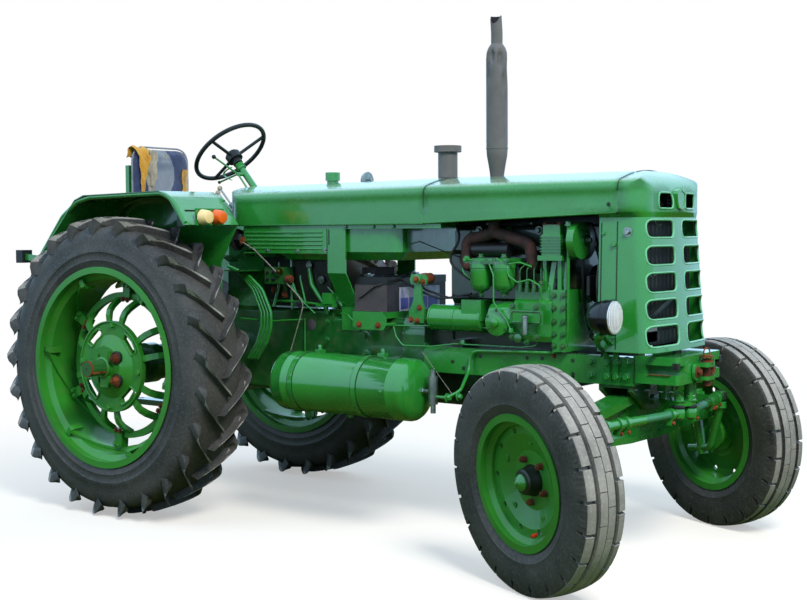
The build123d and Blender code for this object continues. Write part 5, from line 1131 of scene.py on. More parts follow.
def headlamp():
    """The one headlamp: a bullet-shaped shell with a seam ring, a glass painted pale as a sky reflection with
    ribs painted near white as highlights, and two green straps.
    """
    middle = np.array((front_axle + 0.06, -0.43, 1.082))
    shell = Shell()
    body = mm((3, -66), (26, -63), (46, -50), (61, -28), (69, 0), (71.5, 12), (72.8, 12.5), (72.8, 16),
              (71.8, 16.5), (73.5, 38), (74.8, 38.5), (74.8, 50), (70, 54))
    turned(shell, body, middle, FORWARD, 56, 0)
    bowl = mm((68.5, 53.5), (52, 28.5), (20, 12), (0.6, 9), (0.6, 6), (22, 8), (55, 26), (71, 51))
    glass = mm((69, 53.5), (67, 56.5), (45, 60.5), (20, 61.8), (0.8, 62))
    turned(shell, glass, middle, FORWARD, 56, 1)
    ring_of(shell, bowl, middle + 0.002 * FORWARD, FORWARD, 56, 2)
    # pressed ribs of the glass, painted near white as highlights
    for across in np.linspace(-0.054, 0.054, 10):
        high = np.linspace(-1, 1, 9) * np.sqrt(0.062**2 - across**2)
        bulge = 0.0617 - 0.0012 * (across**2 + high**2) / 0.001
        rib = middle + np.column_stack((bulge, np.full(9, across), high))
        swept(shell, rib, disc_outline(0.0019, 6), 5)
    for strap in (
        mm((2552, -224, 810), (2552, -224, 925), (2578, -390, 1000), (2600, -430, 1008)),
        mm((2511, -224, 810), (2511, -224, 900), (2535, -370, 970), (2592, -430, 1000)),
    ):
        route = rounded([spot(*point) for point in strap], 0.03)
        swept(shell, route, bar_outline(0.005, 0.024), 3, up=FORWARD)
    foot = mm((20, -6), (22, 6), (14, 16))
    turned(shell, foot, middle + (-0.02, 0, -0.082), UP, 18, 3)
    lead = (middle + (-0.05, 0.02, -0.035), middle + (-0.09, 0.05, -0.08))
    pipe(shell, (*lead, spot(2.53, -0.3, 0.93), spot(2.49, -0.235, 0.9)), 0.005, 0.03, 4)
    names = "lamp_shell glass mirror green rubber glass_rib"
    shell.make("right_headlamp", coats(names), "chassis", ["headlamp"])


def marker_lamps():
    """Lamps on the fenders: a cream and an orange drum ahead, a black box with a red face behind."""
    shell = Shell()
    drum = mm((38.5, 0), (39.5, 4), (37.5, 12), (33, 42), (30, 50), (26.5, 51.5), (20, 54), (0.6, 54))
    for _, side in sides:
        face = fore(0.512) + 0.0003
        block(shell, (face, side * 0.5, 1.474), (face + 0.006, side * 0.694, 1.556), 0)
        for across, mark in mm((650, 1000), (557, 2000)):
            middle = np.array((face + 0.006, side * across, 1.513))
            turned(shell, mm((40, -1), (40, 4), (37, 6)), middle, FORWARD, 36, 3)
            turned(shell, drum, middle, FORWARD, 40, mark)
            screw = middle + (0.026, side * 0.032, 0.004)
            bolt_head(shell, screw, LEFT * side, 0.004, mark=4, washer=False)
        back = spot(-0.821, side * 0.69, 1.312)
        block(shell, back - (0.026, 0.033, 0.034), back + (0.029, 0.033, 0.036), 3)
        block(shell, back - (0.0285, 0.03, 0.03), back - (0.025, -0.03, -0.03), 5)
        strap = [spot(x, side * 0.7, z) for x, z in mm((-600, 1300), (-660, 1300), (-800, 1312))]
        swept(shell, strap, bar_outline(0.005, 0.034), 0, up=UP)
        bolts(shell, -side * LEFT, 0.013, 4, (-0.62, side * 0.7, 1.30))
    names = "green cream orange black zinc red_lens"
    shell.make("fender_marker_lamps", coats(names), "chassis", ["fender_lamps"])


def lever_set():
    """Gear levers in their green boss and the hand throttle on its pivot."""
    shell = Shell()
    pivot, arm, boss = mm((188, -52, 1752), (300, -235, 1505), (210, -84, 1504))
    hub = mm((20, 0), (28, 4), (30, 12), (30, 75), (24, 80))
    discs(shell, hub, FORWARD, 28, 0, arm)
    discs(shell, mm((24, 78), (33, 80), (33, 98), (26, 100)), FORWARD, 28, 3, arm)
    swept(shell, (spot(*boss) + 0.02 * FORWARD, spot(*arm) + 0.03 * FORWARD), disc_outline(0.014, 14), 0)
    stub = mm((26, 0), (31, 4), (34, 12), (34, 50), (30, 54), (30, 88))
    discs(shell, stub, FORWARD, 32, 0, boss)
    for foot, knob in (
        mm((238, -72, 1500), (83, -84, 1677)),
        mm((238, -96, 1500), (88, -104, 1652)),
    ):
        way = unit(spot(*knob) - spot(*foot))
        discs(shell, mm((16, 0), (16, 35), (7.5, 55), (6, 60)), way, 20, 0, foot)
        bar(shell, disc_outline(0.0055, 12), 1, foot, knob)
        discs(shell, ball_profile(0.0138, 11), way, 24, 2, knob)
    centre = spot(*pivot)
    turned(shell, mm((10.8, 0), (10.8, 34), (8, 40)), centre + (0, 0.034, 0), -LEFT, 20, 0)
    for end, radius in (((0.111, -0.155, 1.843), 0.0118), ((0.053, -0.056, 1.711), 0.009)):
        bar(shell, disc_outline(0.0052), 0, pivot, end)
        discs(shell, ball_profile(radius), unit(spot(*end) - centre), 20, 3, end)
    pipe(shell, (centre, spot(0.225, -0.056, 1.715), spot(0.288, -0.056, 1.64)), 0.0052, 0.02, 0)
    arc = np.linspace(0, 1, 10)
    guide = (fore(0.15) - 0.06 * np.sin(np.pi * arc), np.full(10, -0.06), 1.79 - 0.07 * arc)
    swept(shell, np.stack(guide, 1), bar_outline(0.003, 0.012), 0, up=-LEFT)
    names = "green zinc knob bakelite"
    shell.make("gear_levers_and_hand_throttle", coats(names), "chassis", ["control_levers"])


def fender_edges():
    """Rolled edges of the fenders, and their brackets and bolts."""
    shell = Shell()
    top = mm((-655, 1252), (-406, 1530), (-285, 1606), (-181, 1626), (345, 1636), (424, 1600), (505, 1490))
    for _, side in sides:
        path = rounded([spot(x, side * 0.752, z - 0.004) for x, z in top], 0.12, 8)
        swept(shell, path, disc_outline(0.0125, 12), 0)
        inner = rounded([spot(x, side * 0.398, z - 0.002) for x, z in top[:-1]], 0.12, 8)
        swept(shell, inner, disc_outline(0.006, 8), 0)
        slab(shell, 1, (0.40, side * 0.705, 1.47), (0.46, side * 0.64, 1.55))
        places = ((x, side * 0.379, z) for x in (-0.45, -0.1, 0.25) for z in (1.18, 1.36))
        bolts(shell, -side * LEFT, 0.015, 0, *places)
    shell.make("fender_rolled_edges", coats("green grime"), "chassis")


# ---------------------------------------------------------------- engine bay

GREEN_PIPES = (
    # radius, bend, corners as (distance, y, height), in millimetres
    (7.5, 50, (1725, -400, 690), (1800, -400, 690), (1845, -360, 720), (1810, -238, 800),
     (1818, -232, 890), (2250, -232, 902), (2318, -232, 925), (2335, -250, 1050), (2342, -262, 1474)),
    (4.5, 30, (406, -270, 992), (620, -262, 985), (788, -225, 997)),
    (3.5, 20, (773, -186, 1000), (771, -186, 830)),
    (3.5, 20, (1180, -256, 1000), (1340, -252, 990), (1600, -250, 998), (1980, -250, 1000)),
    (3.5, 30, (1385, -250, 990), (1400, -250, 940), (1435, -245, 898), (1600, -235, 900),
     (1720, -225, 917), (2080, -225, 918), (2170, -235, 930), (2185, -250, 1000)),
    (4, 30, (1840, -300, 1310), (1960, -305, 1300), (1990, -310, 1240), (1990, -310, 1120),
     (2050, -300, 1045), (2070, -290, 990)),
    (4, 25, (2000, -300, 1316), (2050, -300, 1290), (2120, -300, 1300), (2170, -280, 1280)),
    (4, 25, (2055, -300, 1300), (2060, -300, 1240), (2110, -300, 1210), (2170, -300, 1225),
     (2215, -290, 1200), (2225, -280, 1130)),
    (4, 40, (1790, -200, 1440), (1770, -210, 1340), (1760, -220, 1250), (1860, -220, 1190)),
    (4, 40, (640, -225, 1180), (700, -225, 1180), (800, -220, 1080), (870, -220, 1030)),
    (4, 20, (1020, -200, 1035), (1100, -240, 1030), (1170, -260, 985)),
)
BLACK_CABLES = (
    # radius, bend, corners as (distance, y, height), in millimetres
    (5.5, 40, (1170, -200, 1214), (1300, -100, 1210), (1500, -190, 1155), (1620, -215, 1125),
     (1800, -215, 1135)),
    (5.5, 40, (1200, -170, 1220), (1340, -50, 1220), (1520, -170, 1160), (1680, -210, 1128),
     (1800, -200, 1150)),
    (6, 60, (1690, -160, 1470), (1740, -200, 1400), (1660, -200, 1300), (1780, -200, 1220),
     (1880, -200, 1180)),
    (3, 30, (2440, -120, 1400), (2470, -180, 1280), (2500, -220, 1100), (2530, -235, 1030)),
    (2.5, 30, (950, 100, 1280), (1400, -100, 1400), (1660, -160, 1330), (1720, -170, 1315)),
)
WIRE_ROPES = (
    # radius, bend, corners as (distance, y, height), in millimetres
    (3.2, 50, (436, -300, 1395), (530, -295, 1350), (658, -270, 1235), (782, -250, 1120),
     (817, -245, 1076), (790, -245, 1000), (730, -250, 835)),
    (1.6, 50, (1540, -230, 870), (1760, -300, 690)),
)


def add_pipes(shell, table, mark):
    """Round pipes from a table of (radius, bend, corners) in millimetres."""
    for radius, bend, *corners in table:
        pipe(shell, [spot(*corner) for corner in mm(*corners)], radius / 1000, bend / 1000, mark)


def pipes_and_cables():
    """Air, fuel, brake and hydraulic pipes, battery leads and the pull rope, all held at both ends.

    Each is a circle carried along straight runs joined by arcs."""
    shell = Shell()
    for mark, table in enumerate((GREEN_PIPES, BLACK_CABLES, WIRE_ROPES)):
        add_pipes(shell, table, mark)
    # four hydraulic pipes side by side, curving down behind the wheel
    for shift in 0.021 * np.arange(4):
        corners = (
            (0.34, -0.29, 1.262 - 0.3 * shift), (0.42, -0.29, 1.235 - 0.3 * shift), (0.51, -0.285, 1.145),
            (0.563, -0.28, 1.03), (0.562, -0.28, 0.95), (0.53, -0.28, 0.87), (0.46, -0.27, 0.79),
        )
        pipe(shell, [spot(x + shift, y, z) for x, y, z in corners], 0.0092, 0.09, 0, 12)
    # union nuts
    for size, way, *places in (
        (0.018, -LEFT, (1.84, -0.30, 1.31)),
        (0.018, UP, (2.07, -0.29, 0.99)),
        (0.016, UP, (2.185, -0.25, 1.0)),
        (0.02, FORWARD, (1.86, -0.4, 0.7)),
        (0.022, FORWARD, (1.80, -0.4, 0.69)),
        (0.02, UP, (2.342, -0.262, 1.46), (1.76, -0.215, 0.918)),
        (0.014, FORWARD, (1.98, -0.25, 1.0)),
    ):
        bolts(shell, way, size, 0, *places, height=0.016)
    shell.make("pipes_and_cables", coats("green rubber cable"), "chassis")


# marks of the engine bay's mesh, in the order of its finishes
GREEN, SHADED_CAST, BLACK, RUST, ZINC, BRASS, LABEL, BLUE, DUSTY, HOT, GRIME_AND_SHADE = range(11)


def filter_fittings(shell):
    """The fuel filters' bowls, each with a neck and a drain, under one cast head."""
    bowl = mm((9, -140), (11, -128), (30, -120), (44, -104), (50, -88), (50.5, -20), (53, -18), (53, -4),
              (46, 0))
    neck = mm((50, 0), (47, 12), (20, 16), (14, 30), (12, 34))
    for x in (1.897, 2.019):
        top = spot(x, -0.268, 1.29)
        turned(shell, bowl, top, UP, 36, GREEN)
        turned(shell, neck, top, UP, 28, SHADED_CAST)
        bolt_head(shell, top + (0, 0, 0.03), UP, 0.02, mark=SHADED_CAST)
        bolt_head(shell, top + (0, 0, -0.139), -UP, 0.014, mark=SHADED_CAST)
    slab(shell, SHADED_CAST, (1.86, -0.225, 1.29), (2.06, -0.31, 1.304))
    bolts(shell, UP, 0.016, SHADED_CAST, *((x, -0.285, 1.304) for x in (1.87, 1.94, 1.98, 2.05)))


def port_fittings(shell):
    """The intake cylinder below the manifold and the clamps of the exhaust ports."""
    intake = mm((30, 0), (33, 6), (33, 188), (30, 194))
    discs(shell, intake, FORWARD, 28, BLACK, (1.815, -0.2, 1.352))
    clamp = mm((27.2, -12), (36, -12), (36, 0), (27.2, 0))
    for x in (1.776, 2.132):
        ring_of(shell, clamp, spot(x, -0.158, 1.282), -LEFT, 28, HOT)
        ears = ((x + way * 0.036, -0.159, 1.282 + way * 0.012) for way in (-1, 1))
        bolts(shell, -LEFT, 0.016, RUST, *ears)


def pump_fittings(shell):
    """The injection pump's delivery valves and pipes, its cover, feed pump, plunger and governor."""
    valve = mm((12, 0), (12, 16), (9, 18), (9, 34), (11, 36), (11, 48), (5, 52))
    for index in range(4):
        foot = spot(2.098 + 0.036 * index, -0.262, 1.168)
        turned(shell, valve, foot, UP, 16, SHADED_CAST)
        shift = 0.02 - 0.05 * index / 3
        rise = ((0, 0, 0.05), (0, 0, 0.1), (shift, 0.06, 0.14), (shift, 0.1, 0.15))
        pipe(shell, foot + np.array(rise), 0.003, 0.025, SHADED_CAST, 8)
    slab(shell, GREEN, (2.07, -0.298, 1.03), (2.236, -0.292, 1.09))
    window = mm((2078, 1036), (2228, 1036), (2228, 1084), (2078, 1084))
    frame_line = rounded([spot(x, -0.299, z) for x, z in (*window, *window[:2])], 0.012)
    swept(shell, frame_line[:-4], disc_outline(0.003, 6), SHADED_CAST)
    plunger = mm((13, 0), (13.5, 10), (13.5, 72), (16, 74), (16, 82), (10, 86))
    discs(shell, plunger, UP, 22, ZINC, (2.16, -0.318, 0.985))
    discs(shell, mm((20, 0), (20, 18), (12, 22)), -LEFT, 22, SHADED_CAST, (2.12, -0.3, 0.966))
    places = mm((2075, 970), (2200, 972), (2200, 1100), (2080, 1105), (2150, 950))
    bolts(shell, -LEFT, 0.016, SHADED_CAST, *((x, -0.294, z) for x, z in places))
    governor = mm((62, 0), (60, 10), (30, 16), (20, 18), (18, 30), (8, 34))
    discs(shell, governor, -LEFT, 32, GREEN, (1.995, -0.284, 1.03))
    turns = np.radians(30 + 60 * np.arange(6))
    flange = ((1.995 + 0.053 * np.cos(turn), -0.29, 1.03 + 0.053 * np.sin(turn)) for turn in turns)
    bolts(shell, -LEFT, 0.012, SHADED_CAST, *flange)


def compressor_fittings(shell):
    """The starter's bands; the compressor's fins, bolts, brackets, pulley and belt."""
    band = mm((59.5, -4), (63, -3), (63, 4), (59.5, 4))
    for x in (1.605, 1.74, 1.882):
        ring_of(shell, band, spot(x, -0.216, 1.036), FORWARD, 36, GREEN)
    for z in 1.345 + 0.013 * np.arange(6):
        slab(shell, GREEN, (2.207, -0.272, z), (2.309, -0.166, z + 0.004))
    for x in (2.222, 2.294):
        for y in (-0.255, -0.181):
            bolts(shell, UP, 0.014, RUST, (x, y, 1.464))
            bolts(shell, UP, 0.014, SHADED_CAST, (x, y, 1.33))
    bracket = bar_outline(0.024, 0.008)
    bar(shell, bracket, GREEN, (2.235, -0.245, 1.13), (2.255, -0.225, 1.31), LEFT)
    bar(shell, bracket, GREEN, (2.33, -0.245, 1.12), (2.305, -0.225, 1.31), LEFT)
    pulley = spot(2.362, -0.17, 1.394)
    grooves = mm((30, -20), (81, -20), (81, -16), (70, -9), (81, -2), (81, 2), (70, 9), (81, 16),
                 (81, 20), (30, 20), (20, 26))
    turned(shell, grooves, pulley, FORWARD, 44, BLACK)
    bolt_head(shell, pulley + 0.026 * FORWARD, FORWARD, 0.024, mark=SHADED_CAST)
    # the belt is an ellipse, sheared so that it runs down to the crankshaft on a slant
    turn = np.linspace(0, 2 * np.pi, 40, endpoint=False)
    belt = (np.full(40, fore(2.362)), -0.085 - 0.085 * np.sin(turn + 2.9), 1.22 + 0.25 * np.cos(turn))
    swept(shell, np.stack(belt, 1), bar_outline(0.01, 0.008), BLACK, closed=True)


def engine_covers(shell):
    """The timing case with its bolts; the rocker cover and intake box, painted near black as oil and as the
    shade under the hood.
    """
    slab(shell, GREEN, (2.2575, -0.2526, 0.9095), (2.3226, 0.2526, 1.1806))
    for z in (0.935, 0.985, 1.04, 1.1, 1.155):
        for x in (2.268, 2.312):
            bolts(shell, -LEFT, 0.015, SHADED_CAST, (x, -0.2526, z))
            bolts(shell, LEFT, 0.015, SHADED_CAST, (x, 0.2526, z))
    rocker = rounded(mm((-120, -60), (120, -60), (120, 62), (-120, 62), (-120, -60)), 0.03, 4)
    bar(shell, rocker[:-1], GRIME_AND_SHADE, (1.66, 0, 1.405), (2.33, 0, 1.405), UP)
    cap = mm((20, 0), (20, 4), (10, 5), (10, 10))
    discs(shell, cap, UP, 16, SHADED_CAST, *((x, 0, 1.466) for x in (1.76, 2.0, 2.24)))
    bar(shell, disc_outline(0.032, 20), GRIME_AND_SHADE, (1.72, 0.17, 1.36), (2.28, 0.17, 1.36))
    bolts(shell, -LEFT, 0.02, SHADED_CAST, *((x, -0.135, 1.44) for x in (1.8, 1.96, 2.12, 2.26)))


GEARBOX_RODS = (
    # radius, bend, corners as (distance, y, height), in millimetres
    (11.5, 60, (800, -170, 1320), (817, -200, 1257), (837, -205, 1172), (919, -200, 1069),
     (930, -190, 1030)),
    (6, 20, (690, -190, 1310), (696, -200, 1220), (700, -200, 1045)),
    (6, 20, (745, -160, 1310), (748, -190, 1200), (790, -190, 1050)),
    (8, 30, (600, -180, 1300), (612, -200, 1160), (575, -200, 1055)),
    (5, 20, (840, -160, 1310), (860, -180, 1220), (985, -190, 1115), (1030, -200, 1070)),
    (5, 20, (550, -200, 1254), (620, -200, 1256), (710, -215, 1200), (750, -215, 1110)),
    (7, 20, (550, -190, 1085), (700, -200, 1085), (900, -200, 1075)),
)


def gearbox_fittings(shell):
    """Rods, clevises and bolts between gearbox and panel, and the bearing bracket on the bell housing."""
    add_pipes(shell, GEARBOX_RODS, GREEN)
    slab(shell, ZINC, (0.735, -0.235, 1.06), (0.79, -0.2, 1.085))
    slab(shell, GREEN, (0.88, -0.225, 1.065), (0.99, -0.19, 1.08))
    slab(shell, GREEN, (0.93, -0.235, 1.08), (0.99, -0.195, 1.135))
    slab(shell, GRIME_AND_SHADE, (0.545, -0.205, 1.11), (0.60, -0.17, 1.17))
    slab(shell, SHADED_CAST, (0.64, -0.2, 1.10), (0.665, -0.17, 1.24))
    # painted shade: a dark block that fills the space between gearbox and panel, where shade falls
    slab(shell, GRIME_AND_SHADE, (0.50, -0.19, 1.06), (0.95, -0.15, 1.31))
    for x, z in mm((580, 1140), (655, 1220), (655, 1120), (950, 1110), (900, 1200), (760, 1070),
                   (820, 1270), (710, 1160)):
        bolts(shell, -LEFT, 0.02, RUST if x < 0.7 else ZINC, (x, -0.205, z))
    outline = mm((-52, -205), (32, -205), (32, -130), (18, -90), (18, -25), (45, -22), (50, 0), (40, 26),
                 (-40, 26), (-50, 0), (-42, -22), (-22, -25), (-30, -100), (-55, -150))
    plate(shell, outline, spot(1.512, -0.21, 1.21), FORWARD, UP, 0.012, GREEN)
    discs(shell, mm((20, 0), (20, 12), (12, 16)), -LEFT, 22, GREEN, (1.512, -0.222, 1.212))
    bolts(shell, -LEFT, 0.016, RUST, (1.512, -0.237, 1.212))
    sleeve = mm((24, 0), (26, 6), (26, 70), (22, 78))
    discs(shell, sleeve, LEFT, 24, RUST, (1.515, -0.196, 1.214))
    places = mm((1520, 1078), (1505, 1016), (1470, 1020), (1540, 1200))
    bolts(shell, -LEFT, 0.015, RUST, *((x, -0.223, z) for x, z in places))


def valve_fittings(shell):
    """The seven-cornered plate on two bolts, the hydraulic valve block, the trailer's socket, and the
    gearbox's inspection cover, bosses and seam bolts."""
    corners = mm((-100, -30), (-75, -45), (85, -45), (104, -20), (104, 20), (75, 44), (-100, 44))
    plate(shell, corners, spot(1.275, -0.294, 1.014), FORWARD, UP, 0.004, GREEN)
    slab(shell, DUSTY, (1.172, -0.298, 1.056), (1.342, -0.262, 1.0595))
    for x in (1.215, 1.33):
        bolts(shell, -LEFT, 0.017, RUST, (x, -0.299, 0.992))
        bar(shell, disc_outline(0.008, 10), GREEN, (x, -0.294, 0.992), (x, -0.17, 0.992))
    slab(shell, SHADED_CAST, (0.577, -0.27, 1.175), (0.709, -0.2, 1.262))
    plugs = ((x, -0.27, z) for x in (0.6, 0.64) for z in (1.2, 1.235))
    discs(shell, mm((9, 0), (9, 6), (6, 8)), -LEFT, 14, BLACK, *plugs)
    union = mm((15, 0), (17, 10), (13, 24), (4, 28))
    discs(shell, union, -LEFT, 20, BRASS, (0.688, -0.27, 1.24))
    discs(shell, mm((20, 0), (20, 30), (12, 36)), FORWARD, 18, RUST, (0.715, -0.255, 1.2))
    bolts(shell, FORWARD, 0.06, BLACK, (0.40, -0.285, 1.4), height=0.04)
    slab(shell, DUSTY, (0.405, -0.305, 1.415), (0.44, -0.27, 1.424))
    bolts(shell, FORWARD, 0.022, RUST, (0.445, -0.292, 1.396), height=0.014)
    discs(shell, mm((30, 0), (30, 5), (22, 8)), -LEFT, 8, DUSTY, (0.81, -0.172, 0.968))
    for z in (0.93, 0.84):
        discs(shell, mm((26, 0), (26, 6), (12, 8)), -LEFT, 24, SHADED_CAST, (1.19, -0.212, z))
        bolts(shell, -LEFT, 0.02, SHADED_CAST, (1.19, -0.22, z))
    seam = ((x, -0.205, z) for z in (0.72, 0.81, 0.9, 0.99) for x in (0.936, 1.548))
    bolts(shell, FORWARD, 0.018, SHADED_CAST, *seam)


def battery_fittings(shell):
    """The battery's lid, terminals and plugs, carrying strap, and a label with plain bands."""
    low, high = (np.array(corner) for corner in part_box("battery"))
    front, left, top = high
    block(shell, (low[0] - 0.002, low[1] - 0.002, top - 0.034), high + 0.002, BLACK)
    for y in (low[1] + 0.06, left - 0.06):
        post = mm((11, 0), (9.5, 16), (6, 18))
        turned(shell, post, (low[0] + 0.04, y, top + 0.002), UP, 18, ZINC)
        block(shell, (low[0] + 0.02, y - 0.014, top + 0.003), (low[0] + 0.062, y + 0.014, top + 0.014), ZINC)
    plug = mm((14, 0), (14, 6), (10, 8))
    for index in range(6):
        turned(shell, plug, (low[0] + 0.12, low[1] + 0.075 + index * 0.07, top + 0.002), UP, 18, BLACK)
    block(shell, low + (-0.001, -0.0012, 0.004), (front + 0.001, low[1] + 0.001, top - 0.036), DUSTY)
    block(shell, (front, low[1] + 0.10, low[2] + 0.02), (front + 0.0012, low[1] + 0.44, top - 0.05), LABEL)
    for start, end in mm((110, 170), (180, 240), (250, 330), (340, 420)):
        block(shell, (front + 0.001, low[1] + start, low[2] + 0.034),
              (front + 0.0018, low[1] + end, low[2] + 0.088), BLUE)
    strap = mm((30, -100), (60, -85), (130, -40), (175, -30))
    handle = [(low[0] + x, low[1] - 0.006, top + z) for x, z in strap]
    swept(shell, handle, bar_outline(0.003, 0.014), DUSTY, up=-LEFT)
    block(shell, (low[0] - 0.02, -0.14, top + 0.004), (low[0] + 0.06, 0.02, top + 0.045), DUSTY)


def engine_fittings():
    """Small iron and brass fittings of the engine bay, gearbox and battery, as one mesh."""
    shell = Shell()
    for add in (filter_fittings, port_fittings, pump_fittings, compressor_fittings, engine_covers,
                gearbox_fittings, valve_fittings, battery_fittings):
        add(shell)
    names = "green cast_green black rust zinc brass label blue dusty hot_iron grime"
    shell.make("engine_bay_fittings", coats(names), "chassis")


# ---------------------------------------------------------------- sheet metal and tank


def air_tank_and_straps():
    """The air tank with its dished ends and weld beads, and the two bands that hold it."""
    low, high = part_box("air_tank")
    radius = (high.z - low.z) / 2 - 0.002
    middle = np.array((0.0, (low.y + high.y) / 2, (low.z + high.z) / 2))
    start, end = 0.868, 1.604
    dish = np.linspace(0, np.pi / 2, 8)
    left = [(max(radius * np.sin(a) ** 0.72, 0.0006), start - 0.056 * np.cos(a)) for a in dish]
    right = [(r, end + start - x + 0.004) for r, x in left[::-1]]

    def weld(x):
        """A low bead round the tank, 10 mm wide."""
        bead = mm((0, -5), (1.8, -2), (1.8, 2), (0, 5))
        return [(radius + rise, x + shift) for rise, shift in bead]

    def hoop(x, inner, outer, shift, half, steps, mark):
        """A flat ring round the tank at a distance, between two heights above the tank's radius."""
        low_edge, high_edge = shift - half, shift + half
        outline = ((radius + inner, low_edge), (radius + outer, low_edge), (radius + outer, high_edge),
                   (radius + inner, high_edge))
        ring_of(shell, outline, middle + (fore(x), 0, 0), FORWARD, steps, mark)

    profile = left + weld(start + 0.05) + weld(end - 0.05) + right
    shell = Shell()
    turned(shell, [(r, x + rear_axle) for r, x in profile], middle, FORWARD, 72, 0)
    for x in (0.98, 1.369):
        hoop(x, 0.0002, 0.0035, 0.0, 0.014, 72, 0)
        for way in (-1, 1):
            hoop(x, 0.0002, 0.0022, way * 0.0155, 0.0012, 60, 1)
        foot = middle + (fore(x), 0, 0)
        block(shell, foot + (-0.016, 0.05, 0.118), foot + (0.016, 0.222, 0.124), 0)
        block(shell, foot + (-0.02, 0.07, 0.124), foot + (0.02, 0.105, 0.15), 0)
        bolt_head(shell, foot + (0.0, 0.088, 0.15), UP, 0.016, 0.02, 0)
    drain = mm((12, 0), (12, 12), (8, 14))
    turned(shell, drain, middle + (fore(1.24), 0, -radius), -UP, 16, 0)
    tip = middle + (fore(end + 0.058), 0, 0)
    bolt_head(shell, tip, FORWARD, 0.03, 0.012, 2, washer=False)
    swept(shell, (tip, tip + 0.02 * FORWARD), disc_outline(0.009, 12), 2)
    for place in ((fore(1.36), -radius * 0.86, -radius * 0.5), (fore(1.53), -radius, 0.0)):
        turned(shell, mm((9, -4), (9, 2), (6, 3)), middle + place, -LEFT, 12, 0)
    replaced = ["air_tank", "air_tank_straps"]
    shell.make("air_tank_with_bands", coats("green rubber zinc"), "chassis", replaced)


DENTS = (
    # angle and height of the middle, half widths round (degrees) and up, depth
    (-94, 2.25, 20, 0.03, 0.018), (-34, 2.238, 21, 0.04, 0.02), (-14, 2.13, 13, 0.045, 0.014),
    (-118, 2.19, 12, 0.05, 0.008), (60, 2.2, 30, 0.05, 0.012),
)


def dented_stack():
    """The exhaust stack: a silencer with dents at its top and a pipe cut at a slant.

    The radius is a profile over the height less one bell-shaped dimple for each dent."""
    low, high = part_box("exhaust_stack")
    middle = (low.x + high.x) / 2
    runs = ((low.z, 1.70, 3), (1.715, 1.80, 8), (1.82, 2.08, 8), (2.09, 2.32, 46))
    heights = np.concatenate([np.linspace(*run) for run in runs] + [(2.335, 2.36)])
    levels = (low.z, 1.70, 1.735, 1.79, 1.83, 2.24, 2.27, 2.29, 2.305, 2.31, 2.36)
    radii = (0.033, 0.033, 0.038, 0.048, 0.0505, 0.0505, 0.048, 0.041, 0.031, 0.0272, 0.0272)
    steps = 96
    angle = np.arange(steps) * 2 * np.pi / steps
    circle = np.column_stack((np.cos(angle), np.sin(angle)))
    radius = np.repeat(np.interp(heights, levels, radii)[:, None], steps, 1)
    for turn, height, wide, tall, depth in DENTS:
        away = (np.degrees(angle)[None] - turn + 180) % 360 - 180
        bell = np.exp(-((away / wide) ** 2) - ((heights[:, None] - height) / tall) ** 2)
        radius -= depth * np.clip(1.25 * bell, 0, 1)
    rows = []
    for reach, z in zip(radius, heights):
        rows.append(np.column_stack((circle * reach[:, None] + (middle, 0), np.full(steps, z))))
    # the slanting cut is lowest at one side, and the pipe's end leans a little
    tip = np.minimum(2.402 + 0.0375 * (1 - np.cos(angle + np.radians(88))), high.z - 0.0005)
    lean = np.array((-0.004, -0.002))
    outer, inner = radii[-1], 0.0238
    for wall, drop in ((outer, 0.0), (inner, 0.0), (inner, 0.09)):
        z = tip - drop
        push = np.clip((z - 2.36) / 0.08, 0, 1)[:, None]
        rows.append(np.column_stack((circle * wall + (middle, 0) + push * lean, z)))
    shell = Shell()
    count = len(rows)
    quads = grid_faces(count, steps)
    inside = quads[:, 0] >= (count - 2) * steps
    shell.add(np.concatenate(rows), quads[~inside], np.arange(steps)[::-1])
    shell.add_faces(quads[inside], 1)
    shell.add_faces(((count - 1) * steps + np.arange(steps))[None], 1)
    seam = mm((50.5, -3), (51.8, -2), (51.8, 2), (50.5, 3))
    ring_of(shell, seam, (middle, 0, 1.825), UP, 64, 0)
    shell.make("dented_exhaust_stack", coats("stack rubber"), "chassis", ["exhaust_stack"])


def cover_line(name, x):
    """The outline of a cover across the tractor at one end of it, found from its own points."""
    mesh = nodes[name].data
    points = np.empty(len(mesh.vertices) * 3, np.float32)
    mesh.vertices.foreach_get("co", points)
    points = points.reshape(-1, 3)
    points = points[np.abs(points[:, 0] - x) < 0.0008]
    turn = np.arctan2(points[:, 2] - 1.42, points[:, 1])
    reach = np.hypot(points[:, 2] - 1.42, points[:, 1])
    slots = np.round(turn / 0.035).astype(int)
    keep = [np.flatnonzero(slots == slot)[np.argmax(reach[slots == slot])] for slot in np.unique(slots)]
    return points[keep]


# marks of the sheet metal's mesh, in the order of its finishes
PAINT, DARK, BRIGHT, RUSTY, GLASS, SHADED_GREEN = range(6)
# a dark disc, painted shade that stands for a small hole
HOLE_SHADE = mm((9, 0), (9, 1.2), (6, 1.4))


def cowl_fittings(shell, side, out):
    """Seams of nose and cowl on one side, with a knob, a latch hole painted as a dark disc of shade, and
    bolts.
    """
    for x, low, high in mm((2586, 940, 1475), (2512, 945, 1470)):
        near, far = (side * (0.0015 + cowl_half(z)) for z in (low, high))
        bar(shell, bar_outline(0.0025, 0.003), DARK, (x, near, low), (x, far, high), out)
    seam = ((2.604, side * 0.299, 1.512), (2.604, side * 0.296, 1.6))
    bar(shell, bar_outline(0.0025, 0.003), DARK, *seam, out)
    for x, z, size in mm((2634, 1431, 22), (2573, 1378, 18), (2522, 1425, 12), (2573, 990, 16)):
        bolts(shell, out, size, BRIGHT if x > 2.6 else PAINT, (x, side * cowl_half(z), z))
    holes = ((2.556, side * 0.3, 1.547), (0.552, side * 0.2985, 1.508))
    discs(shell, HOLE_SHADE, out, 16, DARK, *holes)


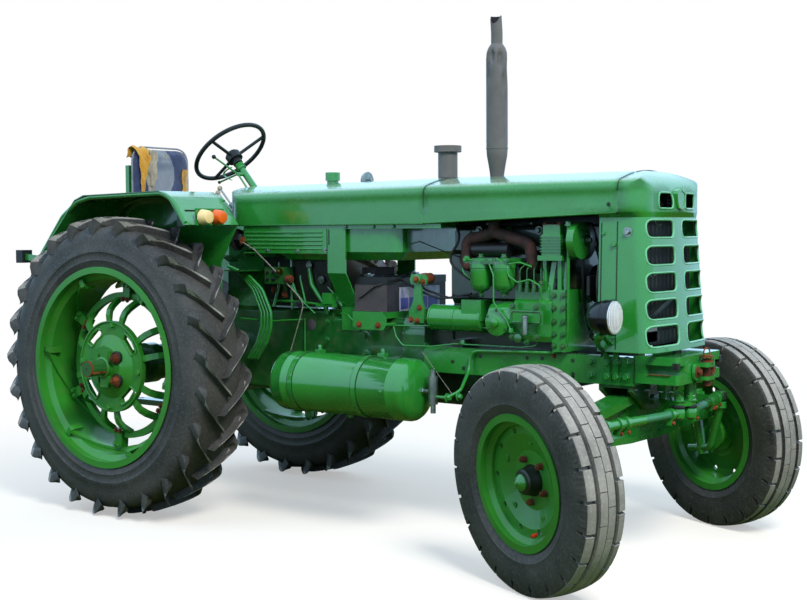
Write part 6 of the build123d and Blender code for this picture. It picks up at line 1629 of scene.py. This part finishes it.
def panel_fittings(shell, side, out):
    """Ribs pressed into one side panel, its edge fold, its bolts and the slot beside it, painted as a dark
    strip of shade.
    """
    for level in range(5):
        z = 1.437 - 0.0205 * level
        start, end = (0.47 + 0.004 * level, side * 0.286, z), (0.98, side * 0.286, z - 0.001)
        bar(shell, disc_outline(0.0058, 10), PAINT, start, end)
    edge, slot = side * 0.287, side * 0.2885
    bar(shell, bar_outline(0.006, 0.01), PAINT, (0.455, edge, 1.334), (1.0, edge, 1.334), out)
    for x, z in mm((620, 1345), (820, 1345), (1000, 1350), (1130, 1462), (1300, 1462), (1420, 1462)):
        bolts(shell, out, 0.013, BRIGHT if z < 1.4 else SHADED_GREEN, (x, side * 0.288, z))
    bar(shell, bar_outline(0.004, 0.004), DARK, (1.022, slot, 1.375), (1.022, slot, 1.45), out)


def rail_fittings(shell, side, out):
    """One rail's bolts, its holes and a notch painted as dark patches of shade, and its joint with the front
    casting.
    """
    places = mm((2428, 874), (2428, 815), (2510, 874), (2552, 876), (2601, 879), (2510, 813), (2552, 815),
                (2601, 817))
    bolts(shell, out, 0.026, PAINT, *((x, side * 0.2165, z) for x, z in places))
    places = mm((1704, 833), (1858, 867), (2107, 872), (2185, 874), (2339, 872), (2340, 814))
    discs(shell, HOLE_SHADE, out, 14, DARK, *((x, side * 0.216, z) for x, z in places))
    # painted shade: a dark patch for an opening in the rail
    slab(shell, DARK, (1.757, side * 0.214, 0.797), (1.773, side * 0.2172, 0.814))
    bolts(shell, out, 0.012, RUSTY, (2.246, side * 0.217, 0.887))
    joint, slit = side * 0.2185, side * 0.219
    bar(shell, bar_outline(0.003, 0.003), DARK, (2.635, joint, 0.793), (2.635, joint, 0.897), out)
    # painted shade: a black block that stands for the shade in the rail's notch
    slab(shell, DARK, (2.812, side * 0.20, 0.858), (2.836, side * 0.2245, 0.886))
    bar(shell, bar_outline(0.003, 0.006), RUSTY, (2.70, slit, 0.833), (2.8, slit, 0.833), out)


def mirror(shell):
    """A round mirror on a stem, on the far side of the cover."""
    foot = spot(0.86, 0.262, 1.655)
    pipe(shell, foot + np.array(mm((0, 0, 0), (0, 0, 50), (-10, 0, 62))), 0.004, 0.01, BRIGHT)
    face = foot + (-0.03, 0, 0.052)
    shell_line = mm((10, -22), (40, -14), (47, 0), (47, 6), (44, 8))
    turned(shell, shell_line, face, FORWARD, 36, BRIGHT)
    turned(shell, mm((44, 7.5), (1, 7.8)), face, FORWARD, 36, GLASS)
    clip = mm((6, 0, 0), (30, 0, 4), (36, 0, -20))
    pipe(shell, face + np.array(clip), 0.003, 0.006, BRIGHT, 8)


def sheet_metal():
    """Seams, latches, ribs, bolts and holes of the covers, panels and rails, and the mirror."""
    shell = Shell()
    for name in ("tank_cover", "engine_cover"):
        line = cover_line(name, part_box(name)[1].x)
        seam = line[line[:, 2] > 1.47] * (1, 1.0012, 1) + (0, 0, 0.0004)
        swept(shell, seam, bar_outline(0.0025, 0.0035), DARK, up=FORWARD)
    for _, side in sides:
        # lower flange of the covers
        for start, end, low, high in ((0.46, 1.598, 1.4735, 1.4735), (1.602, 2.59, 1.4765, 1.5125)):
            flange = ((start, side * 0.296, low), (end, side * 0.296, high))
            bar(shell, disc_outline(0.0045, 8), PAINT, *flange)
        for add in (cowl_fittings, panel_fittings, rail_fittings):
            add(shell, side, side * LEFT)
    duct = rounded(mm((-100, -50), (100, -50), (100, 60), (-100, 60), (-100, -50)), 0.02, 3)
    bar(shell, duct[:-1], DARK, (1.64, 0.1, 1.49), (2.56, 0.1, 1.51), UP)
    mirror(shell)
    # filler cap's knurled rim
    cap = mm((33.5, -34), (35, -32), (35, -4), (32.5, 0), (30, 0.8))
    discs(shell, cap, UP, 30, PAINT, (0.81, 0, 1.742))
    shell.make("cover_seams_ribs_and_bolts", coats("green grime zinc rust mirror cast_green"), "chassis")


# ---------------------------------------------------------------- steering linkage


def rod_fittings(name):
    """The sleeve, clamps, boots and nuts of one track rod."""
    low, high = (np.array(corner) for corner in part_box(name + "_track_rod"))
    pivot = joints[name + "_rod_pivot"]["pos_m"]
    level = 0.662
    inner = np.array((pivot[0], pivot[1], level))
    outer = np.append((low + high)[:2] - inner[:2], level)
    way = outer - inner
    length = np.linalg.norm(way)
    way /= length
    side = np.cross(way, UP)
    shell = Shell()

    def along(share):
        """A place on the rod at a share of its length."""
        return inner + way * length * share

    # the thinner part is painted bluish green, a painted reflection of the sky on it
    swept(shell, (along(0.10), along(0.45)), disc_outline(0.0178, 18), 3)
    swept(shell, (along(0.42), along(0.86)), disc_outline(0.0205, 18), 0)
    clamp = mm((17, -11), (27, -11), (27, 11), (17, 11))
    for share in (0.105, 0.62, 0.70, 0.84):
        middle = along(share)
        ring_of(shell, clamp, middle, way, 28, 0)
        ears = middle - 0.026 * UP
        block(shell, ears - (0.012, 0.012, 0.018), ears + (0.012, 0.012, 0.01), 0)
        ends = (ears - 0.022 * side - 0.008 * UP, ears + 0.022 * side - 0.008 * UP)
        swept(shell, ends, disc_outline(0.005), 1)
        for hand in (-1, 1):
            seat = ears + hand * 0.013 * side - 0.008 * UP
            bolt_head(shell, seat, hand * side, 0.015, mark=1, washer=False)
    nut = inner + 0.052 * UP
    for profile, place, steps, mark in (
        (mm((18, 0), (26, 3), (28.5, 10), (26, 17), (19, 22.5)), inner + 0.017 * UP, 28, 2),
        (mm((26, -20), (27.5, -12), (27.5, 8), (25, 17)), inner, 28, 0),
        (mm((16, -26), (20, -20), (24, -18)), inner, 24, 1),
        (mm((26, -17), (27.5, -10), (27.5, 12), (18, 21)), outer, 28, 2),
    ):
        turned(shell, profile, place, UP, steps, mark)
    bolt_head(shell, nut, UP, 0.034, 0.018, 0)
    turned(shell, mm((11, 16), (11, 30), (9, 32)), nut, UP, 14, 0)
    split_pin = (nut + 0.026 * UP - 0.02 * FORWARD, nut + 0.026 * UP + 0.02 * FORWARD)
    swept(shell, split_pin, disc_outline(0.002, 6), 1)
    shell.make(name + "_rod_clamps_and_boots", coats("green rust rubber slate_steel"), name + "_rod")


def tow_fittings():
    """The tow pin's ring, washers, chain and the root plates of its ears; bolts of the axle's hanger."""
    shell = Shell()
    pin = spot(2.865, 0, 0.9)
    ring = disc_outline(0.02, 28)
    loop = np.column_stack((pin[0] + 0.25 * ring[:, 0], pin[1] + ring[:, 0], pin[2] + 0.017 + ring[:, 1]))
    swept(shell, loop, disc_outline(0.0032, 8), 1, closed=True)
    for z, edge, mark in mm((898.5, 30, 1000), (874.5, 30, 0), (902.5, 26, 1000)):
        washer = ((0.012, 0), (edge, 0), (edge, 0.0025), (0.012, 0.0025))
        ring_of(shell, washer, (*pin[:2], z), UP, 30, mark)
    turn = np.linspace(0, 2 * np.pi, 12, endpoint=False)
    for index in range(7):
        middle = pin + (0.012, 0.03 + 0.004 * np.sin(index * 1.7), -0.012 - 0.0165 * index)
        across = np.array((np.cos(index * 1.57), np.sin(index * 1.57), 0))
        loop = middle + 0.0055 * np.cos(turn)[:, None] * across + 0.011 * np.sin(turn)[:, None] * UP
        swept(shell, loop, disc_outline(0.002, 6), 1, closed=True)
    corners = mm((-20, -34), (24, -34), (30, 0), (24, 34), (-20, 34), (-24, 0))
    outline = rounded((*corners, corners[0]), 0.016, 3)[:-1]
    for side in (-1, 1):
        root = spot(2.8395, side * 0.062, 0.838)
        plate(shell, outline, root, LEFT * side, UP, 0.014 * side, 0)
        bolt_head(shell, root + (0.014, side * 0.005, 0), FORWARD, 0.026, mark=1)
    hanger = mm((2700, 100), (2700, -100), (2580, 130), (2580, -130))
    bolts(shell, -UP, 0.028, 0, *((x, y, 0.7915) for x, y in hanger))
    shell.make("tow_ring_and_chain", coats("green rust"), "chassis")


# ---------------------------------------------------------------- seat


def pad(name, outline, origin, across, upward, thickness, materials, replaces, crown=0.012):
    """A crowned closed pad: its outline shrinks towards the middle of each face as the face rises.

    Sides pull in between the corners. Cloth under pressure then makes its folds. crown is how far
    the faces' middles rise, and it also caps how far the cloth may move a point."""
    outline = np.asarray(outline, float)
    steps = np.linalg.norm(np.roll(outline, -1, 0) - outline, axis=1)
    along = np.concatenate(((0,), np.cumsum(steps)))
    even = np.linspace(0, along[-1], 96, endpoint=False)
    ring = np.vstack((outline, outline[:1]))
    outline = np.stack([np.interp(even, along, ring[:, k]) for k in (0, 1)], 1)
    middle = outline.mean(0)
    half = thickness / 2
    bulge = ((0.04, 1), (0.2, 0.97), (0.4, 0.85), (0.6, 0.62), (0.78, 0.3))
    edge = ((0.9, 0.98), (0.96, 0.86), (0.99, 0.6), (1.0, 0.25))
    face = [(s, half + crown * part) for s, part in bulge] + [(s, half * part) for s, part in edge]
    levels = [(s, -h) for s, h in face] + [(s, h) for s, h in face[::-1]]
    through = np.cross(across, upward)
    # one ring of points for each share of the outline, from the underside's middle to the top's
    rows = []
    for share, height in levels:
        flat = middle + (outline - middle) * share
        rows.append(np.array(origin) + flat[:, 0:1] * across + flat[:, 1:2] * upward + height * through)
    shell = Shell()
    count = len(outline)
    ring = np.arange(count)
    last = (len(levels) - 1) * count + ring
    shell.add(np.concatenate(rows), grid_faces(len(levels), count), ring[::-1], last)
    piece = shell.make(name, materials, "chassis", replaces, 60)
    puffed(piece, crown)
    subdivide = piece.modifiers.new("smooth", "SUBSURF")
    subdivide.levels = subdivide.render_levels = 1
    return piece


def puffed(piece, swell, voxel=0.0065):
    """Remeshes a pad evenly, blows it up as cloth and keeps each point within swell of its start."""
    scene = bpy.context.scene
    even = piece.modifiers.new("even", "REMESH")
    even.mode, even.voxel_size, even.use_smooth_shade = "VOXEL", voxel, True
    piece.data = bpy.data.meshes.new_from_object(piece.evaluated_get(bpy.context.evaluated_depsgraph_get()))
    piece.modifiers.remove(even)
    count = len(piece.data.vertices)
    start = np.empty(count * 3, np.float32)
    piece.data.vertices.foreach_get("co", start)
    cloth = piece.modifiers.new("cloth", "CLOTH")
    cloth.settings.quality = 5
    cloth.settings.use_pressure = True
    cloth.settings.uniform_pressure_force = 4.0
    cloth.settings.effector_weights.gravity = 0.0
    cloth.point_cache.frame_start, cloth.point_cache.frame_end = 1, 20
    for step in range(1, 21):
        scene.frame_set(step)
    blown = piece.evaluated_get(bpy.context.evaluated_depsgraph_get())
    end = np.empty(count * 3, np.float32)
    blown.data.vertices.foreach_get("co", end)
    piece.modifiers.remove(cloth)
    scene.frame_set(1)
    move = (end - start).reshape(-1, 3)
    move -= move.mean(0)
    reach = np.linalg.norm(move, axis=1, keepdims=True)
    move *= np.minimum(1, swell / np.maximum(reach, 1e-9))
    piece.data.vertices.foreach_set("co", (start.reshape(-1, 3) + move).ravel())
    piece.data.update()


def mark_faces(piece, rule):
    """Sets each face's material from a rule on the face's middle."""
    faces = piece.data.polygons
    middles = np.empty(len(faces) * 3, np.float32)
    faces.foreach_get("center", middles)
    faces.foreach_set("material_index", rule(middles.reshape(-1, 3)).astype(np.int32))
    piece.data.update()


def draped(name, rows, columns, surface, finish):
    """A sheet of cloth from a surface of (down, across), given a little thickness."""
    down, over = np.meshgrid(np.linspace(0, 1, rows), np.linspace(0, 1, columns), indexing="ij")
    points = np.stack(surface(down, over), -1)
    shell = Shell()
    shell.add(points, grid_faces(rows, columns, close_columns=False))
    piece = shell.make(name, [finish], "chassis", crease=80)
    thick = piece.modifiers.new("cloth thickness", "SOLIDIFY")
    thick.thickness, thick.offset = 0.0025, 0.0
    return piece


def back_panels(place, middle_x):
    """The back pad's materials: a grey stripe, an ochre patch, a dark tear and a pale edge."""
    x, y, z = place.T
    front = x > middle_x - 0.02
    mark = np.zeros(len(place))
    mark[front & (y > -0.13) & (y < 0.015 + 0.05 * np.sin((z - 1.6) * 9) ** 2)] = 1
    mark[(y > 0.125) & (z > 1.63 - 0.4 * (y - 0.2)) & (z < 1.80) & front] = 2
    mark[front & (np.abs(y - 0.118 - 0.01 * np.sin(z * 60)) < 0.007) & (z < 1.80)] = 4
    mark[front & (y < -0.07) & (y > -0.16) & (z > 1.70 + 0.04 * np.sin(y * 70))] = 3
    return mark


def round_corners(low, high, radius, steps):
    """A closed outline: a rectangle between two corners with round corners, without its end."""
    corners = [(low[0], low[1]), (high[0], low[1]), (high[0], high[1]), (low[0], high[1])]
    return rounded(np.array(corners + corners[:2]), radius, steps)[1:-2]


def seat_rags():
    """The ochre cloth and the torn strip that hang over the seat's back."""
    low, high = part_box("seat_back")
    middle_x = (low.x + high.x) / 2
    front = middle_x + 0.043

    def bunch(down, over):
        """Ochre cloth from behind, over the top edge and down the front, in ever narrower folds."""
        arc = np.clip(down * 1.9 - 0.25, 0, 1)
        z = np.where(down < 0.16, 1.86 + 0.4 * down, 1.925 - 0.36 * (down - 0.16) / 0.84)
        depths = (low.x - 0.006, low.x - 0.002, middle_x + 0.02, front + 0.002, front + 0.004)
        x = np.interp(down, (0, 0.13, 0.2, 0.3, 1.0), depths)
        left, right = -0.212 + 0.03 * down, -0.095 - 0.075 * arc
        y = left + (right - left) * over
        folds = 0.011 * (0.4 + 0.6 * arc) * np.sin(over * 15 + 2.5 * np.sin(down * 5))
        folds = folds + 0.004 * np.sin(down * 26 + over * 9)
        return x + np.abs(folds) + 0.001, y, z + 0.006 * np.sin(over * 11) * (1 - down)

    def scrap(down, over):
        """A torn pale strip beside the ochre cloth."""
        z = 1.9 - 0.2 * down + 0.008 * np.sin(over * 17)
        left = -0.128 + 0.012 * np.sin(down * 9)
        y = left + (0.062 - 0.035 * down) * over
        return front + 0.001 + 0.006 * np.abs(np.sin(over * 6 + down * 4)), y, z

    draped("ochre_cloth_over_seat_back", 44, 30, bunch, finishes["ochre"])
    draped("torn_lining_strip", 26, 14, scrap, finishes["pale"])


def seat_pads():
    """The seat's cushion and back with their panels and piping."""
    cloths = coats("navy grey_blue ochre pale grime")
    low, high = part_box("seat_back")
    middle_x = (low.x + high.x) / 2
    outline = round_corners((-0.213, 1.53), (0.213, 1.921), 0.095, 10)
    back = pad("seat_back_pad", outline, (middle_x, 0, 0), LEFT, UP, 0.05, cloths, ["seat_back"])
    mark_faces(back, lambda place: back_panels(place, middle_x))
    shell = Shell()
    z = np.linspace(1.89, 1.6, 16)
    x = middle_x + 0.036 + 0.003 * np.sin(np.linspace(0, np.pi, 16))
    y = np.interp(z, (1.6, 1.66, 1.75, 1.89), (-0.05, -0.005, 0.035, 0.01))
    swept(shell, np.column_stack((x, y, z)), disc_outline(0.0045, 8), 3)
    rim = np.column_stack((np.full(len(outline), middle_x), outline))
    swept(shell, rim, disc_outline(0.005, 8), 1, closed=True)
    low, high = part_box("seat_cushion")
    outline = round_corners((low.x + 0.012, -0.198), (high.x - 0.012, 0.198), 0.06, 8)
    level = (low.z + high.z) / 2 - 0.006
    cushion = pad("seat_cushion_pad", outline, (0, 0, level), FORWARD, LEFT, 0.064, cloths, ["seat_cushion"])
    mark_faces(cushion, lambda place: (np.abs(place[:, 1] - 0.01) < 0.1) & (place[:, 2] > low.z + 0.05))
    rim = np.column_stack((outline, np.full(len(outline), level)))
    swept(shell, rim, disc_outline(0.005, 8), 1, closed=True)
    shell.make("seat_piping", cloths, "chassis")


# ---------------------------------------------------------------- add-on


class StageSettings(bpy.types.PropertyGroup):
    """Camera and lamps."""

    lens: bpy.props.FloatProperty(
        name="Lens", description="Focal length on a 36 mm sensor", default=58.64, unit="CAMERA"
    )
    aim: bpy.props.FloatVectorProperty(
        name="Aim", description="Azimuth, downward pitch and roll in degrees", default=(36.7, 3.01, 0.33)
    )
    place: bpy.props.FloatVectorProperty(
        name="Place", description="Where the camera stands", default=(4.0632, -5.2307, 1.4405),
        subtype="TRANSLATION",
    )
    key: bpy.props.FloatProperty(
        name="Key lamp", description="Power of the lamp on the sunny side", default=820.0, unit="POWER"
    )
    fill: bpy.props.FloatProperty(
        name="Fill lamps", description="Power of the soft lamps", default=150.0, unit="POWER"
    )


class TyreSettings(bpy.types.PropertyGroup):
    """Tread of the tyres."""

    rear_lugs: bpy.props.IntProperty(
        name="Rear bars", description="Bars in each row", default=25, min=12, max=40
    )
    lug_height: bpy.props.FloatProperty(
        name="Bar height", description="Height of the rear tread bars", default=0.038, unit="LENGTH"
    )
    front_blocks: bpy.props.IntProperty(
        name="Front blocks", description="Shoulder blocks on each side", default=22, min=12, max=40
    )
    front_radius: bpy.props.FloatProperty(
        name="Front radius", description="Outer radius of the front tyres", default=0.4568, unit="LENGTH"
    )


class PaintSettings(bpy.types.PropertyGroup):
    """Colours of the enamel, as sRGB hex values."""

    body: bpy.props.StringProperty(name="Body", description="Main green of the enamel", default="23802f")
    shade: bpy.props.StringProperty(name="Shade", description="Darker patches", default="1e7026")
    sun: bpy.props.StringProperty(name="Sun-faded", description="Faded patches", default="318f42")


class TRACTOR_OT_stage(bpy.types.Operator):
    """Makes the camera, lamps, sky and floor"""

    bl_idname = "tractor.stage"
    bl_label = "Stage"

    def execute(self, context):
        make_stage(context.scene.tractor_stage)
        return {"FINISHED"}


class TRACTOR_OT_finishes(bpy.types.Operator):
    """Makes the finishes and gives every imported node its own"""

    bl_idname = "tractor.finishes"
    bl_label = "Finishes"

    def execute(self, context):
        paint = context.scene.tractor_paint
        make_finishes((paint.body, paint.shade, paint.sun))
        finish_nodes()
        return {"FINISHED"}


class TRACTOR_OT_tyres(bpy.types.Operator):
    """Makes the four tyres with their treads"""

    bl_idname = "tractor.tyres"
    bl_label = "Tyres"

    def execute(self, context):
        for name, _ in sides:
            rear_tyre(name, context.scene.tractor_tyres)
            front_tyre(name, context.scene.tractor_tyres)
        return {"FINISHED"}


class TRACTOR_OT_wheel_fittings(bpy.types.Operator):
    """Makes the rails, clamps, bolts and hubs of the four wheels"""

    bl_idname = "tractor.wheel_fittings"
    bl_label = "Wheel fittings"

    def execute(self, context):
        for name, _ in sides:
            rear_wheel_fittings(name)
            front_wheel_fittings(name)
        return {"FINISHED"}


class TRACTOR_OT_nose(bpy.types.Operator):
    """Makes the edges of the grille, the blank badge and the lamps"""

    bl_idname = "tractor.nose"
    bl_label = "Nose and lamps"

    def execute(self, context):
        nose_trim()
        headlamp()
        marker_lamps()
        return {"FINISHED"}


class TRACTOR_OT_cab(bpy.types.Operator):
    """Makes the levers and the fenders' edges"""

    bl_idname = "tractor.cab"
    bl_label = "Levers and fender edges"

    def execute(self, context):
        lever_set()
        fender_edges()
        return {"FINISHED"}


class TRACTOR_OT_engine(bpy.types.Operator):
    """Makes the pipes, cables and small fittings of the engine bay"""

    bl_idname = "tractor.engine"
    bl_label = "Engine fittings"

    def execute(self, context):
        pipes_and_cables()
        engine_fittings()
        return {"FINISHED"}


class TRACTOR_OT_metal(bpy.types.Operator):
    """Makes the air tank, the exhaust stack and the seams, ribs and bolts of the sheet metal"""

    bl_idname = "tractor.metal"
    bl_label = "Sheet metal"

    def execute(self, context):
        air_tank_and_straps()
        dented_stack()
        sheet_metal()
        return {"FINISHED"}


class TRACTOR_OT_linkage(bpy.types.Operator):
    """Makes the fittings of the track rods and the tow pin"""

    bl_idname = "tractor.linkage"
    bl_label = "Steering and tow fittings"

    def execute(self, context):
        for name, _ in sides:
            rod_fittings(name)
        tow_fittings()
        return {"FINISHED"}


class TRACTOR_OT_seat(bpy.types.Operator):
    """Makes the seat's pads and the cloth on them"""

    bl_idname = "tractor.seat"
    bl_label = "Seat"

    def execute(self, context):
        seat_pads()
        seat_rags()
        return {"FINISHED"}


OPERATORS = (
    TRACTOR_OT_stage,
    TRACTOR_OT_finishes,
    TRACTOR_OT_tyres,
    TRACTOR_OT_wheel_fittings,
    TRACTOR_OT_nose,
    TRACTOR_OT_cab,
    TRACTOR_OT_engine,
    TRACTOR_OT_metal,
    TRACTOR_OT_linkage,
    TRACTOR_OT_seat,
)


class TRACTOR_PT_panel(bpy.types.Panel):
    """Lists the tractor's settings and the operators that make its pieces"""

    bl_label = "Tractor"
    bl_idname = "TRACTOR_PT_panel"
    bl_space_type = "VIEW_3D"
    bl_region_type = "UI"
    bl_category = "Tractor"

    def draw(self, context):
        for group_name, group in SETTINGS:
            for name in group.__annotations__:
                self.layout.prop(getattr(context.scene, group_name), name)
        for operator in OPERATORS:
            self.layout.operator(operator.bl_idname)


SETTINGS = (
    ("tractor_stage", StageSettings),
    ("tractor_tyres", TyreSettings),
    ("tractor_paint", PaintSettings),
)


def register():
    """Registers the settings, the operators and the panel."""
    for name, group in SETTINGS:
        bpy.utils.register_class(group)
        setattr(bpy.types.Scene, name, bpy.props.PointerProperty(type=group))
    for made in (*OPERATORS, TRACTOR_PT_panel):
        bpy.utils.register_class(made)


def unregister():
    """Takes away what register added."""
    for made in (TRACTOR_PT_panel, *OPERATORS[::-1]):
        bpy.utils.unregister_class(made)
    for name, group in SETTINGS[::-1]:
        delattr(bpy.types.Scene, name)
        bpy.utils.unregister_class(group)


def main():
    """Registers the add-on and makes every piece in order."""
    register()
    for operator in OPERATORS:
        group, action = operator.bl_idname.split(".")
        getattr(getattr(bpy.ops, group), action)()


if __name__ == "__main__":
    main()
